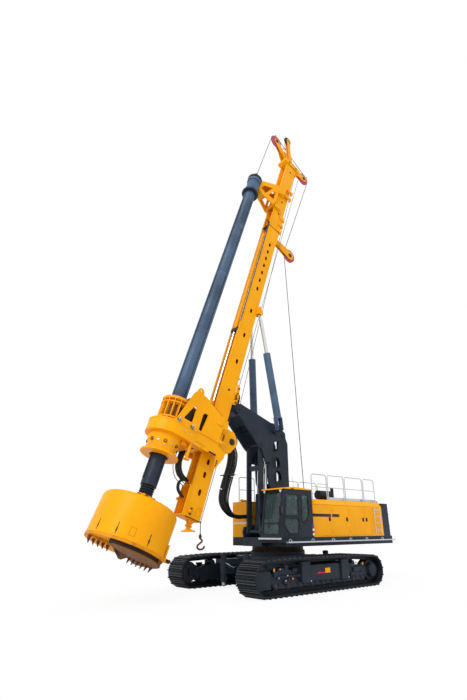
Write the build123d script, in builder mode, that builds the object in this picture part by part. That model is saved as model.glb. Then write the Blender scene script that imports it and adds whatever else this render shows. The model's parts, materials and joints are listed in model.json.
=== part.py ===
from build123d import *
from math import acos, atan2, ceil, cos, degrees, hypot, pi, radians, sin
import os

# Rotary piling rig on crawlers, parked, with its mast raked back and its bucket hanging clear.
# Millimetres. +X is the machine's front, +Y its left, +Z up. The origin is on the ground,
# under the centre of the slew ring. Points given as (x, z) lie in the machine's side view.
# Points given as (q, s) lie in the mast's side view: s runs up along the mast, q forwards from it.

# ---------------------------------------------------------------- driving sizes: undercarriage
SHOE_WIDTH = 1000
TRACK_SPAN = 5260            # over the outer edges of both tracks
SHOE_PITCH = 262
SHOE_THICK = 42
GROUSER_HEIGHT = 55
GROUSER_WIDTH = 60
LINK_HEIGHT = 118
LINK_WIDTH = 330
IDLER_X = 3200
IDLER_R = 385
SPROCKET_X = -3120
SPROCKET_R = 375
CARRIER_R = 95
CARRIER_LIFT = 935           # height of the carrier rollers' centres
CARRIER_X = (2000, -1950)
ROLLER_R = 150
ROLLER_COUNT = 9
FRAME_BEAM_WIDTH = 430
SLEW_RING_R = 1080
SLEW_RING_BOTTOM = 1330
DECK_BOTTOM = 1550
DECK_TOP = 1890

# ---------------------------------------------------------------- driving sizes: upper structure
DECK_HALF = 1600
DECK_FRONT = 1130
DECK_REAR = -6330
SLOT_HALF = 560              # half width of the well for the luffing arms
CAB_INNER_Y = 600
CAB_OUTER_Y = 1680
CAB_REAR_X = -450
CAB_FRONT_X = 1500
CAB_ROOF_Z = 3690
CAB_WALL = 60
HOOD_FRONT_X = -480
HOOD_REAR_X = -5660
HOOD_TOP_Z = 3390
HOOD_SKIN = 30
TANK_REAR_X = -950
TANK_INNER_Y = 640
TANK_TOP_Z = 3330

# ---------------------------------------------------------------- driving sizes: luffing gear
ARM_FOOT = (-20, 2600)       # rear arm's lower pin
ARM_HEAD = (-100, 6150)      # rear arm's upper pin
LINK_FOOT = (1280, 2100)     # front link's lower pin
FRAME_TIP = (2500, 7030)     # pin between the triangle frame and the mast's cross joint
ARM_PLATE_Y = 380
ARM_PLATE = 90
FRAME_PLATE = 70
LUFF_FOOT = (960, 2160)
LUFF_EYE = (720, 5180)
LUFF_Y = 200
PROP_FOOT = (430, 6400)      # mast prop cylinders' lower pins
PROP_FOOT_Y = 820
PROP_EYE_Y = 330

# ---------------------------------------------------------------- driving sizes: mast and tools
RAKE = 18.5                  # mast leans back by this at rest, degrees
MAST_HALF = 290
MAST_REAR_Q = 4900
MAST_FRONT_Q = 5600
RAIL_DEEP = 80
MAST_FOOT_S = 920
MAST_JOINT_S = 17000
MAST_TOP_S = 23300
MAST_WALL = 30
MAST_WEB_DEEP = 135          # depth of the channel between the mast's guide rails
KELLY_Q = 7280
KELLY_R = 300
KELLY_FOOT_S = 2000
KELLY_TOP_S = 19650
SLED_FOOT_S = 3300
SLED_TOP_S = 5450
BUCKET_R = 1450
BUCKET_FOOT_S = -680
BUCKET_TOP_S = 980
BUCKET_SKIN = 40
PIN_GAP = 10                 # side clearance between moving plates
SEAT_GAP = 0.3               # between a piece and what it sits on or slides along
RUN_GAP = 0.05               # radial clearance of a pin in its bore

# ---------------------------------------------------------------- derived places
TRACK_Y = (TRACK_SPAN - SHOE_WIDTH) / 2
PLATE_STACK = SHOE_THICK + LINK_HEIGHT
IDLER_Z = GROUSER_HEIGHT + PLATE_STACK + IDLER_R
SPROCKET_Z = GROUSER_HEIGHT + PLATE_STACK + SPROCKET_R
ROLLER_Z = GROUSER_HEIGHT + PLATE_STACK + ROLLER_R
MAST = Location((0, 0, 0), (0, -RAKE, 0))
BODY_TILT = radians(RAKE)


def to_mast(x, z):
    """Side-view point of the machine as (q, s) of the mast."""
    return (x * cos(BODY_TILT) + z * sin(BODY_TILT), z * cos(BODY_TILT) - x * sin(BODY_TILT))


def to_machine(q, s):
    """Side-view point of the mast as (x, z) of the machine."""
    return (q * cos(BODY_TILT) - s * sin(BODY_TILT), q * sin(BODY_TILT) + s * cos(BODY_TILT))


TIP_Q, TIP_S = to_mast(*FRAME_TIP)
LINK_HEAD = (LINK_FOOT[0] + ARM_HEAD[0] - ARM_FOOT[0], LINK_FOOT[1] + ARM_HEAD[1] - ARM_FOOT[1])
PROP_EYE_QS = (4740, 11130)
PIVOT_PAD = 12               # face that the mast turns on against the cross joint
PROP_EYE = to_machine(*PROP_EYE_QS)
FRAME_PLATE_Y = ARM_PLATE_Y + ARM_PLATE / 2 + PIN_GAP + FRAME_PLATE / 2


# ---------------------------------------------------------------- shared shapes
def side(y=0):
    """Machine's side view at a distance y to the left: local axes x and z."""
    return Plane.XZ.offset(-y)


def mast_side(y=0):
    """Mast's side view at a distance y to the left: local axes q and s."""
    return Plane(origin=(0, y, 0), x_dir=(cos(BODY_TILT), 0, sin(BODY_TILT)), z_dir=(0, -1, 0))


def mast_level(s=0):
    """Section across the mast at s: local axes q and y."""
    x, z = to_machine(0, s)
    across, up = (cos(BODY_TILT), 0, sin(BODY_TILT)), (-sin(BODY_TILT), 0, cos(BODY_TILT))
    return Plane(origin=(x, 0, z), x_dir=across, z_dir=up)


def plate(points, plane, thick, mode=Mode.ADD):
    """Flat plate of a closed outline, centred on its plane."""
    with BuildSketch(plane) as outline:
        with BuildLine():
            Polyline(*points, close=True)
        make_face()
    extrude(outline.sketch, amount=thick / 2, both=True, mode=mode)


def block(x0, x1, y0, y1, z0, z1, mode=Mode.ADD, frame=Location()):
    """Box between two corners, in the machine's frame or the mast's."""
    middle = Location(((x0 + x1) / 2, (y0 + y1) / 2, (z0 + z1) / 2))
    with Locations(frame * middle):
        Box(abs(x1 - x0), abs(y1 - y0), abs(z1 - z0), mode=mode)


def round_bar(start, end, radius, mode=Mode.ADD):
    """Round bar between two points."""
    axis = Vector(*end) - Vector(*start)
    with BuildSketch(Plane(origin=start, z_dir=axis)) as ring:
        Circle(radius)
    extrude(ring.sketch, amount=axis.length, mode=mode)


def cross_bar(x, z, radius, y0, y1, mode=Mode.ADD):
    """Round bar along Y through a side-view point of the machine."""
    round_bar((x, y0, z), (x, y1, z), radius, mode)


def mast_point(q, y, s):
    """Point of the mast's frame as a point of the machine."""
    x, z = to_machine(q, s)
    return (x, y, z)


def mast_bar(start, end, radius, mode=Mode.ADD):
    """Round bar between two points (q, y, s) of the mast's frame."""
    round_bar(mast_point(*start), mast_point(*end), radius, mode)


def drum(s0, s1, radius, mode=Mode.ADD, q=KELLY_Q):
    """Round piece about the kelly's axis from s0 to s1."""
    mast_bar((q, 0, s0), (q, 0, s1), radius, mode)


def save(builder, label):
    """Labels a finished piece and writes it."""
    builder.part.label = label
    export_step(builder.part, f"parts/{label}.step")


os.makedirs("parts", exist_ok=True)


# ---------------------------------------------------------------- tracks
def belt_pieces(wheels):
    """Straight runs and arcs of a belt round wheels (x, z, radius), listed anticlockwise."""
    count = len(wheels)
    angles = []
    for i in range(count):
        (xa, za, ra), (xb, zb, rb) = wheels[i], wheels[(i + 1) % count]
        heading = atan2(zb - za, xb - xa)
        angles.append(heading - acos((ra - rb) / hypot(xb - xa, zb - za)))
    pieces = []
    for i in range(count):
        x, z, r = wheels[i]
        a0, a1 = angles[i - 1], angles[i]
        while a1 < a0:
            a1 += 2 * pi
        pieces.append(("arc", (x, z, r), a0, a1, r * (a1 - a0)))
        xb, zb, rb = wheels[(i + 1) % count]
        start = (x + r * cos(a1), z + r * sin(a1))
        end = (xb + rb * cos(a1), zb + rb * sin(a1))
        run = hypot(end[0] - start[0], end[1] - start[1])
        pieces.append(("run", start, end, a1, run))
    return pieces


def belt_point(pieces, along):
    """Point (x, z) and outward direction on the belt at a distance along it."""
    for kind, a, b, c, length in pieces:
        if along <= length:
            if kind == "arc":
                angle = b + (c - b) * along / length
                return (a[0] + a[2] * cos(angle), a[1] + a[2] * sin(angle)), angle
            share = along / length
            return (a[0] + (b[0] - a[0]) * share, a[1] + (b[1] - a[1]) * share), c
        along -= length
    return belt_point(pieces, 0)


def belt_wheels(grow):
    """The wheels a belt runs on, each larger by a given amount, anticlockwise from the idler."""
    return (
        (IDLER_X, IDLER_Z, IDLER_R + grow),
        (CARRIER_X[0], CARRIER_LIFT, CARRIER_R + grow),
        (CARRIER_X[1], CARRIER_LIFT, CARRIER_R + grow),
        (SPROCKET_X, SPROCKET_Z, SPROCKET_R + grow),
    )


def belt_face(grow):
    """Smooth closed outline of the belt, as a sketch face in the machine's side view."""
    with BuildSketch() as face:
        with BuildLine():
            for kind, a, b, c, length in belt_pieces(belt_wheels(grow)):
                if kind == "arc":
                    points = [
                        (a[0] + a[2] * cos(t), a[1] + a[2] * sin(t)) for t in (b, (b + c) / 2, c)
                    ]
                    ThreePointArc(*points)
                else:
                    Line(a, b)
        make_face()
    return face.sketch


def shoe_outline():
    """Outline round the shoes' outer faces, with one grouser on each."""
    pieces = belt_pieces(belt_wheels(PLATE_STACK))
    length = sum(piece[4] for piece in pieces)
    shoes = round(length / SHOE_PITCH)
    pitch = length / shoes
    # offsets along the shoe and away from it: edge, grouser's foot, its two tips, its other foot
    profile = (
        (0.0, 0),
        (0.5 * pitch - GROUSER_WIDTH * 0.5, 0),
        (0.5 * pitch - GROUSER_WIDTH * 0.3, GROUSER_HEIGHT),
        (0.5 * pitch + GROUSER_WIDTH * 0.3, GROUSER_HEIGHT),
        (0.5 * pitch + GROUSER_WIDTH * 0.5, 0),
    )
    points = []
    for shoe in range(shoes):
        for along, lift in profile:
            (x, z), angle = belt_point(pieces, shoe * pitch + along)
            points.append((x + lift * cos(angle), z + lift * sin(angle)))
    return points


def make_track(name, sign):
    y = sign * TRACK_Y
    with BuildPart() as track:
        with BuildSketch(side(y)) as shoes:
            with BuildLine():
                Polyline(*shoe_outline(), close=True)
            make_face()
            add(belt_face(LINK_HEIGHT), mode=Mode.SUBTRACT)
        extrude(shoes.sketch, amount=SHOE_WIDTH / 2, both=True)
        with BuildSketch(side(y)) as links:
            add(belt_face(LINK_HEIGHT + 1))
            add(belt_face(0), mode=Mode.SUBTRACT)
        extrude(links.sketch, amount=LINK_WIDTH / 2, both=True)
    save(track, name)


CHEEK_IN = 175               # inner and outer faces of a side frame's cheeks, from the track's middle
CHEEK_OUT = 250


def make_wheels():
    """Idler, sprocket, carrier and track rollers of both sides."""
    half = CHEEK_IN - SEAT_GAP
    first, last = IDLER_X - 620, SPROCKET_X + 620
    with BuildPart() as wheels:
        for y in (TRACK_Y, -TRACK_Y):
            cross_bar(IDLER_X, IDLER_Z, IDLER_R - SEAT_GAP, y - half, y + half)
            cross_bar(SPROCKET_X, SPROCKET_Z, SPROCKET_R - SEAT_GAP, y - half, y + half)
            for x in CARRIER_X:
                cross_bar(x, CARRIER_LIFT, CARRIER_R - SEAT_GAP, y - half, y + half)
            for i in range(ROLLER_COUNT):
                x = first + (last - first) * i / (ROLLER_COUNT - 1)
                cross_bar(x, ROLLER_Z, ROLLER_R - SEAT_GAP, y - half, y + half)
    save(wheels, "track_wheels")


BEAM_Z0 = 400
BEAM_Z1 = 830
BOX_X = (1115, -1210)        # centres of the cross-beam end boxes
BOX_LONG = 470
CAR_BEAM_Z0 = 480
CAR_BEAM_Z1 = 1000
BEAM_INNER_Y = 1705          # the car body's cross beams meet the side frames here
GUARD_Z0 = 255


def side_frame(sign):
    """Side frame of one track: two cheeks, roller guards, idler guard and cross-beam ends."""
    y = sign * TRACK_Y
    front, rear = IDLER_X - 300, SPROCKET_X + 300
    cheek = ((rear, BEAM_Z0), (front, BEAM_Z0), (front, BEAM_Z1 - 120),
             (front - 500, BEAM_Z1), (rear + 500, BEAM_Z1), (rear, BEAM_Z1 - 120))
    for turn in (1, -1):
        near, far = y + turn * CHEEK_IN, y + turn * CHEEK_OUT
        plate(cheek, side((near + far) / 2), CHEEK_OUT - CHEEK_IN)
        block(IDLER_X - 320, IDLER_X + 40, near, far, IDLER_Z - 130, IDLER_Z + 110)
        cross_bar(SPROCKET_X, SPROCKET_Z, SPROCKET_R * 0.7, near, far)
        block(SPROCKET_X, SPROCKET_X + 320, near, far, SPROCKET_Z - 130, SPROCKET_Z + 130)
        block(rear + 200, front - 230, near, far, GUARD_Z0, BEAM_Z0 + 5)
        for x in CARRIER_X:
            block(x - 80, x + 80, near, far, BEAM_Z1 - 20, CARRIER_LIFT + 50)
    block(rear + 520, front - 520, y - CHEEK_IN - 5, y + CHEEK_IN + 5, ROLLER_Z + ROLLER_R + 30, BEAM_Z1 - 60)
    outer = y + sign * CHEEK_OUT
    cross_bar(SPROCKET_X, SPROCKET_Z, SPROCKET_R * 0.7, outer - sign * 5, outer + sign * 110)
    for x in BOX_X:
        x0, x1 = x - BOX_LONG / 2, x + BOX_LONG / 2
        block(x0, x1, outer - sign * 5, y + sign * 400, BEAM_Z0 - 20, 1060)
        block(x0, x1, sign * BEAM_INNER_Y, y - sign * (CHEEK_OUT - 5), CAR_BEAM_Z0, 1060)
        block(x0, x1, sign * BEAM_INNER_Y, y + sign * 400, BEAM_Z1 - 100, CAR_BEAM_Z1)
    block(BOX_X[1] + 150, BOX_X[0] - 150, outer - sign * 5, y + sign * 330, BEAM_Z0, 930)
    block(IDLER_X - 330, IDLER_X + 330, outer + sign * 4, outer + sign * 60, IDLER_Z - 330, IDLER_Z + 230)
    block(IDLER_X - 320, IDLER_X + 40, outer - sign * 5, outer + sign * 10, IDLER_Z - 130, IDLER_Z + 110)


def make_track_frames():
    """Both side frames."""
    with BuildPart() as frames:
        for sign in (1, -1):
            side_frame(sign)
    save(frames, "track_frames")


JACK_X = (2400, -2300)
JACK_Y = 690
JACK_R = 120
JACK_BOTTOM = 130


def make_car_body():
    """Centre frame: box, ring seat, four arms to the side frames and the jacks' brackets."""
    with BuildPart() as body:
        block(-1500, 1500, -1250, 1250, 520, 1180)
        chamfer(body.edges().filter_by(Axis.Z), length=300)
        cross_bar_height = SLEW_RING_BOTTOM - 1180
        with Locations((0, 0, 1180 + cross_bar_height / 2)):
            Cylinder(SLEW_RING_R + 60, cross_bar_height)
        for x in BOX_X:
            block(x - BOX_LONG / 2 + 20, x + BOX_LONG / 2 - 20, -BEAM_INNER_Y, BEAM_INNER_Y, CAR_BEAM_Z0 + 20,
                  CAR_BEAM_Z1)
        for x in JACK_X:
            start = 1400 if x > 0 else -1400
            for turn in (1, -1):
                y = turn * JACK_Y
                block(start, x, y - 150, y + 150, 560, 1100)
                round_bar((x, y, 560), (x, y, 1100), 150)
                round_bar((x, y, 500), (x, y, 1200), JACK_R + SEAT_GAP, Mode.SUBTRACT)
    save(body, "car_body")


def make_jacks():
    """Four upright support jacks with ball feet, between the tracks."""
    with BuildPart() as jacks:
        for x in JACK_X:
            for turn in (1, -1):
                round_bar((x, turn * JACK_Y, 270), (x, turn * JACK_Y, 1310), JACK_R)
                round_bar((x, turn * JACK_Y, JACK_BOTTOM + 50), (x, turn * JACK_Y, 280), 60)
                with Locations((x, turn * JACK_Y, JACK_BOTTOM + 50)):
                    Sphere(70)
    save(jacks, "support_jacks")


def make_slew_ring():
    """Toothed lower ring of the slewing bearing."""
    teeth = 90
    height = DECK_BOTTOM - SLEW_RING_BOTTOM - SEAT_GAP
    with BuildPart() as ring:
        with BuildSketch(Plane.XY.offset(SLEW_RING_BOTTOM)) as section:
            Circle(SLEW_RING_R)
            Circle(SLEW_RING_R - 170, mode=Mode.SUBTRACT)
        extrude(section.sketch, amount=height)
        with BuildSketch(Plane.XY.offset(SLEW_RING_BOTTOM)) as notches:
            with PolarLocations(SLEW_RING_R, teeth):
                Rectangle(44, 36)
        extrude(notches.sketch, amount=height * 0.5, mode=Mode.SUBTRACT)
    save(ring, "slew_ring")


# ---------------------------------------------------------------- upper structure
def make_deck():
    """Deck frame with the well for the luffing arms and the lugs of their pins."""
    with BuildPart() as deck:
        block(DECK_REAR, DECK_FRONT, -DECK_HALF, DECK_HALF, DECK_BOTTOM, DECK_TOP)
        block(DECK_FRONT - 5, CAB_FRONT_X + 20, CAB_INNER_Y - 20, DECK_HALF, DECK_BOTTOM + 150, DECK_TOP)
        block(-900, DECK_FRONT + 330, -SLOT_HALF, SLOT_HALF, DECK_BOTTOM + 5, DECK_TOP)
        for turn in (1, -1):
            lug = ((-900, DECK_TOP - 5), (1460, DECK_TOP - 5), (1500, 2100), (1430, 2300), (1130, 2320),
                   (500, 2420), (250, 2640), (120, 2820), (-160, 2820), (-300, 2640))
            plate(lug, side(turn * (SLOT_HALF - 35)), 70)
        for x, z, r in ((*ARM_FOOT, 80), (*LINK_FOOT, 70)):
            cross_bar(x, z, r, -SLOT_HALF, SLOT_HALF)
        cross_bar(*LUFF_FOOT, 55, -SLOT_HALF, SLOT_HALF)
    save(deck, "deck_frame")


def make_walkway():
    """Silver catwalk strip along the left side and the step before the cab."""
    with BuildPart() as strip:
        block(-6380, 1150, DECK_HALF + 0.0, DECK_HALF + 150, 1690, 1740)
        block(CAB_FRONT_X + 20, CAB_FRONT_X + 170, CAB_INNER_Y, CAB_OUTER_Y + 40, 1820, 1880)
    save(strip, "walkway")


CAB_SIDE = ((CAB_REAR_X, DECK_TOP), (CAB_FRONT_X, DECK_TOP), (CAB_FRONT_X, 2250),
            (1260, CAB_ROOF_Z), (CAB_REAR_X, CAB_ROOF_Z))
DOOR_X0 = 300
DOOR_X1 = 1290
DOOR_Z0 = DECK_TOP + 70
DOOR_Z1 = 3620
DOOR_GAP = 8


def door_outline(shrink=0):
    """Closed outline of the cab door in the side view."""
    top_x = DOOR_X1 - 90 - shrink
    hinge_x = DOOR_X0 + min(shrink, SEAT_GAP)
    return ((hinge_x, DOOR_Z0 + shrink), (DOOR_X1 + 40 - shrink, DOOR_Z0 + shrink),
            (DOOR_X1 + 40 - shrink, 2350), (top_x, DOOR_Z1 - shrink), (hinge_x, DOOR_Z1 - shrink))


def make_cab():
    """Hollow cab shell with its windows cut and the doorway open."""
    with BuildPart() as cab:
        plate(CAB_SIDE, side((CAB_INNER_Y + CAB_OUTER_Y) / 2), CAB_OUTER_Y - CAB_INNER_Y)
        inner = ((CAB_REAR_X + CAB_WALL, DECK_TOP + CAB_WALL), (CAB_FRONT_X - CAB_WALL, DECK_TOP + CAB_WALL),
                 (CAB_FRONT_X - CAB_WALL, 2250), (1260 - CAB_WALL, CAB_ROOF_Z - CAB_WALL),
                 (CAB_REAR_X + CAB_WALL, CAB_ROOF_Z - CAB_WALL))
        plate(inner, side((CAB_INNER_Y + CAB_OUTER_Y) / 2), CAB_OUTER_Y - CAB_INNER_Y - 2 * CAB_WALL, Mode.SUBTRACT)
        plate(door_outline(), side(CAB_OUTER_Y), 3 * CAB_WALL, Mode.SUBTRACT)
        rear_window = ((-210, 2720), (10, 2450), (215, 2450), (215, 3540), (-210, 3540))
        plate(rear_window, side(CAB_OUTER_Y), 3 * CAB_WALL, Mode.SUBTRACT)
        right_window = ((-300, 2600), (1150, 2600), (1080, 3540), (-300, 3540))
        plate(right_window, side(CAB_INNER_Y), 3 * CAB_WALL, Mode.SUBTRACT)
        middle = (CAB_INNER_Y + CAB_OUTER_Y) / 2
        block(CAB_FRONT_X - 400, CAB_FRONT_X + 100, CAB_INNER_Y + 90, CAB_OUTER_Y - 90, DECK_TOP + 120,
              CAB_ROOF_Z - 110, Mode.SUBTRACT)
        block(CAB_REAR_X - 100, CAB_REAR_X + 100, CAB_INNER_Y + 120, CAB_OUTER_Y - 120, 2700, 3500, Mode.SUBTRACT)
    save(cab, "cab_shell")


def make_cab_glass():
    """Fixed panes: windscreen, left rear quarter, right side and rear."""
    pane = 8
    with BuildPart() as glass:
        y_mid = (CAB_INNER_Y + CAB_OUTER_Y) / 2
        width = CAB_OUTER_Y - CAB_INNER_Y - 180
        plate(((CAB_FRONT_X - 34, DECK_TOP + 120), (CAB_FRONT_X - 26, DECK_TOP + 120), (CAB_FRONT_X - 26, 2250),
               (1262 - 12, CAB_ROOF_Z - 110), (1254 - 12, CAB_ROOF_Z - 110), (CAB_FRONT_X - 34, 2250)),
              side(y_mid), width)
        plate(((-210, 2720), (10, 2450), (215, 2450), (215, 3540), (-210, 3540)), side(CAB_OUTER_Y - 30), pane)
        plate(((-300, 2600), (1150, 2600), (1080, 3540), (-300, 3540)), side(CAB_INNER_Y + 30), pane)
        block(CAB_REAR_X + 26, CAB_REAR_X + 34, CAB_INNER_Y + 120, CAB_OUTER_Y - 120, 2700, 3500)
    save(glass, "cab_glass")


def make_cab_door():
    """Left door with its two windows; hinged at its rear edge."""
    with BuildPart() as door:
        plate(door_outline(DOOR_GAP), side(CAB_OUTER_Y - 25), 50)
        upper = ((DOOR_X0 + 100, 2700), (1200, 2700), (1130, 3530), (DOOR_X0 + 100, 3530))
        lower = ((DOOR_X0 + 180, 2030), (1000, 2030), (1240, 2300), (1240, 2610), (DOOR_X0 + 100, 2610),
                 (DOOR_X0 + 100, 2200))
        for window in (upper, lower):
            plate(window, side(CAB_OUTER_Y - 25), 3 * CAB_WALL, Mode.SUBTRACT)
    save(door, "cab_door")
    with BuildPart() as panes:
        for window in (upper, lower):
            plate(window, side(CAB_OUTER_Y - 25), 8)
    save(panes, "cab_door_glass")


def make_cab_roof():
    """Yellow crowned visor over the cab."""
    crown = ((CAB_REAR_X - 20, CAB_ROOF_Z), (1420, CAB_ROOF_Z - 90 + 90), (1400, CAB_ROOF_Z + 45),
             (700, CAB_ROOF_Z + 120), (CAB_REAR_X - 20, CAB_ROOF_Z + 60))
    with BuildPart() as roof:
        plate(crown, side((CAB_INNER_Y + CAB_OUTER_Y) / 2), CAB_OUTER_Y - CAB_INNER_Y + 40)
    save(roof, "cab_roof")


def make_cab_seat():
    """Seat with its armrest consoles, seen through the glass."""
    middle = (CAB_INNER_Y + CAB_OUTER_Y) / 2
    floor = DECK_TOP + CAB_WALL
    with BuildPart() as seat:
        block(100, 600, middle - 250, middle + 250, floor, floor + 380)
        block(60, 640, middle - 260, middle + 260, floor + 380, floor + 520)
        plate(((60, floor + 500), (200, floor + 500), (90, floor + 1250), (-30, floor + 1250)), side(middle), 480)
        for turn in (1, -1):
            block(150, 700, middle + turn * 290, middle + turn * 390, floor, floor + 700)
    save(seat, "cab_seat")


CHAMFER_TOP = 190            # hood's sloping upper edge
DOOR_EDGES = (-480, -1780, -3000, -4220, -4760)
DOOR_SKIN = 28
PANEL_GAP = 8                # open joint round a service door
PANEL_POST = 30              # half of the post between two doorways
PANEL_Z0 = DECK_TOP + 40
PANEL_Z1 = HOOD_TOP_Z - CHAMFER_TOP - 30


def make_hood():
    """Hollow engine house with the service doorways cut on both sides."""
    section = ((-DECK_HALF, DECK_TOP), (DECK_HALF, DECK_TOP), (DECK_HALF, HOOD_TOP_Z - CHAMFER_TOP),
               (DECK_HALF - 140, HOOD_TOP_Z), (-DECK_HALF + 140, HOOD_TOP_Z), (-DECK_HALF, HOOD_TOP_Z - CHAMFER_TOP))
    inner = ((-DECK_HALF + HOOD_SKIN, DECK_TOP - 10), (DECK_HALF - HOOD_SKIN, DECK_TOP - 10),
             (DECK_HALF - HOOD_SKIN, HOOD_TOP_Z - CHAMFER_TOP - 10), (DECK_HALF - 150, HOOD_TOP_Z - HOOD_SKIN),
             (-DECK_HALF + 150, HOOD_TOP_Z - HOOD_SKIN), (-DECK_HALF + HOOD_SKIN, HOOD_TOP_Z - CHAMFER_TOP - 10))
    long = HOOD_FRONT_X - HOOD_REAR_X
    cross = Plane(origin=((HOOD_FRONT_X + HOOD_REAR_X) / 2, 0, 0), x_dir=(0, 1, 0), z_dir=(1, 0, 0))
    with BuildPart() as hood:
        plate(section, cross, long)
        plate(inner, cross, long - 2 * HOOD_SKIN, Mode.SUBTRACT)
        for turn in (1, -1):
            for x0, x1 in zip(DOOR_EDGES[1:], DOOR_EDGES):
                if turn > 0 or x1 < TANK_REAR_X:
                    block(x0 + PANEL_POST, x1 - PANEL_POST, turn * (DECK_HALF - 100), turn * (DECK_HALF + 50),
                          PANEL_Z0, PANEL_Z1, Mode.SUBTRACT)
        block(-2300, HOOD_FRONT_X + 10, -500, 560, DECK_TOP - 1, HOOD_TOP_Z + 10, Mode.SUBTRACT)
        block(TANK_REAR_X - 20, HOOD_FRONT_X + 10, -DECK_HALF - 10, -400, DECK_TOP - 5, HOOD_TOP_Z + 10, Mode.SUBTRACT)
        for y0, y1 in ((560, 590), (-530, -500)):
            block(-2300, HOOD_FRONT_X if y0 > 0 else TANK_REAR_X - 20, y0, y1, DECK_TOP, HOOD_TOP_Z - 5)
        block(-2330, -2300, -530, 590, DECK_TOP, HOOD_TOP_Z - 5)
        block(TANK_REAR_X - 50, TANK_REAR_X - 20, -DECK_HALF + 5, -500, DECK_TOP, HOOD_TOP_Z - CHAMFER_TOP - 5)
    save(hood, "hood")


def make_hood_doors():
    """Service doors: all hinge at their front edge but the last, which hinges at its rear edge."""
    for label, turn in (("left", 1), ("right", -1)):
        for number, (x0, x1) in enumerate(zip(DOOR_EDGES[1:], DOOR_EDGES), start=1):
            if turn < 0 and x1 > TANK_REAR_X:
                continue
            last = number == len(DOOR_EDGES) - 1
            rear = x0 + PANEL_POST + (SEAT_GAP if last else PANEL_GAP)
            front = x1 - PANEL_POST - (PANEL_GAP if last else SEAT_GAP)
            with BuildPart() as door:
                block(rear, front, turn * (DECK_HALF - DOOR_SKIN), turn * DECK_HALF, PANEL_Z0 + PANEL_GAP,
                      PANEL_Z1 - PANEL_GAP)
            save(door, f"hood_door_{label}_{number}")


def make_engine():
    """Engine as one plain block inside the house."""
    with BuildPart() as engine:
        block(-4700, -2800, -450, 650, DECK_TOP, DECK_TOP + 1150)
    save(engine, "engine_block")


def make_counterweight():
    """Cast counterweight closing the rear."""
    outline = ((HOOD_REAR_X, DECK_TOP), (HOOD_REAR_X, HOOD_TOP_Z - 40), (-6230, HOOD_TOP_Z - 40),
               (DECK_REAR - 10, HOOD_TOP_Z - 150), (DECK_REAR - 10, DECK_TOP))
    with BuildPart() as weight:
        plate(outline, side(0), 2 * DECK_HALF)
        chamfer(weight.edges().filter_by(Axis.Z).group_by(Axis.X)[0], length=120)
    save(weight, "counterweight")


def make_tank():
    """Yellow tank at the right front, with its filler gear on top."""
    with BuildPart() as tank:
        block(TANK_REAR_X, DECK_FRONT, -DECK_HALF, -TANK_INNER_Y, DECK_TOP, TANK_TOP_Z)
        with Locations((900, -1250, TANK_TOP_Z + 60)):
            Cylinder(70, 120)
    save(tank, "side_tank")


RAIL_R = 20
RAIL_TOP = 4450


def hoop(x0, x1, y, base, top):
    """One handrail hoop with rounded corners and a middle bar, standing along X."""
    with BuildLine() as path:
        FilletPolyline((x0, y, base), (x0, y, top), (x1, y, top), (x1, y, base), radius=110)
    with BuildSketch(Plane(origin=(x0, y, base), z_dir=(0, 0, 1))) as ring:
        Circle(RAIL_R)
    sweep(ring.sketch, path=path.line)
    round_bar((x0, y, (base + top) / 2), (x1, y, (base + top) / 2), RAIL_R * 0.8)


HOOPS = ((-1800, -800), (-3050, -1900), (-4500, -3150), (-5500, -4600))   # x of each hoop's posts
LADDER_X = (-5340, -4880)
LADDER_STEP = 300


def make_handrails():
    """Silver handrail hoops round the roof, and the ladder at the left rear."""
    with BuildPart() as rails:
        for x0, x1 in HOOPS:
            for y in (DECK_HALF - 180, -DECK_HALF + 180):
                if y > 0 or x1 < TANK_REAR_X:
                    hoop(x0, x1, y, HOOD_TOP_Z, RAIL_TOP)
        hoop(-150, 800, -DECK_HALF + 60, TANK_TOP_Z, RAIL_TOP)
        out = DECK_HALF + 110
        for x in LADDER_X:
            round_bar((x, out, 1990), (x, out, 3150), 18)
            for z in (2030, 3100):
                round_bar((x, DECK_HALF, z), (x, out, z), 16)
        for i in range(4):
            z = 2150 + i * LADDER_STEP
            round_bar((LADDER_X[0], out, z), (LADDER_X[1], out, z), 14)
    save(rails, "handrails")


def make_exhaust():
    """Silencer with its elbow and stack on the roof."""
    with BuildPart() as exhaust:
        round_bar((-1850, 850, 3640), (-2750, 850, 3640), 200)
        block(-2500, -2100, 780, 920, HOOD_TOP_Z, 3500)
        round_bar((-2900, 850, HOOD_TOP_Z), (-2900, 850, 4000), 75)
        round_bar((-2750, 850, 3700), (-2900, 850, 3700), 75)
    save(exhaust, "exhaust")


WINCH_X = -1600
WINCH_Z = 3100
WINCH_R = 330


def make_main_winch():
    """Main winch in the well behind the rear arm: cheeks with their shaft, and the drum."""
    with BuildPart() as frame:
        for turn in (1, -1):
            cheek = ((WINCH_X - 420, DECK_TOP), (WINCH_X + 420, DECK_TOP), (WINCH_X + 200, WINCH_Z + 160),
                     (WINCH_X - 200, WINCH_Z + 160))
            plate(cheek, side(30 + turn * 420), 40)
        cross_bar(WINCH_X, WINCH_Z, 60, -400, 460)
    save(frame, "winch_frame")
    with BuildPart() as reel:
        cross_bar(WINCH_X, WINCH_Z, WINCH_R, -340, 400)
        for y in (-370, 400):
            cross_bar(WINCH_X, WINCH_Z, WINCH_R + 130, y, y + 30)
        cross_bar(WINCH_X, WINCH_Z, 60 + RUN_GAP, -380, 440, Mode.SUBTRACT)
    save(reel, "winch_drum")


# ---------------------------------------------------------------- luffing gear
LUFF_PIN_R = 50


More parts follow.
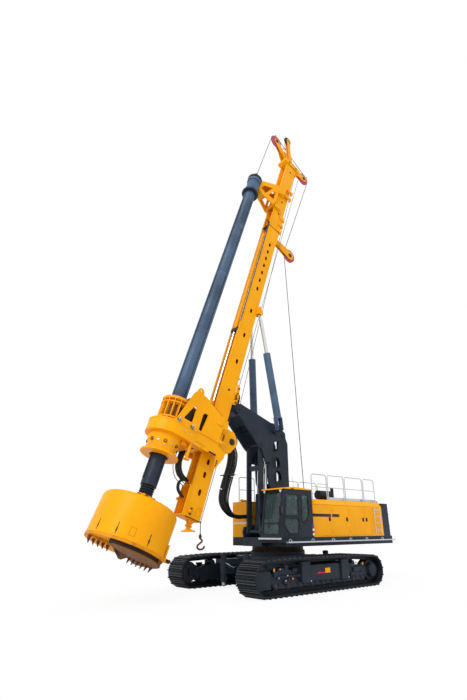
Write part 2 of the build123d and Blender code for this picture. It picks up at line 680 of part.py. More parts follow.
def make_rear_arm():
    """Main luffing arm: two plates with oval holes, joined by cross boxes."""
    x0, z0 = ARM_FOOT
    x1, z1 = ARM_HEAD
    outline = ((x0 - 170, z0 - 90), (x0 + 170, z0 - 90), (x0 + 330, z0 + 260), (800, 4100), (840, 5000),
               (860, 5220), (700, 5360), (180, 5440), (150, z1 + 60), (x1 + 120, z1 + 210), (x1 - 130, z1 + 210),
               (-470, 5850), (-440, 3000))
    holes = ((310, 4920), (250, 4330))
    with BuildPart() as arm:
        for turn in (1, -1):
            plane = side(turn * ARM_PLATE_Y)
            plate(outline, plane, ARM_PLATE)
            with BuildSketch(plane) as cuts:
                with Locations(*holes):
                    SlotOverall(390, 250, rotation=90)
            extrude(cuts.sketch, amount=ARM_PLATE, both=True, mode=Mode.SUBTRACT)
        inner = ARM_PLATE_Y - ARM_PLATE / 2 + 5
        block(-430, -360, -inner, inner, 3200, 5700)
        block(-430, 20, -inner, inner, 3500, 3700)
        cross_bar(x0, z0, 150, -inner, inner)
        cross_bar(x1, z1, 140, -inner, inner)
        cross_bar(*LUFF_EYE, LUFF_PIN_R, -inner, inner)
        cross_bar(x0, z0, 80 + RUN_GAP, -2 * inner, 2 * inner, Mode.SUBTRACT)
        cross_bar(x1, z1, 70 + RUN_GAP, -2 * inner, 2 * inner, Mode.SUBTRACT)
    save(arm, "rear_arm")


LINK_Y = 370


def make_front_link():
    """Front link of the luffing parallelogram: two slim arms with a tie between them."""
    x0, z0 = LINK_FOOT
    x1, z1 = LINK_HEAD
    with BuildPart() as link:
        for turn in (1, -1):
            y = turn * LINK_Y
            plate(((x0 - 110, z0), (x0 + 110, z0), (x1 + 110, z1), (x1 - 110, z1)), side(y), 100)
            for x, z in (LINK_FOOT, LINK_HEAD):
                cross_bar(x, z, 140, y - 50, y + 50)
        block(x1 - 90, x1 + 90, -LINK_Y, LINK_Y, 4560, 4760)
        for x, z in (LINK_FOOT, LINK_HEAD):
            cross_bar(x, z, 70 + RUN_GAP, -600, 600, Mode.SUBTRACT)
    save(link, "front_link")


PROP_PIN_R = 70


def make_triangle_frame():
    """Triangle frame: two cheeks with the pins of the arm, link, cylinders and mast."""
    tip_x, tip_z = FRAME_TIP
    arm_x, arm_z = ARM_HEAD
    link_x, link_z = LINK_HEAD
    prop_x, prop_z = PROP_FOOT
    outline = ((tip_x - 60, tip_z + 220), (tip_x + 170, tip_z + 150), (tip_x + 200, tip_z - 90),
               (tip_x + 60, tip_z - 230), (link_x + 190, link_z - 120), (link_x + 40, link_z - 230),
               (1030, 4910), (680, 4890), (600, 5330), (560, 5780), (arm_x + 90, arm_z - 190), (arm_x - 170, arm_z - 90), (arm_x - 170, arm_z + 130),
               (prop_x - 200, prop_z + 260), (prop_x + 200, prop_z + 260))
    with BuildPart() as frame:
        for turn in (1, -1):
            y = turn * FRAME_PLATE_Y
            plate(outline, side(y), FRAME_PLATE)
            outer = y + turn * FRAME_PLATE / 2
            cross_bar(prop_x, prop_z, 230, outer - turn * 10, turn * (PROP_FOOT_Y - 150))
            cross_bar(prop_x, prop_z, PROP_PIN_R, turn * (PROP_FOOT_Y - 155), turn * (PROP_FOOT_Y + 150))
        reach = FRAME_PLATE_Y
        for x, z in (ARM_HEAD, LINK_HEAD, FRAME_TIP):
            cross_bar(x, z, 70, -reach - FRAME_PLATE, reach + FRAME_PLATE)
        cross_bar(prop_x, prop_z, 160, -reach, reach)
        block(1350, 1700, -reach, reach, 6300, 6500)
    save(frame, "triangle_frame")


LUFF_BARREL_R = 130
LUFF_ROD_R = 85
LUFF_GLAND = 0.48            # share of the way from foot to eye where the barrel ends


def along(start, end, share):
    """Point between two points."""
    return tuple(a + (b - a) * share for a, b in zip(start, end))


def make_luff_cylinders():
    """Pair of luffing cylinders: barrels on the deck, rods to the triangle frame."""
    feet = [(LUFF_FOOT[0], turn * LUFF_Y, LUFF_FOOT[1]) for turn in (1, -1)]
    eyes = [(LUFF_EYE[0], turn * LUFF_Y, LUFF_EYE[1]) for turn in (1, -1)]
    with BuildPart() as barrels:
        for foot, eye in zip(feet, eyes):
            round_bar(along(foot, eye, 0.02), along(foot, eye, LUFF_GLAND), LUFF_BARREL_R)
            cross_bar(foot[0], foot[2], 120, foot[1] - 90, foot[1] + 90)
            round_bar(along(foot, eye, 0.06), along(foot, eye, 1), LUFF_ROD_R + SEAT_GAP, Mode.SUBTRACT)
            cross_bar(foot[0], foot[2], 55 + RUN_GAP, foot[1] - 300, foot[1] + 300, Mode.SUBTRACT)
    save(barrels, "luff_barrels")
    with BuildPart() as rods:
        for foot, eye in zip(feet, eyes):
            round_bar(along(foot, eye, 0.16), along(foot, eye, 0.965), LUFF_ROD_R)
            cross_bar(eye[0], eye[2], 110, eye[1] - 80, eye[1] + 80)
            cross_bar(eye[0], eye[2], LUFF_PIN_R + 25, eye[1] - 300, eye[1] + 300, Mode.SUBTRACT)
    save(rods, "luff_rods")


PROP_BARREL_R = 170
PROP_ROD_R = 90
PROP_GLAND = 0.63


PROP_FORK_IN = 125           # inner face of the barrel's fork from its pins' crossing
PROP_FORK = 45
PROP_STUB_R = 40
PROP_EYE_R = 105
PROP_EYE_HALF = 60
PROP_NECK_R = 58


def make_props():
    """Mast prop cylinders: the cardan yokes of both, then each barrel and rod."""
    x, z = PROP_FOOT
    lean = atan2(PROP_EYE[0] - x, PROP_EYE[1] - z)
    across = Vector(cos(lean), 0, -sin(lean))
    with BuildPart() as yokes:
        for turn in (1, -1):
            foot = Vector(x, turn * PROP_FOOT_Y, z)
            reach = across * (PROP_FORK_IN + PROP_FORK)
            cross_bar(x, z, PROP_FORK_IN - 5, foot.Y - 110, foot.Y + 110)
            round_bar(foot - reach, foot + reach, PROP_STUB_R)
            cross_bar(x, z, PROP_PIN_R + RUN_GAP, foot.Y - 300, foot.Y + 300, Mode.SUBTRACT)
    save(yokes, "prop_yokes")
    for label, turn in (("left", 1), ("right", -1)):
        foot = (x, turn * PROP_FOOT_Y, z)
        eye = (PROP_EYE[0], turn * PROP_EYE_Y, PROP_EYE[1])
        cheek = ((-95, -70), (-60, -105), (60, -105), (95, -70), (120, 480), (-120, 480))
        with BuildPart() as barrel:
            round_bar(along(foot, eye, 0.075), along(foot, eye, PROP_GLAND), PROP_BARREL_R)
            round_bar(along(foot, eye, 0.09), along(foot, eye, 1), PROP_ROD_R + SEAT_GAP, Mode.SUBTRACT)
            for way in (1, -1):
                middle = Vector(foot) + across * (way * (PROP_FORK_IN + PROP_FORK / 2))
                shift = tuple((u - turn * max(v, 0) * 0.08, v) for u, v in cheek)
                plate(shift, Plane(origin=middle, x_dir=(0, 1, 0), z_dir=across), PROP_FORK)
            reach = across * 400
            round_bar(Vector(foot) - reach, Vector(foot) + reach, PROP_STUB_R + RUN_GAP, Mode.SUBTRACT)
        save(barrel, f"prop_barrel_{label}")
        with BuildPart() as rod:
            round_bar(along(foot, eye, 0.11), along(foot, eye, 0.95), PROP_ROD_R)
            round_bar(along(foot, eye, 0.94), along(foot, eye, 0.99), PROP_NECK_R)
            cross_bar(eye[0], eye[2], PROP_EYE_R, eye[1] - PROP_EYE_HALF, eye[1] + PROP_EYE_HALF)
        save(rod, f"prop_rod_{label}")


def make_cross_joint():
    """Block between the triangle frame's tip and the mast: pitches on the tip's pin."""
    with BuildPart() as joint:
        block(TIP_Q - 150, MAST_REAR_Q - 75, -300, 300, TIP_S - 250, TIP_S + 250, frame=MAST)
        half = FRAME_PLATE_Y - FRAME_PLATE / 2 - PIN_GAP
        cross_bar(*FRAME_TIP, 170, -half, half)
        cross_bar(*FRAME_TIP, 70 + RUN_GAP, -600, 600, Mode.SUBTRACT)
        mast_bar((MAST_REAR_Q - 80, 0, TIP_S), (MAST_REAR_Q - PIVOT_PAD - SEAT_GAP, 0, TIP_S), 240)
    save(joint, "cross_joint")


# ---------------------------------------------------------------- mast
PROP_FORK_HALF = 128         # half the room between the two lugs of a prop's eye
PROP_FORK_SHIFT = 32         # the lugs sit this far inside the eye at rest


def mast_shell(s0, s1):
    """Hollow mast box between two levels, open at the front between its guide rails."""
    block(MAST_REAR_Q, MAST_FRONT_Q, -MAST_HALF, MAST_HALF, s0, s1, frame=MAST)
    web = MAST_FRONT_Q - MAST_WEB_DEEP
    block(MAST_REAR_Q + MAST_WALL, web - MAST_WALL, -MAST_HALF + MAST_WALL, MAST_HALF - MAST_WALL,
          s0 - 10, s1 + 10, Mode.SUBTRACT, MAST)
    block(web, MAST_FRONT_Q + 10, -MAST_HALF + 110, MAST_HALF - 110, s0 - 10, s1 + 10, Mode.SUBTRACT, MAST)
    for turn in (1, -1):
        block(MAST_FRONT_Q - 5, MAST_FRONT_Q + RAIL_DEEP, turn * (MAST_HALF - 95), turn * MAST_HALF, s0, s1,
              frame=MAST)


def make_lower_mast():
    """Lower mast with its side holes, foot plate and the lugs of the prop cylinders."""
    with BuildPart() as mast:
        mast_shell(MAST_FOOT_S, MAST_JOINT_S)
        block(MAST_REAR_Q, MAST_FRONT_Q + RAIL_DEEP, -MAST_HALF, MAST_HALF, MAST_FOOT_S, MAST_FOOT_S + 40, frame=MAST)
        with BuildSketch(mast_side(0)) as holes:
            with Locations(*[(MAST_REAR_Q + 320, s) for s in range(1900, 16600, 720)]):
                SlotOverall(290, 150, rotation=90)
        extrude(holes.sketch, amount=MAST_HALF + 20, both=True, mode=Mode.SUBTRACT)
        mast_bar((MAST_REAR_Q - PIVOT_PAD, 0, TIP_S), (MAST_REAR_Q + 5, 0, TIP_S), 250)
        q, s = PROP_EYE_QS
        middle, spread = PROP_EYE_Y - PROP_FORK_SHIFT, PROP_FORK_HALF + 20
        block(MAST_REAR_Q - 10, MAST_REAR_Q + 30, -middle - spread - 40, middle + spread + 40, s - 90, s + 330,
              frame=MAST)
        for turn in (1, -1):
            for way in (1, -1):
                lug = ((MAST_REAR_Q + 5, s - 90), (q - 30, s - 90), (q - 100, s), (q - 60, s + 100),
                       (MAST_REAR_Q + 5, s + 300))
                plate(lug, mast_side(turn * (middle + way * spread)), 40)
        mast_bar((5150, 0, 560), (5150, 0, MAST_FOOT_S + 5), 90)
        mast_bar((5150, 0, 490), (5150, 0, 560), 300)
    save(mast, "lower_mast")


def make_upper_mast():
    """Upper mast above the folding joint, with the flange stack of that joint."""
    with BuildPart() as mast:
        mast_shell(MAST_JOINT_S + SEAT_GAP, MAST_TOP_S)
        block(MAST_REAR_Q, MAST_FRONT_Q, -MAST_HALF, MAST_HALF, MAST_TOP_S - 40, MAST_TOP_S, frame=MAST)
        for s in (16960 + 50, 17500, 18080):
            block(MAST_REAR_Q - 130, MAST_REAR_Q + 250, -MAST_HALF - 60, MAST_HALF + 60, s, s + 90, frame=MAST)
        block(MAST_REAR_Q + MAST_WALL, MAST_FRONT_Q - MAST_WEB_DEEP - MAST_WALL, -MAST_HALF + MAST_WALL,
              MAST_HALF - MAST_WALL, MAST_JOINT_S, MAST_TOP_S - 100, Mode.SUBTRACT, MAST)
    save(mast, "upper_mast")


HEAD_SHEAVES = (             # name, q, s, radius, y
    ("front_sheave", 6750, 24080, 400, 0),
    ("rear_sheave", 4000, 23300, 400, 0),
    ("hook_sheave", 6080, 24800, 260, 180),
)
GUIDE_SHEAVE = (3600, 16470, 400)
SHEAVE_THICK = 90
SHEAVE_PIN = 45


def sheave_bracket(q, s, y, root_q, root_s, thick=24):
    """Two cheeks from a root point to a sheave's pin."""
    for turn in (1, -1):
        mid = y + turn * (SHEAVE_THICK / 2 + 12 + thick / 2)
        dq, ds = q - root_q, s - root_s
        length = hypot(dq, ds)
        nq, ns = -ds / length * 110, dq / length * 110
        plate(((root_q + 1.6 * nq, root_s + 1.6 * ns), (q + nq, s + ns), (q + dq / length * 110, s + ds / length * 110),
               (q - nq, s - ns), (root_q - 1.6 * nq, root_s - 1.6 * ns)), mast_side(mid), thick)
    mast_bar((q, y - SHEAVE_THICK / 2 - 12 - thick, s), (q, y + SHEAVE_THICK / 2 + 12 + thick, s), SHEAVE_PIN)


def make_mast_head():
    """Head block with the cheeks that carry the three head sheaves."""
    with BuildPart() as head:
        block(4700, 5900, -330, 330, MAST_TOP_S + SEAT_GAP, MAST_TOP_S + 420, frame=MAST)
        for name, q, s, r, y in HEAD_SHEAVES:
            sheave_bracket(q, s, y, 5300, MAST_TOP_S + 250)
    save(head, "mast_head")


def make_sheave(name, q, s, y, radius):
    """Grooved rope sheave on its pin."""
    with BuildPart() as sheave:
        mast_bar((q, y - SHEAVE_THICK / 2, s), (q, y + SHEAVE_THICK / 2, s), radius)
        mast_bar((q, y - SHEAVE_THICK, s), (q, y + SHEAVE_THICK, s), SHEAVE_PIN + RUN_GAP, Mode.SUBTRACT)
    save(sheave, name)


def make_rope_guide():
    """Bracket at the mast's rear that holds the rope guide sheave."""
    q, s, r = GUIDE_SHEAVE
    with BuildPart() as guide:
        block(MAST_REAR_Q - 60, MAST_REAR_Q - 0.3, -200, 200, 16250, 16900, frame=MAST)
        sheave_bracket(q, s, 0, MAST_REAR_Q - 40, 16600)
    save(guide, "rope_guide")


CROWD_Q = MAST_FRONT_Q + 60
CROWD_BARREL_R = 100
CROWD_ROD_R = 62
CROWD_TOP_S = 16400
CROWD_GLAND_S = 9570
CROWD_EYE_S = 5750


def make_crowd_cylinder():
    """Crowd cylinder in the mast's front: barrel above, rod down to the drive's sled."""
    with BuildPart() as barrel:
        mast_bar((CROWD_Q, 0, CROWD_GLAND_S), (CROWD_Q, 0, CROWD_TOP_S), CROWD_BARREL_R)
        block(MAST_FRONT_Q - MAST_WEB_DEEP + SEAT_GAP, CROWD_Q, -80, 80, CROWD_TOP_S - 300, CROWD_TOP_S - 100,
              frame=MAST)
        mast_bar((CROWD_Q, 0, CROWD_GLAND_S - 200), (CROWD_Q, 0, CROWD_TOP_S - 150), CROWD_ROD_R + SEAT_GAP,
                 Mode.SUBTRACT)
    save(barrel, "crowd_barrel")
    with BuildPart() as rod:
        mast_bar((CROWD_Q, 0, CROWD_EYE_S), (CROWD_Q, 0, CROWD_GLAND_S + 2700), CROWD_ROD_R)
    save(rod, "crowd_rod")


AUX_PLATE = 45
AUX_Q = 4430
AUX_S = 4480


def make_aux_winch():
    """Auxiliary winch on the mast's rear: yellow cheeks and drum."""
    with BuildPart() as frame:
        for turn in (1, -1):
            cheek = ((MAST_REAR_Q + 200, AUX_S - 380), (AUX_Q + 150, AUX_S - 420), (AUX_Q - 230, AUX_S - 330),
                     (AUX_Q - 390, AUX_S - 60), (AUX_Q - 340, AUX_S + 250), (AUX_Q - 60, AUX_S + 440),
                     (MAST_REAR_Q + 200, AUX_S + 440))
            plate(cheek, mast_side(turn * (MAST_HALF + SEAT_GAP + AUX_PLATE / 2)), AUX_PLATE)
        mast_bar((AUX_Q, -MAST_HALF - 60, AUX_S), (AUX_Q, MAST_HALF + 60, AUX_S), 60)
    save(frame, "aux_winch_frame")
    with BuildPart() as reel:
        mast_bar((AUX_Q, -250, AUX_S), (AUX_Q, 250, AUX_S), 200)
        for y in (-280, 250):
            mast_bar((AUX_Q, y, AUX_S), (AUX_Q, y + 30, AUX_S), 330)
        mast_bar((AUX_Q, -300, AUX_S), (AUX_Q, 300, AUX_S), 60 + RUN_GAP, Mode.SUBTRACT)
    save(reel, "aux_winch_drum")


# ---------------------------------------------------------------- rotary drive
SLED_SIDE_Y = 470
SLED_PLATE = 60
HOUSING_R = 880
HOUSING_REAR_Q = 6390
HOUSING_S0 = 3180
HOUSING_S1 = 3820
GUSSET_Y = 700
GUSSET_PLATE = 50
SHOE_LEVELS = (3500, 4750)   # foot of each pair of guide shoes
SHOE_LONG = 260
CROWD_LUG = 80


def guide_shoes(s0, s1, outer_y):
    """Pair of shoes that hold a slider on the mast's front rails."""
    rail_q = MAST_FRONT_Q + RAIL_DEEP
    for turn in (1, -1):
        beside = turn * (MAST_HALF + SEAT_GAP)
        block(rail_q - 400, rail_q + 130, beside, turn * outer_y, s0, s1, frame=MAST)
        block(rail_q + SEAT_GAP, rail_q + 130, turn * (MAST_HALF - 90), beside + turn, s0, s1, frame=MAST)


def make_sled():
    """Sled on the mast's rails: two side towers, their cross box and the crowd rod's lug."""
    back = HOUSING_REAR_Q - SEAT_GAP
    tower = ((5290, 3300), (5900, 3330), (back, 3330), (back, 5250), (5640, 5120), (5290, 4980))
    cross_q = MAST_FRONT_Q + RAIL_DEEP + 130
    with BuildPart() as sled:
        for turn in (1, -1):
            plate(tower, mast_side(turn * SLED_SIDE_Y), SLED_PLATE)
        for s in SHOE_LEVELS:
            guide_shoes(s, s + SHOE_LONG, SLED_SIDE_Y)
        block(cross_q, cross_q + 200, -SLED_SIDE_Y, SLED_SIDE_Y, 3400, 5100, frame=MAST)
        block(CROWD_Q - CROWD_LUG, cross_q + 10, -CROWD_LUG, CROWD_LUG, 4900, CROWD_EYE_S, frame=MAST)
    save(sled, "sled")


def make_drive():
    """Rotary drive: housing with a rounded front, two motors, and the gussets above it."""
    gusset = ((HOUSING_REAR_Q, HOUSING_S1 - 5), (7470, HOUSING_S1 - 5), (7000, 5330), (6720, 5450), (6560, 5390),
              (HOUSING_REAR_Q, 5100))
    window = ((6640, 4000), (7210, 4000), (6900, 4900), (6700, 4900))
    with BuildPart() as drive:
        drum(HOUSING_S0, HOUSING_S1, HOUSING_R)
        block(HOUSING_REAR_Q, KELLY_Q, -HOUSING_R, HOUSING_R, HOUSING_S0, HOUSING_S1, frame=MAST)
        for turn in (1, -1):
            mast_bar((6560, turn * 430, HOUSING_S1 - 5), (6560, turn * 430, HOUSING_S1 + 650), 130)
            plate(gusset, mast_side(turn * GUSSET_Y), GUSSET_PLATE)
            plate(window, mast_side(turn * GUSSET_Y), 2 * GUSSET_PLATE, Mode.SUBTRACT)
        mast_bar((6620, -GUSSET_Y, 5330), (6620, GUSSET_Y, 5330), 55)
        drum(HOUSING_S0 - 5, HOUSING_S1 + 5, 560, Mode.SUBTRACT)
    save(drive, "rotary_drive")


SLEEVE_BORE = 365
BELL_R = 820


def make_sleeve():
    """Turning sleeve of the drive: bell flange below, ribbed damper ring above."""
    with BuildPart() as sleeve:
        drum(2620, 5000, 540)
        drum(2560, 2640, BELL_R)
        drum(2630, HOUSING_S0 - SEAT_GAP, 680)
        drum(HOUSING_S1 + SEAT_GAP, 3950, 640)
        drum(4880, 5010, 610)
        with BuildSketch(mast_level(3940)) as ribs:
            with Locations((KELLY_Q, 0)):
                with PolarLocations(560, 24):
                    Rectangle(90, 30)
        extrude(ribs.sketch, amount=950)
        drum(2500, 5100, SLEEVE_BORE, Mode.SUBTRACT)
    save(sleeve, "drive_sleeve")


# ---------------------------------------------------------------- kelly and bucket
def make_kelly():
    """Kelly bar: ribbed outer tube with two collars and the ringed neck above the bucket."""
    with BuildPart() as kelly:
        drum(KELLY_FOOT_S, KELLY_TOP_S, KELLY_R)
        drum(BUCKET_TOP_S + 10 + SEAT_GAP, KELLY_FOOT_S + 5, 190)
        for s in (1500, 1600, 1700, 1800, 1900):
            drum(s, s + 45, 240)
        drum(KELLY_TOP_S, KELLY_TOP_S + 120, 380)
        drum(18420, 18580, 430)
        with BuildSketch(mast_level(KELLY_FOOT_S + 100)) as ribs:
            with Locations((KELLY_Q, 0)):
                with PolarLocations(KELLY_R, 3):
                    Rectangle(70, 70)
        extrude(ribs.sketch, amount=16000)
    save(kelly, "kelly_bar")


KELLY_COLLAR_S = 18420
GUIDE_Y = 350
GUIDE_PLATE = 60


def make_kelly_guide():
    """Truss that guides the kelly's top along the mast, and the rope swivel on the kelly."""
    cheek = ((5740, 18420), (5900, 18420), (7100, 19000), (7100, 19560), (5280, 19560), (5280, 19300), (5740, 19280))
    window = ((5900, 18700), (6780, 19080), (6780, 19340), (5900, 19290))
    with BuildPart() as guide:
        for turn in (1, -1):
            plate(cheek, mast_side(turn * GUIDE_Y), GUIDE_PLATE)
            plate(window, mast_side(turn * GUIDE_Y), 3 * GUIDE_PLATE, Mode.SUBTRACT)
        guide_shoes(18440, 18700, GUIDE_Y)
        guide_shoes(19300, 19560, GUIDE_Y)
        block(5800, 5900, -GUIDE_Y, GUIDE_Y, 18420, 19300, frame=MAST)
        with BuildSketch(mast_level(18950)) as ring:
            with Locations((KELLY_Q, 0)):
                Circle(440)
                Circle(345, mode=Mode.SUBTRACT)
        extrude(ring.sketch, amount=KELLY_TOP_S - SEAT_GAP - 18950)
        block(6900, 7100, -GUIDE_Y, GUIDE_Y, 19000, 19560, frame=MAST)
        drum(18900, KELLY_TOP_S - SEAT_GAP, 345, Mode.SUBTRACT)
        drum(KELLY_TOP_S + 120 + SEAT_GAP, KELLY_TOP_S + 480, 90)
        drum(KELLY_TOP_S + 470, KELLY_TOP_S + 700, 50)
    save(guide, "kelly_guide")


def make_bucket():
    """Bucket: hollow shell, coupling box with its pins, and the hinged bottom with teeth."""
    with BuildPart() as shell:
        drum(BUCKET_FOOT_S, BUCKET_TOP_S, BUCKET_R)
        top_edge = shell.edges().filter_by(GeomType.CIRCLE).sort_by(Axis((0, 0, 0), mast_point(0, 0, 1)))[-1]
        chamfer(top_edge, length=230)
        drum(BUCKET_FOOT_S - 10, BUCKET_TOP_S - 260, BUCKET_R - BUCKET_SKIN, Mode.SUBTRACT)
        block(KELLY_Q - 330, KELLY_Q + 330, -330, 330, BUCKET_TOP_S - 20, BUCKET_TOP_S + 330, frame=MAST)
        drum(BUCKET_TOP_S + 10, BUCKET_TOP_S + 400, 191, Mode.SUBTRACT)
    save(shell, "bucket_shell")
    with BuildPart() as gate:
        drum(BUCKET_FOOT_S - 90, BUCKET_FOOT_S - SEAT_GAP, BUCKET_R + 30)
        for turn in (1, -1):
            block(KELLY_Q + turn * 150, KELLY_Q + turn * 1150, 100 * turn, 700 * turn, BUCKET_FOOT_S - 100, BUCKET_FOOT_S,
                  Mode.SUBTRACT, MAST)
            for i in range(6):
                r = 350 + i * 200
                block(KELLY_Q + turn * r - 45, KELLY_Q + turn * r + 45, -60 * turn, 20 * turn, BUCKET_FOOT_S - 330,
                      BUCKET_FOOT_S - 80, frame=MAST)
        with BuildSketch(mast_level(BUCKET_FOOT_S - 400)) as point:
            with Locations((KELLY_Q, 0)):
                Rectangle(120, 120)
        extrude(point.sketch, amount=330)
    save(gate, "bucket_gate")


# ---------------------------------------------------------------- build everything
make_track("track_left", 1)
make_track("track_right", -1)
make_wheels()
make_track_frames()
make_car_body()
make_jacks()
make_slew_ring()
make_deck()
make_walkway()
make_cab()
make_cab_glass()
make_cab_door()
make_cab_roof()
make_cab_seat()
make_hood()
make_hood_doors()
make_engine()
make_counterweight()
make_tank()
make_handrails()
make_exhaust()
make_main_winch()
make_rear_arm()
make_front_link()
make_triangle_frame()
make_luff_cylinders()
make_props()
make_cross_joint()
make_lower_mast()
make_upper_mast()
make_mast_head()
for sheave_name, sheave_q, sheave_s, sheave_r, sheave_y in HEAD_SHEAVES:
    make_sheave(sheave_name, sheave_q, sheave_s, sheave_y, sheave_r)
make_rope_guide()
make_sheave("guide_sheave", GUIDE_SHEAVE[0], GUIDE_SHEAVE[1], 0, GUIDE_SHEAVE[2])
make_crowd_cylinder()
make_aux_winch()
make_sled()
make_drive()
make_sleeve()
make_kelly()
make_kelly_guide()
make_bucket()
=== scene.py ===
"""Dress of the rotary piling rig: finishes, fittings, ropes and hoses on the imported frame."""

import json
import logging
import math
from collections.abc import Iterable
from dataclasses import dataclass, field
from enum import Enum

import bmesh
import bpy
from mathutils import Matrix, Vector


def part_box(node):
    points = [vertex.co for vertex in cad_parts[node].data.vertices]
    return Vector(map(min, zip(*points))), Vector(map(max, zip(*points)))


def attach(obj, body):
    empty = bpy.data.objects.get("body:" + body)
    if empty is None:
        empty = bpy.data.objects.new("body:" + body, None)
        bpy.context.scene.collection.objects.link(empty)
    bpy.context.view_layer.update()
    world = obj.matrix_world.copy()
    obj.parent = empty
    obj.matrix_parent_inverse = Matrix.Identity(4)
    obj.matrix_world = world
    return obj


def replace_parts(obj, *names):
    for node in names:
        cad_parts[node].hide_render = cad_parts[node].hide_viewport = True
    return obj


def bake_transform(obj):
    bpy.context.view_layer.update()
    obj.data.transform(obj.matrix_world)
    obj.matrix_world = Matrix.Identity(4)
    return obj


log = logging.getLogger("piling_rig")
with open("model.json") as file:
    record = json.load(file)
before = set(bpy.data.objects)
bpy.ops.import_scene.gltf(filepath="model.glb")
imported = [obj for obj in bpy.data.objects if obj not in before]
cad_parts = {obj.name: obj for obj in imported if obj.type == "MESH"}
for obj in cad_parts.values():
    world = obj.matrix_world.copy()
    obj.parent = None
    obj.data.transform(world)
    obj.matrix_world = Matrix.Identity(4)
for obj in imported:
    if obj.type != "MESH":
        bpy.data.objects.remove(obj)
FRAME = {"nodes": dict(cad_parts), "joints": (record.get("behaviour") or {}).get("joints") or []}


# ---------------------------------------------------------------- places on the frame


class Rig:
    """Where the frame's nodes and joints are, in metres."""

    joints: dict = {joint["name"]: joint for joint in FRAME["joints"]}

    @classmethod
    def box(cls, node: str) -> tuple[Vector, Vector]:
        """Lowest and highest corner of a node.

        Args:
            node: the node's name.

        Returns:
            Both corners.
        """
        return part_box(node)

    @classmethod
    def pin(cls, joint: str) -> Vector:
        """The point that a joint turns about.

        Args:
            joint: the joint's name.

        Returns:
            The point, in metres.
        """
        return Vector(cls.joints[joint]["pos_m"])

    @classmethod
    def line(cls, joint: str) -> Vector:
        """The direction of a joint's axis.

        Args:
            joint: the joint's name.

        Returns:
            A direction of length 1.
        """
        return Vector(cls.joints[joint]["axis"]).normalized()


@dataclass(frozen=True)
class Lean:
    """The raked frame of the mast: forward of it, across it and up it."""

    up: Vector
    forward: Vector

    @classmethod
    def of_mast(cls) -> "Lean":
        """The frame that the crowd slide runs along.

        Returns:
            The frame.
        """
        up = Rig.line("crowd")
        return cls(up=up, forward=Vector((up.z, 0.0, -up.x)))

    def at(self, q: float, y: float, s: float) -> Vector:
        """A point from its distance forward, across and up the mast.

        Args:
            q: distance forward.
            y: distance across.
            s: distance up.

        Returns:
            The point.
        """
        return self.forward * q + Vector((0.0, y, 0.0)) + self.up * s

    def measure(self, point: Vector) -> tuple[float, float, float]:
        """Distance forward, across and up the mast of a point.

        Args:
            point: the point.

        Returns:
            Its distances forward, across and up.
        """
        return point.dot(self.forward), point.y, point.dot(self.up)

    def outline(self, points: Iterable[tuple[float, float]], y: float) -> list[Vector]:
        """Points in a plane along the mast.

        Args:
            points: distance forward and up of each.
            y: their distance across.

        Returns:
            The points in order.
        """
        return [self.at(q, y, s) for q, s in points]

    def spoke(self, angle: float) -> tuple[Vector, Matrix]:
        """The direction at an angle about a line up the mast, with the axes of a piece that faces that way.

        Args:
            angle: angle from forward, in radians.

        Returns:
            The direction and the axes.
        """
        out = self.forward * math.cos(angle) + Y * math.sin(angle)
        return out, Matrix((out, self.up.cross(out), self.up)).transposed()

    def spokes(self, count: int, shift: float = 0.0) -> list[tuple[Vector, Matrix]]:
        """Even directions about a line up the mast.

        Args:
            count: how many there are.
            shift: turn of the first, as a share of one step.

        Returns:
            The direction and the axes of each.
        """
        return [self.spoke(math.tau * (k + shift) / count) for k in range(count)]

    def oval(self, q: float, y: float, s: float, long: float, wide: float) -> list[Vector]:
        """An oval loop drawn out along the mast, in a plane along it.

        Args:
            q: the middle's distance forward.
            y: the middle's distance across.
            s: the middle's distance up.
            long: its length up the mast.
            wide: its width.

        Returns:
            The loop's points.
        """
        r, run = wide / 2, (long - wide) / 2
        turns = [math.radians(d) for d in range(0, 360, 20)]
        return [self.at(q + r * math.cos(a), y, s + r * math.sin(a) + math.copysign(run, math.sin(a))) for a in turns]

    @property
    def axes(self) -> Matrix:
        """Rotation whose columns are forward, across and up.

        Returns:
            The rotation.
        """
        return Matrix((self.forward, Vector((0, 1, 0)), self.up)).transposed()


X, Y, Z = Vector((1, 0, 0)), Vector((0, 1, 0)), Vector((0, 0, 1))
SIDES = ((1, "left"), (-1, "right"))
MAST = Lean.of_mast()
# How far forward up the mast's frame the kelly runs, and half the mast's width with the shoes' play.
KELLY_Q = 7.28
MAST_SIDE = 0.2903


def side_on(points: Iterable[tuple[float, float]], y: float) -> list[Vector]:
    """Points in a plane along the machine.

    Args:
        points: place along and height of each.
        y: their distance across.

    Returns:
        The points in order.
    """
    return [Vector((x, y, z)) for x, z in points]


# ---------------------------------------------------------------- finishes


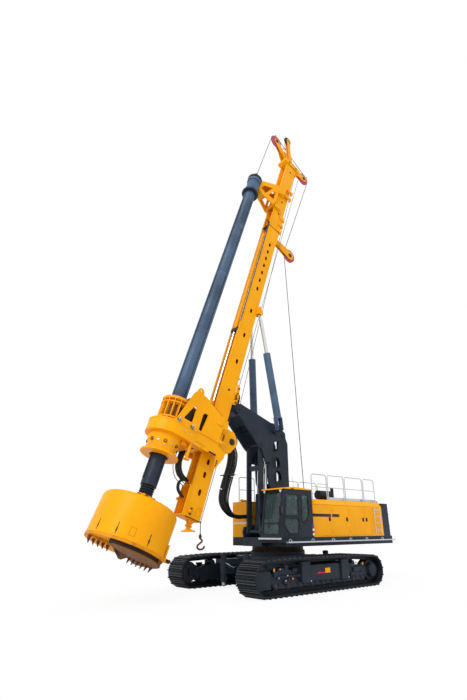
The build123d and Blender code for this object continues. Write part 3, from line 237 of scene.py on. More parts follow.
class Tone(Enum):
    """Colours of the machine, as they look in plain light, and one darker kelly blue for painted shade."""

    YELLOW = "F7A705"
    YELLOW_DEEP = "E08F06"
    SLATE = "28303B"
    SLATE_DEEP = "1C222A"
    KELLY = "4A5F78"
    # painted shade: the kelly's blue darkened for the bar's lower part, which lies in shade under the drive
    KELLY_PAINTED_SHADE = "28323F"
    KELLY_DEEP = "263241"
    BLACK = "17191D"
    RUBBER = "101215"
    SILVER = "BFC5CA"
    CHROME = "D6DADC"
    STEEL = "3A3B3D"
    TRACK = "1F242A"
    RUST = "6E4526"
    DUST = "8C7A62"
    GREASE = "2A1F16"
    GLASS = "7F9C9E"
    ROSE = "B04A66"
    RED = "C22026"
    WHITE = "E9ECEE"
    SEAT = "22262C"
    AMBER = "F08A10"
    WORN = "454A50"
    PRIMER = "8E3B22"
    HOOK = "4A2222"
    SCOOP = "7A4A14"
    BLUE = "2450A8"
    LINING = "6E7478"
    FLOOR = "F2F2F1"

    @property
    def rgba(self) -> tuple[float, float, float, float]:
        """The colour in linear light.

        Returns:
            Red, green, blue and 1.
        """
        parts = [int(self.value[i : i + 2], 16) / 255 for i in (0, 2, 4)]
        return (*[c / 12.92 if c <= 0.04045 else ((c + 0.055) / 1.055) ** 2.4 for c in parts], 1.0)


class Nodes:
    """A small wiring helper for one material."""

    def __init__(self, name: str) -> None:
        """Makes an empty material with its output.

        Args:
            name: the material's name.
        """
        self.material = bpy.data.materials.new(name)
        self.material.use_nodes = True
        self.tree = self.material.node_tree
        self.tree.nodes.clear()
        self.output = self.add("ShaderNodeOutputMaterial")
        self.place = self.add("ShaderNodeTexCoord")

    def add(self, kind: str, **values: object) -> bpy.types.Node:
        """Adds a node.

        Args:
            kind: the node's type.
            values: properties of the node, or values of its sockets by name.

        Returns:
            The new node.
        """
        node = self.tree.nodes.new(kind)
        for key, value in values.items():
            if hasattr(node, key):
                setattr(node, key, value)
            else:
                node.inputs[key.replace("_", " ")].default_value = value
        return node

    def link(self, source: bpy.types.NodeSocket, target: bpy.types.NodeSocket) -> None:
        """Joins two sockets.

        Args:
            source: an output.
            target: an input.
        """
        self.tree.links.new(source, target)

    def noise(self, scale: float, detail: float = 4.0, stretch: tuple[float, float, float] = (1, 1,
            1)) -> bpy.types.NodeSocket:
        """A noise pattern in the piece's own place, stretched along the axes.

        Args:
            scale: how fine it is.
            detail: how many finer layers it has.
            stretch: scale along each axis.

        Returns:
            The pattern's output.
        """
        mapping = self.add("ShaderNodeMapping", Scale=stretch)
        pattern = self.add("ShaderNodeTexNoise", Scale=scale, Detail=detail, Roughness=0.6)
        self.link(self.place.outputs["Object"], mapping.inputs["Vector"])
        self.link(mapping.outputs["Vector"], pattern.inputs["Vector"])
        return pattern.outputs["Fac"]

    def band(self, source: bpy.types.NodeSocket, low: float, high: float, to: float = 1.0) -> bpy.types.NodeSocket:
        """A mask that rises from 0 at low to a top value at high.

        Args:
            source: the pattern.
            low: where the mask starts.
            high: where it is full.
            to: its top value.

        Returns:
            The mask's output.
        """
        ramp = self.add("ShaderNodeMapRange", interpolation_type="SMOOTHSTEP")
        for name, value in (("From Min", low), ("From Max", high), ("To Min", 0.0), ("To Max", to)):
            ramp.inputs[name].default_value = value
        self.link(source, ramp.inputs["Value"])
        return ramp.outputs["Result"]

    def spread(self, source: bpy.types.NodeSocket, low: float, high: float) -> bpy.types.NodeSocket:
        """The same pattern, spread over another range of values.

        Args:
            source: the pattern.
            low: the new lowest value.
            high: the new highest value.

        Returns:
            The new output.
        """
        ramp = self.add("ShaderNodeMapRange")
        for name, value in (("From Min", 0.3), ("From Max", 0.7), ("To Min", low), ("To Max", high)):
            ramp.inputs[name].default_value = value
        self.link(source, ramp.inputs["Value"])
        return ramp.outputs["Result"]

    def blend(self, mask: bpy.types.NodeSocket, below: object, above: object) -> bpy.types.NodeSocket:
        """One colour over another, by a mask.

        Args:
            mask: where the upper colour shows.
            below: a colour, or the output of one.
            above: a colour, or the output of one.

        Returns:
            The mixed colour's output.
        """
        mix = self.add("ShaderNodeMix", data_type="RGBA")
        self.link(mask, mix.inputs["Factor"])
        for socket, value in ((mix.inputs[6], below), (mix.inputs[7], above)):
            if isinstance(value, bpy.types.NodeSocket):
                self.link(value, socket)
            else:
                socket.default_value = value
        return mix.outputs[2]

    def bump(self, height: bpy.types.NodeSocket, strength: float, depth: float) -> bpy.types.NodeSocket:
        """A surface relief.

        Args:
            height: the pattern.
            strength: how strong it is, 0 to 1.
            depth: its depth in metres.

        Returns:
            The normal's output.
        """
        node = self.add("ShaderNodeBump", Strength=strength, Distance=depth)
        self.link(height, node.inputs["Height"])
        return node.outputs["Normal"]


@dataclass(frozen=True)
class Finish:
    """A painted, plated or bare surface with its tone changes, dust, chips and relief."""

    name: str
    tone: Tone
    slot: str
    roughness: float = 0.4
    metallic: float = 0.0
    specular: float = 0.22
    second: Tone | None = None
    shading: float = 0.5
    dust: float = 0.2
    dust_tone: Tone = Tone.DUST
    chips: float = 0.0
    chip_tone: Tone = Tone.STEEL
    grain: float = 0.15
    grain_scale: float = 60.0
    coat: float = 0.0

    def material(self) -> bpy.types.Material:
        """The finish as a material, made once.

        Returns:
            The material.
        """
        if self.name in bpy.data.materials:
            return bpy.data.materials[self.name]
        n = Nodes(self.name)
        shader = n.add("ShaderNodeBsdfPrincipled", Metallic=self.metallic, Coat_Weight=self.coat, Coat_Roughness=0.15)
        shader.inputs["Specular IOR Level"].default_value = self.specular
        slow, fine = n.noise(0.7, 3.0), n.noise(7.0, 6.0)
        second = (self.second or self.tone).rgba
        darker = tuple(c * (1.0 - 0.28 * self.shading) for c in second[:3]) + (1.0,)
        colour = n.blend(n.band(slow, 0.35, 0.75, self.shading), self.tone.rgba, darker)
        if self.dust:
            patches = n.noise(2.3, 7.0, (1.0, 1.0, 0.45))
            colour = n.blend(n.band(patches, 0.52, 0.78, self.dust), colour, self.dust_tone.rgba)
        if self.chips:
            flecks = n.noise(26.0, 8.0, (1.0, 1.0, 0.35))
            colour = n.blend(n.band(flecks, 0.66, 0.72, self.chips), colour, self.chip_tone.rgba)
        n.link(colour, shader.inputs["Base Color"])
        n.link(n.spread(fine, self.roughness * 0.82, min(1.0, self.roughness * 1.25)), shader.inputs["Roughness"])
        relief = n.noise(self.grain_scale, 5.0)
        n.link(n.bump(relief, self.grain, 0.004), shader.inputs["Normal"])
        n.link(shader.outputs["BSDF"], n.output.inputs["Surface"])
        return n.material


@dataclass(frozen=True)
class DiggingFinish:
    """Paint that has worn to bare brown steel towards the cutting edge."""

    name: str = "digging_edge_paint"
    slot: str = "yellow"
    edge_s: float = -0.82
    fade: float = 0.1

    def material(self) -> bpy.types.Material:
        """The finish as a material, made once.

        Returns:
            The material.
        """
        if self.name in bpy.data.materials:
            return bpy.data.materials[self.name]
        n = Nodes(self.name)
        shader = n.add("ShaderNodeBsdfPrincipled", Metallic=0.1, Roughness=0.6)
        shader.inputs["Specular IOR Level"].default_value = 0.2
        height = n.add("ShaderNodeVectorMath", operation="DOT_PRODUCT")
        height.inputs[1].default_value = tuple(MAST.up)
        n.link(n.place.outputs["Object"], height.inputs[0])
        ragged = n.noise(5.0, 6.0)
        level = n.add("ShaderNodeMath", operation="MULTIPLY_ADD")
        level.inputs[1].default_value = 0.16
        n.link(ragged, level.inputs[0])
        n.link(height.outputs["Value"], level.inputs[2])
        paint = n.blend(n.band(n.noise(2.2, 6.0), 0.45, 0.7, 0.55), Tone.YELLOW_DEEP.rgba, Tone.RUST.rgba)
        bare = n.blend(n.band(n.noise(9.0, 7.0), 0.4, 0.65), Tone.RUST.rgba, Tone.GREASE.rgba)
        colour = n.blend(n.band(level.outputs[0], self.edge_s, self.edge_s + self.fade), bare, paint)
        n.link(colour, shader.inputs["Base Color"])
        n.link(n.spread(n.noise(14.0, 6.0), 0.5, 0.75), shader.inputs["Roughness"])
        n.link(n.bump(n.noise(40.0, 6.0), 0.5, 0.004), shader.inputs["Normal"])
        n.link(shader.outputs["BSDF"], n.output.inputs["Surface"])
        return n.material


@dataclass(frozen=True)
class Pane:
    """Tinted window glass with a faint film of dust."""

    name: str = "tinted_pane"
    tone: Tone = Tone.GLASS
    slot: str = "glass"

    def material(self) -> bpy.types.Material:
        """The glass as a material, made once.

        Returns:
            The material.
        """
        if self.name in bpy.data.materials:
            return bpy.data.materials[self.name]
        n = Nodes(self.name)
        shader = n.add("ShaderNodeBsdfPrincipled", Roughness=0.04, IOR=1.3, Transmission_Weight=0.88)
        film = n.noise(3.0, 5.0)
        n.link(n.blend(n.band(film, 0.45, 0.8, 0.35), self.tone.rgba, Tone.WHITE.rgba), shader.inputs["Base Color"])
        n.link(n.spread(film, 0.02, 0.12), shader.inputs["Roughness"])
        n.link(shader.outputs["BSDF"], n.output.inputs["Surface"])
        return n.material


Surface = Finish | DiggingFinish | Pane


class Coat:
    """The machine's finishes by name."""

    YELLOW = Finish("warm_yellow_paint", Tone.YELLOW, "yellow", 0.38, specular=0.12, second=Tone.YELLOW_DEEP,
                    shading=0.35,
                    dust=0.08, dust_tone=Tone.YELLOW_DEEP, chips=0.2, chip_tone=Tone.RUST, grain=0.06)
    SLATE = Finish("slate_paint", Tone.SLATE, "slate", 0.42, specular=0.14, second=Tone.SLATE_DEEP, shading=0.7,
                   dust=0.07,
                   chips=0.2, chip_tone=Tone.STEEL, grain=0.1)
    KELLY = Finish("blue_grey_paint", Tone.KELLY, "kelly_blue", 0.4, specular=0.2, second=Tone.KELLY_DEEP,
                   shading=0.6, dust=0.07,
                   chips=0.3, chip_tone=Tone.STEEL, grain=0.14)
    # Painted shade: a darker copy of the kelly's paint for the bar's lower part, which lies in shade.
    KELLY_PAINTED_SHADE = Finish("shaded_kelly_paint", Tone.KELLY_PAINTED_SHADE, "kelly_blue", 0.4, specular=0.2, second=Tone.SLATE_DEEP,
                       shading=0.5, dust=0.07,
                       chips=0.3, chip_tone=Tone.STEEL, grain=0.14)
    BLACK = Finish("black_paint", Tone.BLACK, "black", 0.5, specular=0.2, shading=0.5, dust=0.1, grain=0.15)
    RUBBER = Finish("hose_rubber", Tone.RUBBER, "black", 0.42, specular=0.35, shading=0.3, dust=0.08, grain=0.2,
                    grain_scale=140.0)
    SILVER = Finish("galvanised_steel", Tone.SILVER, "silver", 0.34, 0.7, specular=0.4, shading=0.3, dust=0.08,
                    grain=0.1, grain_scale=25.0)
    CHROME = Finish("chrome_rod", Tone.CHROME, "chrome", 0.13, 1.0, specular=0.5, shading=0.15, dust=0.04, grain=0.02,
                    grain_scale=200.0)
    STEEL = Finish("dark_cast_steel", Tone.STEEL, "steel", 0.6, 0.45, shading=0.6, dust=0.2, chips=0.4,
                   chip_tone=Tone.RUST,
                   grain=0.4, grain_scale=45.0)
    TRACK = Finish("track_shoe_steel", Tone.TRACK, "steel", 0.5, 0.2, specular=0.15, shading=0.7, dust=0.14,
                   dust_tone=Tone.RUST,
                   chips=0.5, chip_tone=Tone.STEEL, grain=0.35, grain_scale=40.0)
    WORN = Finish("worn_grouser_steel", Tone.WORN, "steel", 0.45, 0.5, specular=0.3, shading=0.5, dust=0.3,
                  dust_tone=Tone.RUST,
                  chips=0.4, chip_tone=Tone.TRACK, grain=0.3, grain_scale=50.0)
    GEAR = Finish("oiled_ring_gear", Tone.RUST, "steel", 0.5, 0.4, second=Tone.GREASE, shading=1.0, dust=0.4,
                  dust_tone=Tone.GREASE,
                  chips=0.4, chip_tone=Tone.STEEL, grain=0.3, grain_scale=45.0)
    RUST = Finish("worn_digging_steel", Tone.RUST, "steel", 0.62, 0.3, second=Tone.GREASE, shading=0.9, dust=0.3,
                  dust_tone=Tone.GREASE, chips=0.5, chip_tone=Tone.STEEL, grain=0.5, grain_scale=35.0)
    PRIMER = Finish("red_oxide_primer", Tone.PRIMER, "red", 0.6, shading=0.5, dust=0.25, dust_tone=Tone.RUST,
                    grain=0.2)
    ROSE = Finish("rose_sheave_nylon", Tone.ROSE, "red", 0.45, shading=0.5, dust=0.35, dust_tone=Tone.GREASE,
                  grain=0.1)
    RED = Finish("red_lacquer", Tone.RED, "red", 0.4, shading=0.3, dust=0.08, grain=0.06)
    WHITE = Finish("white_lacquer", Tone.WHITE, "silver", 0.4, shading=0.3, dust=0.1, grain=0.06)
    BLUE = Finish("blue_lacquer", Tone.BLUE, "kelly_blue", 0.4, shading=0.3, dust=0.08, grain=0.06)
    AMBER = Finish("amber_lens", Tone.AMBER, "red", 0.18, specular=0.5, shading=0.3, dust=0.05, grain=0.05, coat=0.6)
    SEAT = Finish("woven_seat_cloth", Tone.SEAT, "seat", 0.85, shading=0.4, dust=0.15, grain=0.6, grain_scale=260.0)
    LINING = Finish("cab_lining_felt", Tone.LINING, "seat", 0.8, shading=0.4, dust=0.15, grain=0.4, grain_scale=160.0)
    SCOOP = Finish("scoop_plate", Tone.SCOOP, "steel", 0.6, 0.1, second=Tone.RUST, shading=0.6, dust=0.25,
                   dust_tone=Tone.GREASE, chips=0.2, grain=0.4, grain_scale=35.0)
    HOOK = Finish("dark_red_hook", Tone.HOOK, "red", 0.5, second=Tone.GREASE, shading=0.7, dust=0.2,
                  dust_tone=Tone.RUST, chips=0.3, grain=0.2)
    # Real grease on the slew ring; the same dark colour also fills slots and openings as painted shade.
    GREASED_AND_SHADE = Finish("greased_steel", Tone.GREASE, "steel", 0.5, 0.3, shading=0.6, dust=0.2, dust_tone=Tone.RUST,
                     grain=0.3, grain_scale=45.0)
    WORN_LINE = Finish("worn_orange_line", Tone.RUST, "yellow", 0.6, second=Tone.YELLOW_DEEP, shading=0.8, dust=0.3,
                       dust_tone=Tone.YELLOW_DEEP, grain=0.2)
    DIGGING = DiggingFinish()
    GLASS = Pane()


def coat_cad(finish: Surface, *nodes: str) -> None:
    """Gives CAD nodes a finish.

    Args:
        finish: the finish.
        nodes: names of the nodes.
    """
    for name in nodes:
        piece = FRAME["nodes"][name]
        piece.data.materials.clear()
        piece.data.materials.append(finish.material())


# ---------------------------------------------------------------- shaping


class Sculpt:
    """One piece under construction, shaped with bmesh operators."""

    def __init__(self, name: str) -> None:
        """Starts an empty piece.

        Args:
            name: the piece's name.
        """
        self.name = name
        self.bm = bmesh.new()

    def _soften(self, edges: list, offset: float, segments: int) -> None:
        """Rounds a set of edges.

        Args:
            edges: the edges.
            offset: how far they are rounded.
            segments: steps of the rounding.
        """
        if offset > 0:
            bmesh.ops.bevel(self.bm, geom=edges, offset=offset, segments=segments, profile=0.5,
                            affect="EDGES", material=-1, clamp_overlap=True)

    def slab(self, centre: Vector, size: tuple[float, float, float], axes: Matrix | None = None,
             edge: float = 0.008, segments: int = 2) -> "Sculpt":
        """Adds a block with rounded edges.

        Args:
            centre: its middle.
            size: its length along each of its axes.
            axes: its turn, none for the machine's own axes.
            edge: how far the edges are rounded.
            segments: steps of the rounding.

        Returns:
            The piece itself.
        """
        turn = (axes or Matrix.Identity(3)).to_4x4()
        made = bmesh.ops.create_cube(self.bm, size=1.0,
                                     matrix=Matrix.Translation(centre) @ turn @ Matrix.Diagonal((*size, 1.0)))
        edges = list({e for v in made["verts"] for e in v.link_edges})
        self._soften(edges, min(edge, min(size) * 0.4), segments)
        return self

    def bar(self, start: Vector, end: Vector, radius: float, tip: float | None = None, sides: int = 24,
            edge: float = 0.0) -> "Sculpt":
        """Adds a round bar, or a cone where the tip's radius differs.

        Args:
            start: middle of its first end.
            end: middle of its last end.
            radius: radius at the start.
            tip: radius at the end, none for the same.
            sides: faces round it.
            edge: how far its end edges are rounded.

        Returns:
            The piece itself.
        """
        run = end - start
        turn = run.to_track_quat("Z", "Y").to_matrix().to_4x4()
        made = bmesh.ops.create_cone(self.bm, cap_ends=True, segments=sides, radius1=radius,
                                     radius2=radius if tip is None else tip, depth=run.length,
                                     matrix=Matrix.Translation((start + end) / 2) @ turn)
        rims = [e for e in {e for v in made["verts"] for e in v.link_edges}
                if any(len(f.verts) > 4 for f in e.link_faces) or sides == 4]
        self._soften(rims, edge, 2)
        return self

    def turned(self, origin: Vector, axis: Vector, profile: list[tuple[float, float]], steps: int = 40) -> "Sculpt":
        """Adds a form turned about an axis.

        Args:
            origin: a point of the axis.
            axis: direction of the axis.
            profile: (radius, height along the axis) of each corner.
            steps: faces round it.

        Returns:
            The piece itself.
        """
        side = axis.orthogonal().normalized()
        verts = [self.bm.verts.new(origin + side * r + axis * h) for r, h in profile]
        edges = [self.bm.edges.new(pair) for pair in zip(verts, verts[1:])]
        bmesh.ops.spin(self.bm, geom=verts + edges, cent=origin, axis=axis, angle=math.tau, steps=steps,
                       use_merge=True, use_duplicate=False)
        return self

    def ring(self, centre: Vector, axis: Vector, radius: float, wire: float, steps: int = 36, sides: int = 8,
             stretch: float = 1.0, along: Vector | None = None) -> "Sculpt":
        """Adds a round ring of wire, which may be drawn out to an oval along one direction.

        Args:
            centre: its middle.
            axis: direction of its axis.
            radius: from its middle to the wire.
            wire: the wire's radius.
            steps: faces along it.
            sides: faces round the wire.
            stretch: how much it is drawn out.
            along: the direction that it is drawn out in.

        Returns:
            The piece itself.
        """
        side = axis.orthogonal().normalized()
        up = axis.cross(side)
        turn = Matrix((side, axis, -up)).transposed().to_4x4()
        made = bmesh.ops.create_circle(self.bm, segments=sides, radius=wire,
                                       matrix=Matrix.Translation(centre + side * radius) @ turn)
        geom = made["verts"] + list({e for v in made["verts"] for e in v.link_edges})
        before = set(self.bm.verts) - set(made["verts"])
        bmesh.ops.spin(self.bm, geom=geom, cent=centre, axis=axis, angle=math.tau, steps=steps, use_merge=True,
                       use_duplicate=False)
        if stretch != 1.0:
            drawn = [v for v in self.bm.verts if v not in before]
            for v in drawn:
                v.co += (along or up) * (v.co - centre).dot(along or up) * (stretch - 1.0)
        return self

    def coil(self, start: Vector, axis: Vector, radius: float, wire: float, turns: int, pitch: float,
             steps: int = 28, sides: int = 6) -> "Sculpt":
        """Adds a rope or spring wound about an axis.

        Args:
            start: a point of the axis, at the first turn.
            axis: direction of the axis.
            radius: from the axis to the rope.
            wire: the rope's radius.
            turns: how many turns it has.
            pitch: distance between turns.
            steps: faces along one turn.
            sides: faces round the rope.

        Returns:
            The piece itself.
        """
        side = axis.orthogonal().normalized()
        turn = Matrix((side, axis, -axis.cross(side))).transposed().to_4x4()
        made = bmesh.ops.create_circle(self.bm, segments=sides, radius=wire,
                                       matrix=Matrix.Translation(start + side * radius) @ turn)
        geom = made["verts"] + list({e for v in made["verts"] for e in v.link_edges})
        bmesh.ops.spin(self.bm, geom=geom, cent=start, axis=axis, dvec=axis * (pitch / steps), angle=math.tau * turns,
                       steps=steps * turns, use_merge=False, use_duplicate=False)
        return self

    def plate(self, corners: list[Vector], thick: Vector, edge: float = 0.004) -> "Sculpt":
        """Adds a flat plate from its outline and its thickness as a direction.

        Args:
            corners: its outline in order.
            thick: its thickness as a direction.
            edge: how far the edges are rounded.

        Returns:
            The piece itself.
        """
        face = self.bm.faces.new([self.bm.verts.new(c) for c in corners])
        made = bmesh.ops.extrude_face_region(self.bm, geom=[face])
        moved = [g for g in made["geom"] if isinstance(g, bmesh.types.BMVert)]
        bmesh.ops.translate(self.bm, verts=moved, vec=thick)
        faces = {face} | {f for v in moved for f in v.link_faces}
        self._soften(list({e for f in faces for e in f.edges}), edge, 1)
        return self

    def cutout(self, outline: list[Vector], holes: list[list[Vector]], thick: Vector) -> "Sculpt":
        """Adds a flat plate with openings.

        Args:
            outline: its corners in order.
            holes: the corners of each opening.
            thick: its thickness as a direction.

        Returns:
            The piece itself.
        """
        edges = []
        for loop in (outline, *holes):
            verts = [self.bm.verts.new(c) for c in loop]
            edges += [self.bm.edges.new(pair) for pair in zip(verts, verts[1:] + verts[:1])]
        made = bmesh.ops.triangle_fill(self.bm, use_beauty=True, use_dissolve=False, edges=edges,
                                       normal=thick.normalized())
        faces = [g for g in made["geom"] if isinstance(g, bmesh.types.BMFace)]
        grown = bmesh.ops.extrude_face_region(self.bm, geom=faces)
        moved = [g for g in grown["geom"] if isinstance(g, bmesh.types.BMVert)]
        bmesh.ops.translate(self.bm, verts=moved, vec=thick)
        return self

    def bolts(self, places: list[Vector], axis: Vector, across: float = 0.03, tall: float = 0.018) -> "Sculpt":
        """Adds hexagon bolt heads on washers.

        Args:
            places: where the washers sit.
            axis: the direction that the heads point in.
            across: width of a head.
            tall: height of a head.

        Returns:
            The piece itself.
        """
        for place in places:
            self.bar(place, place + axis * tall * 0.35, across * 0.72, sides=12)
            self.bar(place + axis * tall * 0.3, place + axis * tall, across * 0.5, across * 0.44, sides=6)
        return self

    def block(self, q: float, y: float, s: float, size: tuple[float, float, float], edge: float = 0.008,
              segments: int = 2) -> "Sculpt":
        """Adds a block that lies along the mast.

        Args:
            q: its middle's distance forward.
            y: its middle's distance across.
            s: its middle's distance up.
            size: its length forward, across and up.
            edge: how far the edges are rounded.
            segments: steps of the rounding.

        Returns:
            The piece itself.
        """
        return self.slab(MAST.at(q, y, s), size, MAST.axes, edge, segments)

    def rod(self, q: float, ys: tuple[float, float], s: float, radius: float, sides: int = 24,
            edge: float = 0.0) -> "Sculpt":
        """Adds a round bar across the mast.

        Args:
            q: its distance forward.
            ys: where it starts and ends across the mast.
            s: its distance up.
            radius: its radius.
            sides: faces round it.
            edge: how far its end edges are rounded.

        Returns:
            The piece itself.
        """
        return self.bar(MAST.at(q, ys[0], s), MAST.at(q, ys[1], s), radius, sides=sides, edge=edge)

    def mirrored(self) -> "Sculpt":
        """Adds the same shapes on the machine's other side.

        Returns:
            The piece itself.
        """
        geom = self.bm.verts[:] + self.bm.edges[:] + self.bm.faces[:]
        bmesh.ops.mirror(self.bm, geom=geom, matrix=Matrix.Identity(4), merge_dist=-1.0, axis="Y")
        return self

    def done(self, finish: Surface, body: str, angle: float = 35.0) -> bpy.types.Object:
        """Closes the piece, gives it its finish and sets it on its body.

        Args:
            finish: the finish.
            body: name of the body that it moves with.
            angle: edges sharper than this, in degrees, stay sharp.

        Returns:
            The piece.
        """
        bmesh.ops.remove_doubles(self.bm, verts=self.bm.verts, dist=1e-5)
        bmesh.ops.recalc_face_normals(self.bm, faces=self.bm.faces)
        mesh = bpy.data.meshes.new(self.name)
        self.bm.to_mesh(mesh)
        self.bm.free()
        mesh.shade_smooth()
        mesh.set_sharp_from_angle(angle=math.radians(angle))
        return Shop.hand_in(bpy.data.objects.new(self.name, mesh), finish, body)


class Shop:
    """Puts finished pieces on the machine and reports them."""

    count = 0

    @classmethod
    def hand_in(cls, piece: bpy.types.Object, finish: Surface, body: str) -> bpy.types.Object:
        """Links a piece, gives it its finish and lets it ride on its body.

        Args:
            piece: the piece.
            finish: its finish.
            body: name of the body that it moves with.

        Returns:
            The piece.
        """
        bpy.context.scene.collection.objects.link(piece)
        piece.data.materials.clear()
        piece.data.materials.append(finish.material())
        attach(piece, body)
        cls.count += 1
        log.info("%s rides on %s", piece.name, body)
        return piece

    @classmethod
    def line(cls, name: str, points: list[Vector], radius: float, smooth: bool = True) -> bpy.types.Object:
        """A round curve through or along points, not yet handed in.

        Args:
            name: its name.
            points: its points in order.
            radius: its radius.
            smooth: whether it bends softly between the points.

        Returns:
            The curve.
        """
        curve = bpy.data.curves.new(name, "CURVE")
        curve.dimensions = "3D"
        curve.bevel_depth = radius
        curve.bevel_resolution = 2
        curve.resolution_u = 8
        curve.use_fill_caps = True
        spline = curve.splines.new("NURBS" if smooth else "POLY")
        spline.points.add(len(points) - 1)
        for spot, place in zip(spline.points, points):
            spot.co = (*place, 1.0)
        if smooth:
            spline.order_u = 3
            spline.use_endpoint_u = True
        return bpy.data.objects.new(name, curve)

    @classmethod
    def tube(cls, name: str, points: list[Vector], radius: float, finish: Finish, body: str,
             smooth: bool = True) -> bpy.types.Object:
        """A hose, rod or rope that moves with one body.

        Args:
            name: its name.
            points: its points in order.
            radius: its radius.
            finish: its finish.
            body: name of the body that it moves with.
            smooth: whether it bends softly between the points.

        Returns:
            The piece.
        """
        return cls.hand_in(cls.line(name, points, radius, smooth), finish, body)

    @classmethod
    def tubes(cls, name: str, runs: list[list[Vector]], radius: float, finish: Finish) -> bpy.types.Object:
        """Several hoses as one mesh, linked but riding on nothing yet.

        Args:
            name: name of the piece.
            runs: the points of each hose.
            radius: radius of a hose.
            finish: their finish.

        Returns:
            The piece.
        """
        bm = bmesh.new()
        for run in runs:
            made = cls.line("run", run, radius)
            mesh = bpy.data.meshes.new_from_object(made)
            bm.from_mesh(mesh)
            bpy.data.objects.remove(made)
        mesh = bpy.data.meshes.new(name)
        bm.to_mesh(mesh)
        bm.free()
        mesh.shade_smooth()
        piece = bpy.data.objects.new(name, mesh)
        bpy.context.scene.collection.objects.link(piece)
        piece.data.materials.append(finish.material())
        return piece

    @classmethod
    def across_joints(cls, name: str, runs: list[list[Vector]], radius: float, finish: Finish,
                      bodies: list[str], stations: list[Vector]) -> None:
        """Hoses or a rope that cross several joints, cut where one joint hands over to the next.

        Args:
            name: name of the pieces.
            runs: the points of each hose.
            radius: radius of a hose.
            finish: their finish.
            bodies: the chain of bodies, each joined to the next by one joint.
            stations: where each hand-over starts and ends, one more than there are joints.
        """
        for i, (near, far) in enumerate(zip(bodies, bodies[1:])):
            piece = cls.tubes(f"{name}_{i + 1}", runs, radius, finish)
            bm = bmesh.new()
            bm.from_mesh(piece.data)
            for spot, inner, free_end in ((stations[i], stations[i + 1], i == 0),
                                          (stations[i + 1], stations[i], i == len(bodies) - 2)):
                if not free_end:
                    bmesh.ops.bisect_plane(bm, geom=bm.verts[:] + bm.edges[:] + bm.faces[:], plane_co=spot,
                                           plane_no=(spot - inner).normalized(), clear_outer=True)
            bm.to_mesh(piece.data)
            bm.free()
            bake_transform(piece)
            cls.count += 1
            log.info("%s crosses from %s to %s", piece.name, near, far)


# ---------------------------------------------------------------- stage


@dataclass
class Studio:
    """Camera, floor, backdrop and soft light."""

    eye: Vector = field(default_factory=lambda: Vector((15.122, 14.886, 2.150)))
    ahead: Vector = field(default_factory=lambda: Vector((-0.6039, -0.7068, 0.3684)))
    level: Vector = field(default_factory=lambda: Vector((-0.7617, 0.6479, -0.0054)))
    lens: float = 23.44
    floor_half: float = 60.0
    sky: float = 0.85
    sun: float = 1.6

    def camera(self) -> None:
        """Sets the camera."""
        data = bpy.data.cameras.new("camera")
        data.lens, data.sensor_width, data.clip_end = self.lens, 36.0, 400.0
        camera = bpy.data.objects.new("camera", data)
        bpy.context.scene.collection.objects.link(camera)
        back = -self.ahead.normalized()
        right = (self.level - self.level.dot(back) * back).normalized()
        camera.matrix_world = Matrix.Translation(self.eye) @ Matrix((right, back.cross(right),
                back)).transposed().to_4x4()
        bpy.context.scene.camera = camera

    def world(self) -> None:
        """A plain white surround that lights the machine a little below white."""
        world = bpy.data.worlds.new("surround")
        bpy.context.scene.world = world
        world.use_nodes = True
        tree = world.node_tree
        tree.nodes.clear()
        path, lamp, shown = (tree.nodes.new(f"ShaderNode{k}") for k in ("LightPath", "Background", "Background"))
        seen, either, mix, out = (tree.nodes.new(f"ShaderNode{k}") for k in ("Math", "Math", "MixShader",
                "OutputWorld"))
        seen.operation = either.operation = "MAXIMUM"
        lamp.inputs["Color"].default_value = (0.93, 0.96, 1.0, 1.0)
        lamp.inputs["Strength"].default_value = self.sky
        shown.inputs["Color"].default_value = (1.0, 1.0, 1.0, 1.0)
        shown.inputs["Strength"].default_value = 1.0
        tree.links.new(path.outputs["Is Camera Ray"], seen.inputs[0])
        tree.links.new(path.outputs["Is Glossy Ray"], seen.inputs[1])
        tree.links.new(seen.outputs[0], either.inputs[0])
        tree.links.new(path.outputs["Is Transmission Ray"], either.inputs[1])
        tree.links.new(either.outputs[0], mix.inputs["Fac"])
        tree.links.new(lamp.outputs[0], mix.inputs[1])
        tree.links.new(shown.outputs[0], mix.inputs[2])
        tree.links.new(mix.outputs[0], out.inputs["Surface"])

    def floor(self) -> None:
        """A pale floor that shows nearly white and keeps the machine's shadow."""
        bm = bmesh.new()
        bmesh.ops.create_grid(bm, x_segments=4, y_segments=4, size=self.floor_half,
                              matrix=Matrix.Translation((0, 0, -0.004)))
        mesh = bpy.data.meshes.new("floor")
        bm.to_mesh(mesh)
        bm.free()
        floor = bpy.data.objects.new("floor", mesh)
        bpy.context.scene.collection.objects.link(floor)
        n = Nodes("pale_floor")
        matt = n.add("ShaderNodeBsdfDiffuse", Color=Tone.FLOOR.rgba)
        glow = n.add("ShaderNodeEmission", Color=(1.0, 1.0, 1.0, 1.0), Strength=1.0)
        mix, path = n.add("ShaderNodeMixShader"), n.add("ShaderNodeLightPath")
        share = n.add("ShaderNodeMath", operation="MULTIPLY")
        share.inputs[1].default_value = 0.9
        n.link(path.outputs["Is Camera Ray"], share.inputs[0])
        n.link(share.outputs[0], mix.inputs["Fac"])
        n.link(matt.outputs[0], mix.inputs[1])
        n.link(glow.outputs[0], mix.inputs[2])
        n.link(mix.outputs[0], n.output.inputs["Surface"])
        mesh.materials.append(n.material)

    def lamps(self) -> None:
        """One broad soft key from the camera's left."""
        data = bpy.data.lights.new("key", "SUN")
        data.energy, data.angle = self.sun, math.radians(25)
        key = bpy.data.objects.new("key", data)
        bpy.context.scene.collection.objects.link(key)
        key.rotation_euler = Vector((-0.75, -0.35, -0.85)).to_track_quat("-Z", "Y").to_euler()

    def build(self) -> None:
        """Sets the whole stage."""
        view = bpy.context.scene.view_settings
        view.view_transform = "Standard"
        self.camera()
        self.world()
        self.floor()
        self.lamps()


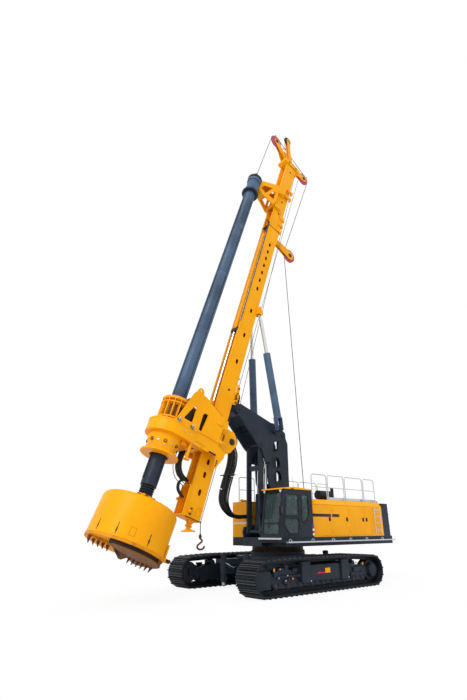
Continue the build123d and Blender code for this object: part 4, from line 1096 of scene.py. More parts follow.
@dataclass(frozen=True)
class Belt:
    """The closed loop that the track shoes lie on, round idler, carriers and sprocket (x, z, radius)."""

    wheels: tuple[tuple[float, float, float], ...] = ((3.2, 0.6, 0.385), (2.0, 0.935, 0.095), (-1.95, 0.935, 0.095),
                                                      (-3.12, 0.59, 0.375))
    stack: float = 0.16
    pitch: float = 0.262

    def pieces(self) -> list[tuple]:
        """Arcs and straight runs of the loop on the shoes' outer faces.

        Returns:
            What each piece is, its measures and its length.
        """
        wheels = [(x, z, r + self.stack) for x, z, r in self.wheels]
        turns = []
        for (xa, za, ra), (xb, zb, rb) in zip(wheels, wheels[1:] + wheels[:1]):
            turns.append(math.atan2(zb - za, xb - xa) - math.acos((ra - rb) / math.hypot(xb - xa, zb - za)))
        made = []
        for i, (x, z, r) in enumerate(wheels):
            first, last = turns[i - 1], turns[i]
            while last < first:
                last += math.tau
            made.append(("arc", x, z, r, first, last, r * (last - first)))
            xb, zb, rb = wheels[(i + 1) % len(wheels)]
            start = Vector((x + r * math.cos(last), 0, z + r * math.sin(last)))
            end = Vector((xb + rb * math.cos(last), 0, zb + rb * math.sin(last)))
            made.append(("run", start, end, last, None, None, (end - start).length))
        return made

    def spots(self, shares: tuple[float, ...]) -> list[tuple[Vector, Vector, Vector]]:
        """Points of each shoe with the direction away from it and the direction along the loop.

        Args:
            shares: places on one shoe, from 0 at its first edge to 1 at its last.

        Returns:
            Point, outward direction and running direction for each place on each shoe.
        """
        pieces = self.pieces()
        length = sum(p[6] for p in pieces)
        count = round(length / self.pitch)
        out = []
        for shoe in range(count):
            for share in shares:
                left = (shoe + share) * length / count
                for kind, a, b, c, first, last, run in pieces:
                    if left <= run:
                        angle = c if kind == "run" else first + (last - first) * left / run
                        away = Vector((math.cos(angle), 0, math.sin(angle)))
                        point = a + (b - a) * left / run if kind == "run" else Vector((a, 0, b)) + away * c
                        out.append((point, away, Vector((-away.z, 0, away.x))))
                        break
                    left -= run
        return out


# ---------------------------------------------------------------- undercarriage


@dataclass
class Undercarriage:
    """Tracks, side frames, jacks and the slewing ring."""

    track_y: float = 2.13
    shoe_half: float = 0.5
    cheek: float = 2.381
    panel: float = 2.461
    box: float = 2.531
    roller_z: float = 0.365
    belt: Belt = field(default_factory=Belt)

    def finishes(self) -> None:
        """Paints the CAD nodes."""
        coat_cad(Coat.TRACK, "track_left", "track_right")
        coat_cad(Coat.SLATE, "car_body", "track_frames", "support_jacks")
        coat_cad(Coat.STEEL, "track_wheels")
        coat_cad(Coat.GREASED_AND_SHADE, "slew_ring")

    def ribs(self) -> None:
        """Low ribs beside each shoe's grouser, and the two rows of shoe bolts."""
        for side, word in SIDES:
            ribs, bolts = Sculpt(f"shoe_ribs_{word}"), Sculpt(f"shoe_bolts_{word}")
            for point, away, along in self.belt.spots((0.16, 0.84)):
                centre = point + Y * side * self.track_y + away * 0.014
                ribs.slab(centre, (0.03, 2 * self.shoe_half - 0.02, 0.045), Matrix((along, Y, away)).transposed(),
                          edge=0.006, segments=1)
            for point, away, along in self.belt.spots((0.32, 0.68)):
                for y in (-0.11, 0.11):
                    spot = point + Y * (side * self.track_y + y)
                    bolts.bar(spot - away * 0.002, spot + away * 0.016, 0.02, sides=6)
            ribs.done(Coat.WORN, "undercarriage")
            bolts.done(Coat.STEEL, "undercarriage")

    def rollers(self) -> None:
        """Bearing caps of the track rollers, with their clips."""
        for side, word in SIDES:
            out = Y * side
            caps, clips = Sculpt(f"roller_caps_{word}"), Sculpt(f"roller_clips_{word}")
            for i in range(9):
                x = 2.58 + (-2.5 - 2.58) * i / 8
                centre = Vector((x, side * self.cheek, self.roller_z - 0.04))
                caps.turned(centre, out, [(0.0, 0.04), (0.05, 0.04), (0.06, 0.03), (0.085, 0.028), (0.1, 0.015),
                                          (0.1, -0.01)], 24)
                for d in (-0.15, 0.15):
                    clips.slab(centre + Vector((d, side * 0.012, 0.06)), (0.05, 0.03, 0.11), edge=0.008)
                    caps.bolts([centre + Vector((d, side * 0.027, 0.06))], out, 0.03, 0.018)
            caps.done(Coat.STEEL, "undercarriage")
            clips.done(Coat.SLATE, "undercarriage")

    def frame_fittings(self) -> None:
        """Track tensioner gear, valve blocks, clamps and the drive's cover on each side frame."""
        for side, word in SIDES:
            out, y = Y * side, side * (self.cheek + 0.03)
            gear = Sculpt(f"tensioner_gear_{word}")
            gear.bar(Vector((2.55, y, 0.62)), Vector((1.5, y, 0.62)), 0.055, sides=20, edge=0.01)
            gear.bar(Vector((1.5, y, 0.62)), Vector((1.37, y, 0.62)), 0.075, sides=20, edge=0.01)
            for x, z, long, tall in ((2.62, 0.72, 0.16, 0.2), (2.35, 0.86, 0.3, 0.09), (2.12, 0.44, 0.22, 0.1),
                                     (1.62, 0.82, 0.26, 0.1), (-1.72, 0.84, 0.34, 0.12), (-2.1, 0.66, 0.5, 0.16),
                                     (-1.75, 0.5, 0.2, 0.14), (-2.45, 0.83, 0.2, 0.1)):
                gear.slab(Vector((x, y, z)), (long, 0.07, tall), edge=0.012)
            for x, z in ((-2.35, 0.62), (-2.1, 0.86), (2.0, 0.62), (1.75, 0.62)):
                gear.ring(Vector((x, side * (self.cheek + 0.035), z)), X, 0.06, 0.012, 20, 6)
            gear.done(Coat.SLATE, "undercarriage")
            fit = Sculpt(f"grease_fittings_{word}")
            for x, z in ((2.42, 0.88), (2.15, 0.5), (2.05, 0.66), (0.9, 0.42), (-1.36, 0.42), (2.5, 0.6)):
                face = self.box if -1.5 < x < 1.3 else self.cheek + 0.065
                fit.bar(Vector((x, side * face, z)), Vector((x, side * (face + 0.03), z)), 0.025, sides=14,
                        edge=0.006)
            fit.done(Coat.SILVER, "undercarriage")
            tags = Sculpt(f"bare_tags_{word}")
            for x, z in ((2.7, 0.86), (1.76, 0.57), (-2.5, 0.86)):
                tags.slab(Vector((x, side * (self.cheek + 0.068), z)), (0.07, 0.005, 0.1), edge=0.002)
            tags.slab(Vector((-0.19, side * (self.panel + 0.002), 0.72)), (0.3, 0.006, 0.17), edge=0.002)
            tags.done(Coat.YELLOW, "undercarriage")
            arrow = Sculpt(f"travel_arrow_{word}")
            z, tip = 0.66, 0.46
            arrow.plate([Vector((tip, side * self.panel, z - 0.03)), Vector((tip - 0.2, side * self.panel, z + 0.06)),
                         Vector((tip - 0.2, side * self.panel, z + 0.01)),
                         Vector((-0.03, side * self.panel, z + 0.01)),
                         Vector((-0.03, side * self.panel, z - 0.03))], out * 0.004, 0.001)
            arrow.done(Coat.RED, "undercarriage")
            cover = Sculpt(f"drive_cover_{word}")
            centre = Vector((-3.12, side * (self.cheek + 0.108), 0.59))
            cover.turned(centre, out, [(0.0, 0.03), (0.1, 0.03), (0.12, 0.02), (0.2, 0.018), (0.24, 0.004),
                                       (0.24, -0.02)], 36)
            ring = [centre + (Matrix.Rotation(math.tau * i / 12, 3, out) @ X) * 0.215 + out * 0.014
                    for i in range(12)]
            cover.bolts(ring, out, 0.03, 0.016)
            cover.done(Coat.SLATE, "undercarriage")
            step = Sculpt(f"frame_edges_{word}")
            step.slab(Vector((0.0, side * (self.panel + 0.004), 0.93)), (1.7, 0.03, 0.03), edge=0.006)
            step.slab(Vector((0.0, side * (self.panel + 0.004), 0.42)), (1.7, 0.03, 0.03), edge=0.006)
            for x in (1.115, -1.21):
                for dx in (-0.2, 0.2):
                    for z in (0.45, 0.98):
                        step.bar(Vector((x + dx, side * self.box, z)), Vector((x + dx, side * (self.box + 0.012), z)),
                                 0.022, sides=6)
            step.done(Coat.SLATE, "undercarriage")

    def jacks(self) -> None:
        """Silver ball joints, hose loops and caps of the four support jacks."""
        high = Rig.box("support_jacks")[1]
        for i, (x, y) in enumerate(((2.4, 0.69), (2.4, -0.69), (-2.3, 0.69), (-2.3, -0.69))):
            foot = Sculpt(f"jack_joint_{i + 1}")
            foot.turned(Vector((x, y, 0.18)), Z, [(0.0, -0.065), (0.05, -0.055), (0.074, 0.0), (0.07, 0.04),
                                                  (0.063, 0.06), (0.063, 0.1)], 24)
            foot.done(Coat.SILVER, "undercarriage")
            cap = Sculpt(f"jack_cap_{i + 1}")
            cap.turned(Vector((x, y, high.z - 0.02)), Z, [(0.0, 0.03), (0.04, 0.03), (0.05, 0.018), (0.1, 0.018),
                                                          (0.115, 0.0)], 24)
            for z in (0.3, 1.08, 1.24):
                cap.turned(Vector((x, y, z)), Z, [(0.121, -0.02), (0.132, -0.015), (0.132, 0.015), (0.121, 0.02)], 24)
            cap.done(Coat.SLATE, "undercarriage")
            inward = -1 if x > 0 else 1
            for k in range(3):
                z = 1.02 - 0.09 * k
                Shop.tube(f"jack_hose_{i + 1}_{k + 1}", [Vector((x, y + 0.1, z)),
                                                         Vector((x + 0.02, y + 0.2, z + 0.03)),
                          Vector((x + inward * 0.12, y + 0.3 + 0.04 * k, z - 0.1)),
                          Vector((x + inward * 0.34, y + 0.28, z - 0.16)),
                          Vector((x + inward * 0.55, y + 0.12, z - 0.1))], 0.014, Coat.SILVER if k == 1
                          else Coat.RUBBER, "undercarriage")

    def body_gear(self) -> None:
        """Bolts of the ring, rotary joint hoses and cover plates on the car body."""
        low, high = Rig.box("slew_ring")
        radius = high.x + 0.03
        bolts = Sculpt("slew_ring_bolts")
        for i in range(40):
            a = math.tau * i / 40
            spot = Vector((radius * math.cos(a), radius * math.sin(a), low.z))
            bolts.bar(spot - Z * 0.01, spot + Z * 0.035, 0.022, sides=6)
        bolts.done(Coat.GEAR, "undercarriage")
        plates = Sculpt("car_body_plates")
        for x, turn in ((1.5, 1), (-1.5, -1)):
            plates.slab(Vector((x + turn * 0.008, 0.0, 0.86)), (0.016, 1.1, 0.4), edge=0.004)
            plates.bolts([Vector((x + turn * 0.016, y, z)) for y in (-0.5, -0.17, 0.17, 0.5) for z in (0.7, 1.02)],
                         X * turn, 0.04, 0.02)
        plates.done(Coat.SLATE, "undercarriage")
        for turn, word in SIDES:
            for k in range(3):
                shift = 0.06 * k
                Shop.tube(f"travel_hose_{word}_{k + 1}", [Vector((-0.6 - shift, turn * 1.15, 1.2)),
                                                          Vector((-0.75 - shift, turn * 1.3, 1.24)),
                          Vector((-0.85 - shift, turn * 1.5, 1.1)), Vector((-0.88 - shift, turn * 1.7, 0.95)),
                          Vector((-0.9 - shift, turn * 1.88, 0.88))],
                          0.02, Coat.RUBBER, "undercarriage")

    def build(self) -> None:
        """Dresses the whole undercarriage."""
        self.finishes()
        self.ribs()
        self.rollers()
        self.frame_fittings()
        self.jacks()
        self.body_gear()


# ---------------------------------------------------------------- upper body


@dataclass
class Cab:
    """Cab trim: mirrors, lamps, wiper, handles, seals and the stripes behind the door."""

    wall: float = 1.681
    seal: float = 0.024

    def finishes(self) -> None:
        """Paints the CAD nodes."""
        coat_cad(Coat.SLATE, "cab_shell", "cab_door")
        coat_cad(Coat.GLASS, "cab_glass", "cab_door_glass")
        coat_cad(Coat.YELLOW, "cab_roof")
        coat_cad(Coat.SEAT, "cab_seat")

    def rounded(self, corners: list[Vector], radius: float, steps: int = 4) -> list[Vector]:
        """A closed outline with its corners rounded.

        Args:
            corners: the corners in order.
            radius: how far each is rounded.
            steps: steps of each rounding.

        Returns:
            The points in order.
        """
        out = []
        for before, corner, after in zip(corners[-1:] + corners[:-1], corners, corners[1:] + corners[:1]):
            a, b = (before - corner).normalized(), (after - corner).normalized()
            reach = min(radius, (before - corner).length * 0.45, (after - corner).length * 0.45)
            for k in range(steps + 1):
                t = k / steps
                out.append(corner + a * reach * (1 - t) ** 2 + b * reach * t ** 2)
        return out

    def loop(self, name: str, corners: list[Vector], wire: float, finish: Finish, body: str,
             radius: float = 0.07) -> None:
        """A seal or frame that follows an outline.

        Args:
            name: its name.
            corners: the outline's corners.
            wire: its radius.
            finish: its finish.
            body: name of the body that it moves with.
            radius: how far the corners are rounded.
        """
        path = self.rounded(corners, radius)
        curve = bpy.data.curves.new(name, "CURVE")
        curve.dimensions = "3D"
        curve.bevel_depth = wire
        curve.bevel_resolution = 2
        spline = curve.splines.new("POLY")
        spline.points.add(len(path) - 1)
        for spot, place in zip(spline.points, path):
            spot.co = (*place, 1.0)
        spline.use_cyclic_u = True
        Shop.hand_in(bpy.data.objects.new(name, curve), finish, body)

    def seals(self) -> None:
        """Rubber seals round every window and the joint round the door."""
        side = {
            "door_window_seal_top": ([(0.4, 2.7), (1.2, 2.7), (1.13, 3.53), (0.4, 3.53)], "cab_door"),
            "door_window_seal_low": ([(0.48, 2.03), (1.0, 2.03), (1.24, 2.3), (1.24, 2.61), (0.4, 2.61), (0.4, 2.2)],
                                     "cab_door"),
            "quarter_window_seal": ([(-0.21, 2.72), (0.01, 2.45), (0.215, 2.45), (0.215, 3.54), (-0.21, 3.54)],
                                    "upper"),
            "door_opening_seal": ([(0.3, 1.96), (1.33, 1.96), (1.33, 2.35), (1.2, 3.62), (0.3, 3.62)], "upper"),
        }
        for name, (corners, body) in side.items():
            wire = self.seal if "window" in name else 0.006
            self.loop(name, side_on(corners, self.wall - 0.002), wire, Coat.RUBBER, body)
        front = [Vector((1.502, 0.69, 2.01)), Vector((1.502, 1.59, 2.01)), Vector((1.502, 1.59, 2.25)),
                 Vector((1.27, 1.59, 3.58)),
                 Vector((1.27, 0.69, 3.58)), Vector((1.502, 0.69, 2.25))]
        self.loop("windscreen_seal", front, 0.014, Coat.RUBBER, "upper", 0.05)
        Shop.tube("windscreen_bar", [Vector((1.49, 0.69, 2.42)), Vector((1.49, 1.59, 2.42))], 0.016, Coat.SLATE,
                  "upper", smooth=False)

    def lines(self) -> None:
        """Pressed lines of the door skin and of the wall behind it."""
        outline = side_on(((0.36, 2.0), (0.95, 1.985), (1.29, 2.27), (1.29, 2.4), (1.2, 3.58)), self.wall - 0.004)
        Shop.tube("door_press_line", outline, 0.007, Coat.SLATE, "cab_door", smooth=False)
        rear = side_on(((0.2, 2.02), (0.2, 2.2), (-0.06, 2.42), (-0.28, 2.66), (-0.28, 3.5)), self.wall - 0.004)
        Shop.tube("rear_wall_press_line", rear, 0.008, Coat.SLATE, "upper", smooth=False)
        recess = Sculpt("door_corner_speaker")
        recess.turned(Vector((1.27, self.wall - 0.004, 2.1)), Y, [(0.0, -0.012), (0.045, -0.012), (0.055, 0.006),
                                                                  (0.07, 0.008), (0.075, 0.0)], 24)
        recess.done(Coat.BLACK, "cab_door")

    def mirrors(self) -> None:
        """Two arms with mirror heads at the cab's front corners."""
        for y, lean, word in ((1.66, 0.05, "left"), (0.64, -0.1, "right")):
            root = Vector((1.3, y, 3.3))
            knee, head = root + Vector((0.18, lean * 0.6, 0.0)), root + Vector((0.2, lean, -0.28))
            Shop.tube(f"mirror_arm_{word}", [root, knee, head], 0.01, Coat.BLACK, "upper")
            glass = Sculpt(f"mirror_head_{word}")
            glass.slab(head + Vector((0.0, 0, -0.12)), (0.045, 0.15, 0.26), edge=0.02, segments=3)
            glass.done(Coat.BLACK, "upper")
            face = Sculpt(f"mirror_glass_{word}")
            face.slab(head + Vector((-0.024, 0, -0.12)), (0.006, 0.13, 0.23), edge=0.002)
            face.done(Coat.CHROME, "upper")

    def lamp(self, place: Vector, aim: Vector, name: str, body: str, radius: float = 0.07,
             shell: Finish | None = None) -> None:
        """A round work lamp with its bracket.

        Args:
            place: its middle.
            aim: the direction that it shines in.
            name: its name.
            body: name of the body that it moves with.
            radius: its radius.
            shell: its finish, none for black.
        """
        form = Sculpt(name)
        form.turned(place, aim, [(0.0, -radius), (radius * 0.6, -radius * 0.9), (radius, -radius * 0.2),
                                 (radius * 1.08, radius * 0.25),
                                 (radius * 1.08, radius * 0.5), (radius * 0.9, radius * 0.5),
                                 (radius * 0.9, radius * 0.35)], 28)
        form.slab(place - Z * radius * 1.2, (0.03, 0.05, radius * 0.8), edge=0.006)
        form.done(shell or Coat.BLACK, body)
        lens = Sculpt(name + "_lens")
        lens.turned(place, aim, [(radius * 0.9, radius * 0.36), (radius * 0.6, radius * 0.5), (0.0, radius * 0.56)],
                    28)
        lens.done(Coat.WHITE, body)

    def roof(self) -> None:
        """Lamps under the roof's front edge, its gutter and an aerial."""
        high = Rig.box("cab_roof")[1]
        self.lamp(Vector((1.36, 1.62, 3.64)), X, "corner_lamp", "upper", 0.05, Coat.SILVER)
        self.lamp(Vector((1.36, 0.72, 3.64)), X, "far_corner_lamp", "upper", 0.05, Coat.SILVER)
        gutter = Sculpt("roof_gutter")
        gutter.slab(Vector((0.45, high.y + 0.004, 3.7)), (1.75, 0.016, 0.022), edge=0.005)
        gutter.slab(Vector((0.75, high.y - 0.03, 3.72)), (0.16, 0.1, 0.035), edge=0.01)
        gutter.done(Coat.BLACK, "upper")
        Shop.tube("aerial", [Vector((-0.35, 0.75, 3.74)), Vector((-0.36, 0.75, 4.35))], 0.005, Coat.BLACK, "upper",
                  smooth=False)

    def door(self) -> None:
        """A grab handle, the lock and the hinges of the cab door."""
        y = Rig.box("cab_door")[1].y
        lock = Sculpt("door_lock").slab(Vector((1.26, y + 0.006, 2.655)), (0.1, 0.016, 0.04), edge=0.006)
        lock.slab(Vector((1.27, y + 0.014, 2.655)), (0.05, 0.02, 0.02), edge=0.005)
        lock.done(Coat.BLACK, "cab_door")
        Shop.tube("front_grab", [Vector((1.47, 1.66, 2.2)), Vector((1.52, 1.7, 2.24)), Vector((1.44, 1.7, 2.75)),
                                 Vector((1.35, 1.66, 2.8))],
                  0.012, Coat.BLACK, "upper")
        hinges = Sculpt("door_hinges")
        for z in (2.2, 2.8, 3.35):
            hinges.bar(Vector((0.28, y + 0.006, z - 0.05)), Vector((0.28, y + 0.006, z + 0.05)), 0.013, sides=14,
                       edge=0.003)
        hinges.done(Coat.SLATE, "upper")

    def wiper(self) -> None:
        """The wiper on the front window."""
        root = Vector((1.515, 1.0, 2.3))
        Shop.tube("wiper_arm", [root, root + Vector((0.004, 0.12, 0.3)), root + Vector((-0.09, 0.2, 0.62))], 0.008,
                  Coat.BLACK, "upper")
        slope = Matrix.Rotation(math.radians(-10), 3, "Y")
        blade = Sculpt("wiper_blade").slab(root + Vector((-0.08, 0.2, 0.62)), (0.014, 0.02, 0.62), slope, edge=0.004)
        blade.bar(root - X * 0.03, root + X * 0.01, 0.03, sides=16, edge=0.005)
        blade.done(Coat.BLACK, "upper")

    def inside(self) -> None:
        """The lining, control desk, sticks, screens and pedals."""
        lining = Sculpt("cab_lining")
        lining.slab(Vector((-0.375, 1.14, 2.32)), (0.02, 0.9, 0.7), edge=0.006)
        lining.slab(Vector((0.42, 1.14, 3.615)), (1.5, 0.9, 0.02), edge=0.006)
        lining.slab(Vector((0.5, 1.14, 1.958)), (1.7, 0.94, 0.012), edge=0.003)
        lining.slab(Vector((0.4, 0.675, 2.28)), (1.5, 0.02, 0.6), edge=0.006)
        lining.done(Coat.LINING, "upper")
        desk = Sculpt("control_desk")
        for y in (0.75, 1.53):
            desk.slab(Vector((0.5, y, 2.6)), (0.42, 0.11, 0.12), edge=0.03, segments=3)
        desk.slab(Vector((1.2, 1.14, 2.16)), (0.14, 0.5, 0.36), edge=0.03, segments=3)
        desk.slab(Vector((1.15, 0.76, 2.95)), (0.05, 0.18, 0.28), edge=0.015)
        desk.slab(Vector((1.2, 1.5, 2.8)), (0.05, 0.12, 0.2), edge=0.015)
        desk.bar(Vector((1.18, 0.76, 2.3)), Vector((1.16, 0.76, 2.85)), 0.02, sides=12)
        desk.done(Coat.BLACK, "upper")
        screen = Sculpt("screen_faces")
        screen.slab(Vector((1.122, 0.76, 2.97)), (0.006, 0.14, 0.2), edge=0.002)
        screen.slab(Vector((-0.2, 1.05, 2.9)), (0.01, 0.16, 0.26), edge=0.004)
        screen.done(Coat.WHITE, "upper")
        vest = Sculpt("document_pouch").slab(Vector((-0.33, 1.5, 3.0)), (0.03, 0.2, 0.3), edge=0.01)
        vest.done(Coat.YELLOW, "upper")
        sticks = Sculpt("control_sticks")
        for y in (0.75, 1.53):
            foot = Vector((0.64, y, 2.65))
            sticks.bar(foot, foot + Vector((0.03, 0, 0.1)), 0.012, sides=12)
            sticks.bar(foot + Vector((0.03, 0, 0.08)), foot + Vector((0.045, 0, 0.2)), 0.026, 0.02, sides=16,
                       edge=0.006)
        for y in (1.04, 1.24):
            sticks.bar(Vector((1.0, y, 1.97)), Vector((0.96, y, 2.5)), 0.012, sides=12)
            sticks.slab(Vector((1.02, y, 1.985)), (0.2, 0.09, 0.02), edge=0.005)
        sticks.done(Coat.STEEL, "upper")

    def stripes(self) -> None:
        """Red, white and blue reflectors beside the cab's rear edge."""
        for i, finish in enumerate((Coat.WHITE, Coat.RED, Coat.WHITE, Coat.RED, Coat.BLUE)):
            tab = Sculpt(f"rear_reflector_{i + 1}")
            tab.slab(Vector((-0.43, self.wall, 1.99 + 0.088 * i)), (0.1, 0.008, 0.085), edge=0.002)
            tab.done(finish, "upper")

    def build(self) -> None:
        """Dresses the whole cab."""
        self.finishes()
        self.seals()
        self.lines()
        self.mirrors()
        self.roof()
        self.door()
        self.wiper()
        self.inside()
        self.stripes()


@dataclass
class Hood:
    """Engine hood, its doors, the roof fittings, the tank and the counterweight."""

    latch: tuple[float, float] = (0.13, 0.16)
    latch_z: float = 2.59
    band_z: tuple[float, float] = (2.68, 2.80)
    hinge_zs: tuple[float, ...] = (2.12, 2.98)
    kick_tall: float = 0.13
    rail_end: float = -1.85
    louvre_rows: int = 9
    doors: tuple[str, ...] = (*(f"hood_door_left_{i}" for i in (1, 2, 3, 4)), *(f"hood_door_right_{i}" for i in (2, 3,
            4)))

    def finishes(self) -> None:
        """Paints the CAD nodes."""
        coat_cad(Coat.YELLOW, "hood", "side_tank", *self.doors)
        coat_cad(Coat.SLATE, "counterweight", "deck_frame", "winch_frame")
        coat_cad(Coat.SILVER, "walkway", "handrails")
        coat_cad(Coat.BLACK, "exhaust", "engine_block")

    def door(self, node: str) -> None:
        """The latch and hinges of one service door.

        Args:
            node: the door's name.
        """
        low, high = Rig.box(node)
        left = high.y > 0
        face, out = (high.y, 1) if left else (low.y, -1)
        hinge_x = Rig.pin(node).x
        at_front = abs(hinge_x - high.x) < abs(hinge_x - low.x)
        free_x = low.x + 0.1 if at_front else high.x - 0.1
        lock = Sculpt(f"{node}_latch")
        lock.slab(Vector((free_x, face + out * 0.004, self.latch_z)), (self.latch[0], 0.012, self.latch[1]),
                  edge=0.004)
        lock.slab(Vector((free_x, face + out * 0.014, self.latch_z + 0.02)), (self.latch[0] * 0.6, 0.014, 0.05),
                  edge=0.005)
        lock.done(Coat.BLACK, node)
        hinges = Sculpt(f"{node}_hinges")
        edge_x = high.x - 0.02 if at_front else low.x + 0.02
        turn = -1 if at_front else 1
        for z in self.hinge_zs:
            hinges.bar(Vector((edge_x, face + out * 0.012, z - 0.05)), Vector((edge_x, face + out * 0.012, z + 0.05)),
                       0.012, sides=12, edge=0.003)
            hinges.slab(Vector((edge_x + turn * 0.045, face + out * 0.003, z)), (0.08, 0.006, 0.06), edge=0.002)
        hinges.done(Coat.YELLOW, node)

    def band(self) -> None:
        """The slate band across the first two doors."""
        z = sum(self.band_z) / 2
        for node, share in (("hood_door_left_1", 1.0), ("hood_door_left_2", 0.45)):
            low, high = Rig.box(node)
            long = (high.x - low.x) * share
            strip = Sculpt(f"{node}_band")
            strip.slab(Vector((high.x - long / 2 - 0.004, high.y + 0.002, z)), (long - 0.01, 0.003,
                    self.band_z[1] - self.band_z[0]), edge=0.001)
            strip.done(Coat.SLATE, node)

    def roof(self) -> None:
        """Kick plates under the rails, and the hatches with their grips."""
        low, high = Rig.box("hood")
        top = high.z
        kick = Sculpt("roof_kick_plates")
        kick.slab(Vector(((low.x + self.rail_end) / 2, 1.36, top + self.kick_tall / 2)), (self.rail_end - low.x - 0.1,
                0.008, self.kick_tall), edge=0.003)
        kick.slab(Vector((low.x + 0.08, 0.0, top + self.kick_tall / 2)), (0.008, 2.7, self.kick_tall), edge=0.003)
        kick.done(Coat.SILVER, "upper")
        for i, (x, y, long, wide) in enumerate(((-3.4, 1.0, 1.15, 0.55), (-3.4, -0.9, 1.3, 0.8),
                                                (-4.8, 0.0, 0.9, 1.5))):
            lid = Sculpt(f"roof_hatch_{i + 1}")
            lid.slab(Vector((x, y, top + 0.05)), (long, wide, 0.1), edge=0.025, segments=3)
            for end in (-1, 1):
                lid.slab(Vector((x + end * long * 0.38, y + wide * 0.5, top + 0.06)), (0.06, 0.03, 0.04), edge=0.006)
            lid.done(Coat.YELLOW, "upper")
            Shop.tube(f"roof_hatch_grip_{i + 1}", [Vector((x - 0.09, y + wide * 0.3, top + 0.1)),
                                                   Vector((x - 0.09, y + wide * 0.3, top + 0.15)),
                      Vector((x + 0.09, y + wide * 0.3, top + 0.15)), Vector((x + 0.09, y + wide * 0.3, top + 0.1))],
                      0.009, Coat.BLACK, "upper", smooth=False)

    def louvres(self) -> None:
        """Cooling louvres on the right side panel and on the rear of the hood roof."""
        low, high = Rig.box("hood")
        fins = Sculpt("side_louvres")
        for row in range(self.louvre_rows):
            z = 2.1 + row * 0.1
            fins.slab(Vector((-1.12, low.y - 0.006, z)), (1.0, 0.03, 0.035),
                      axes=Matrix.Rotation(math.radians(-28), 3, "X"), edge=0.005)
        fins.done(Coat.BLACK, "upper")
        deck = Sculpt("roof_louvres")
        for row in range(12):
            deck.slab(Vector((-4.35 - 0.075 * row + 0.4, 0.0, high.z + 0.104)), (0.035, 1.2, 0.02),
                      axes=Matrix.Rotation(math.radians(22), 3, "Y"), edge=0.004)
        deck.done(Coat.BLACK, "upper")

    def counterweight(self) -> None:
        """Lifting eyes, joint lines and bolts of the counterweight."""
        low, high = Rig.box("counterweight")
        eyes = Sculpt("counterweight_eyes")
        for y in (-1.1, 1.1):
            eyes.ring(Vector((low.x + 0.3, y, high.z + 0.05)), X, 0.07, 0.022)
            eyes.slab(Vector((low.x + 0.3, y, high.z - 0.01)), (0.1, 0.2, 0.04), edge=0.01)
        eyes.done(Coat.SLATE, "upper")
        seams = Sculpt("counterweight_straps")
        for z in (2.35, 2.85):
            seams.slab(Vector((low.x - 0.002, 0.0, z)), (0.01, 3.1, 0.03), edge=0.003)
        seams.bolts([Vector((low.x - 0.004, y, z)) for z in (2.1, 3.1) for y in (-1.3, -0.45, 0.45, 1.3)], -X, 0.06,
                    0.03)
        seams.done(Coat.SLATE, "upper")

    def tank(self) -> None:
        """The tank's filler cap and its band."""
        low, high = Rig.box("side_tank")
        cap = Sculpt("tank_cap").turned(Vector((0.75, -1.2, high.z - 0.12)), Z, [(0.0, 0.07), (0.07, 0.07),
                (0.085, 0.05), (0.085, 0.0)], 24)
        cap.slab(Vector((0.75, -1.2, high.z - 0.04)), (0.14, 0.02, 0.03), edge=0.006)
        cap.done(Coat.BLACK, "upper")
        band = Sculpt("tank_bands")
        band.slab(Vector((high.x + 0.001, (low.y + high.y) / 2, 2.45)), (0.012, high.y - low.y + 0.01, 0.05),
                  edge=0.003)
        band.done(Coat.SILVER, "upper")

    def build(self) -> None:
        """Dresses the hood, tank and counterweight."""
        self.finishes()
        for node in self.doors:
            self.door(node)
        self.band()
        self.roof()
        self.louvres()
        self.counterweight()
        self.tank()


@dataclass
class Deck:
    """The slewing deck's tie-down rings."""

    ring_xs: tuple[float, ...] = (0.9, -0.45, -1.78, -3.0, -4.22, -5.5)
    ring_z: float = 1.82

    def build(self) -> None:
        """Sets the rings along both sides."""
        high = Rig.box("deck_frame")[1]
        rings = Sculpt("tie_down_rings")
        for x in self.ring_xs:
            centre = Vector((x, high.y + 0.006, self.ring_z - 0.05))
            rings.ring(centre, Y, 0.05, 0.011, 28, 8, stretch=1.5, along=X)
            rings.slab(centre + Vector((0, -0.002, 0.05)), (0.07, 0.02, 0.03), edge=0.006)
        rings.mirrored()
        rings.done(Coat.SILVER, "upper")


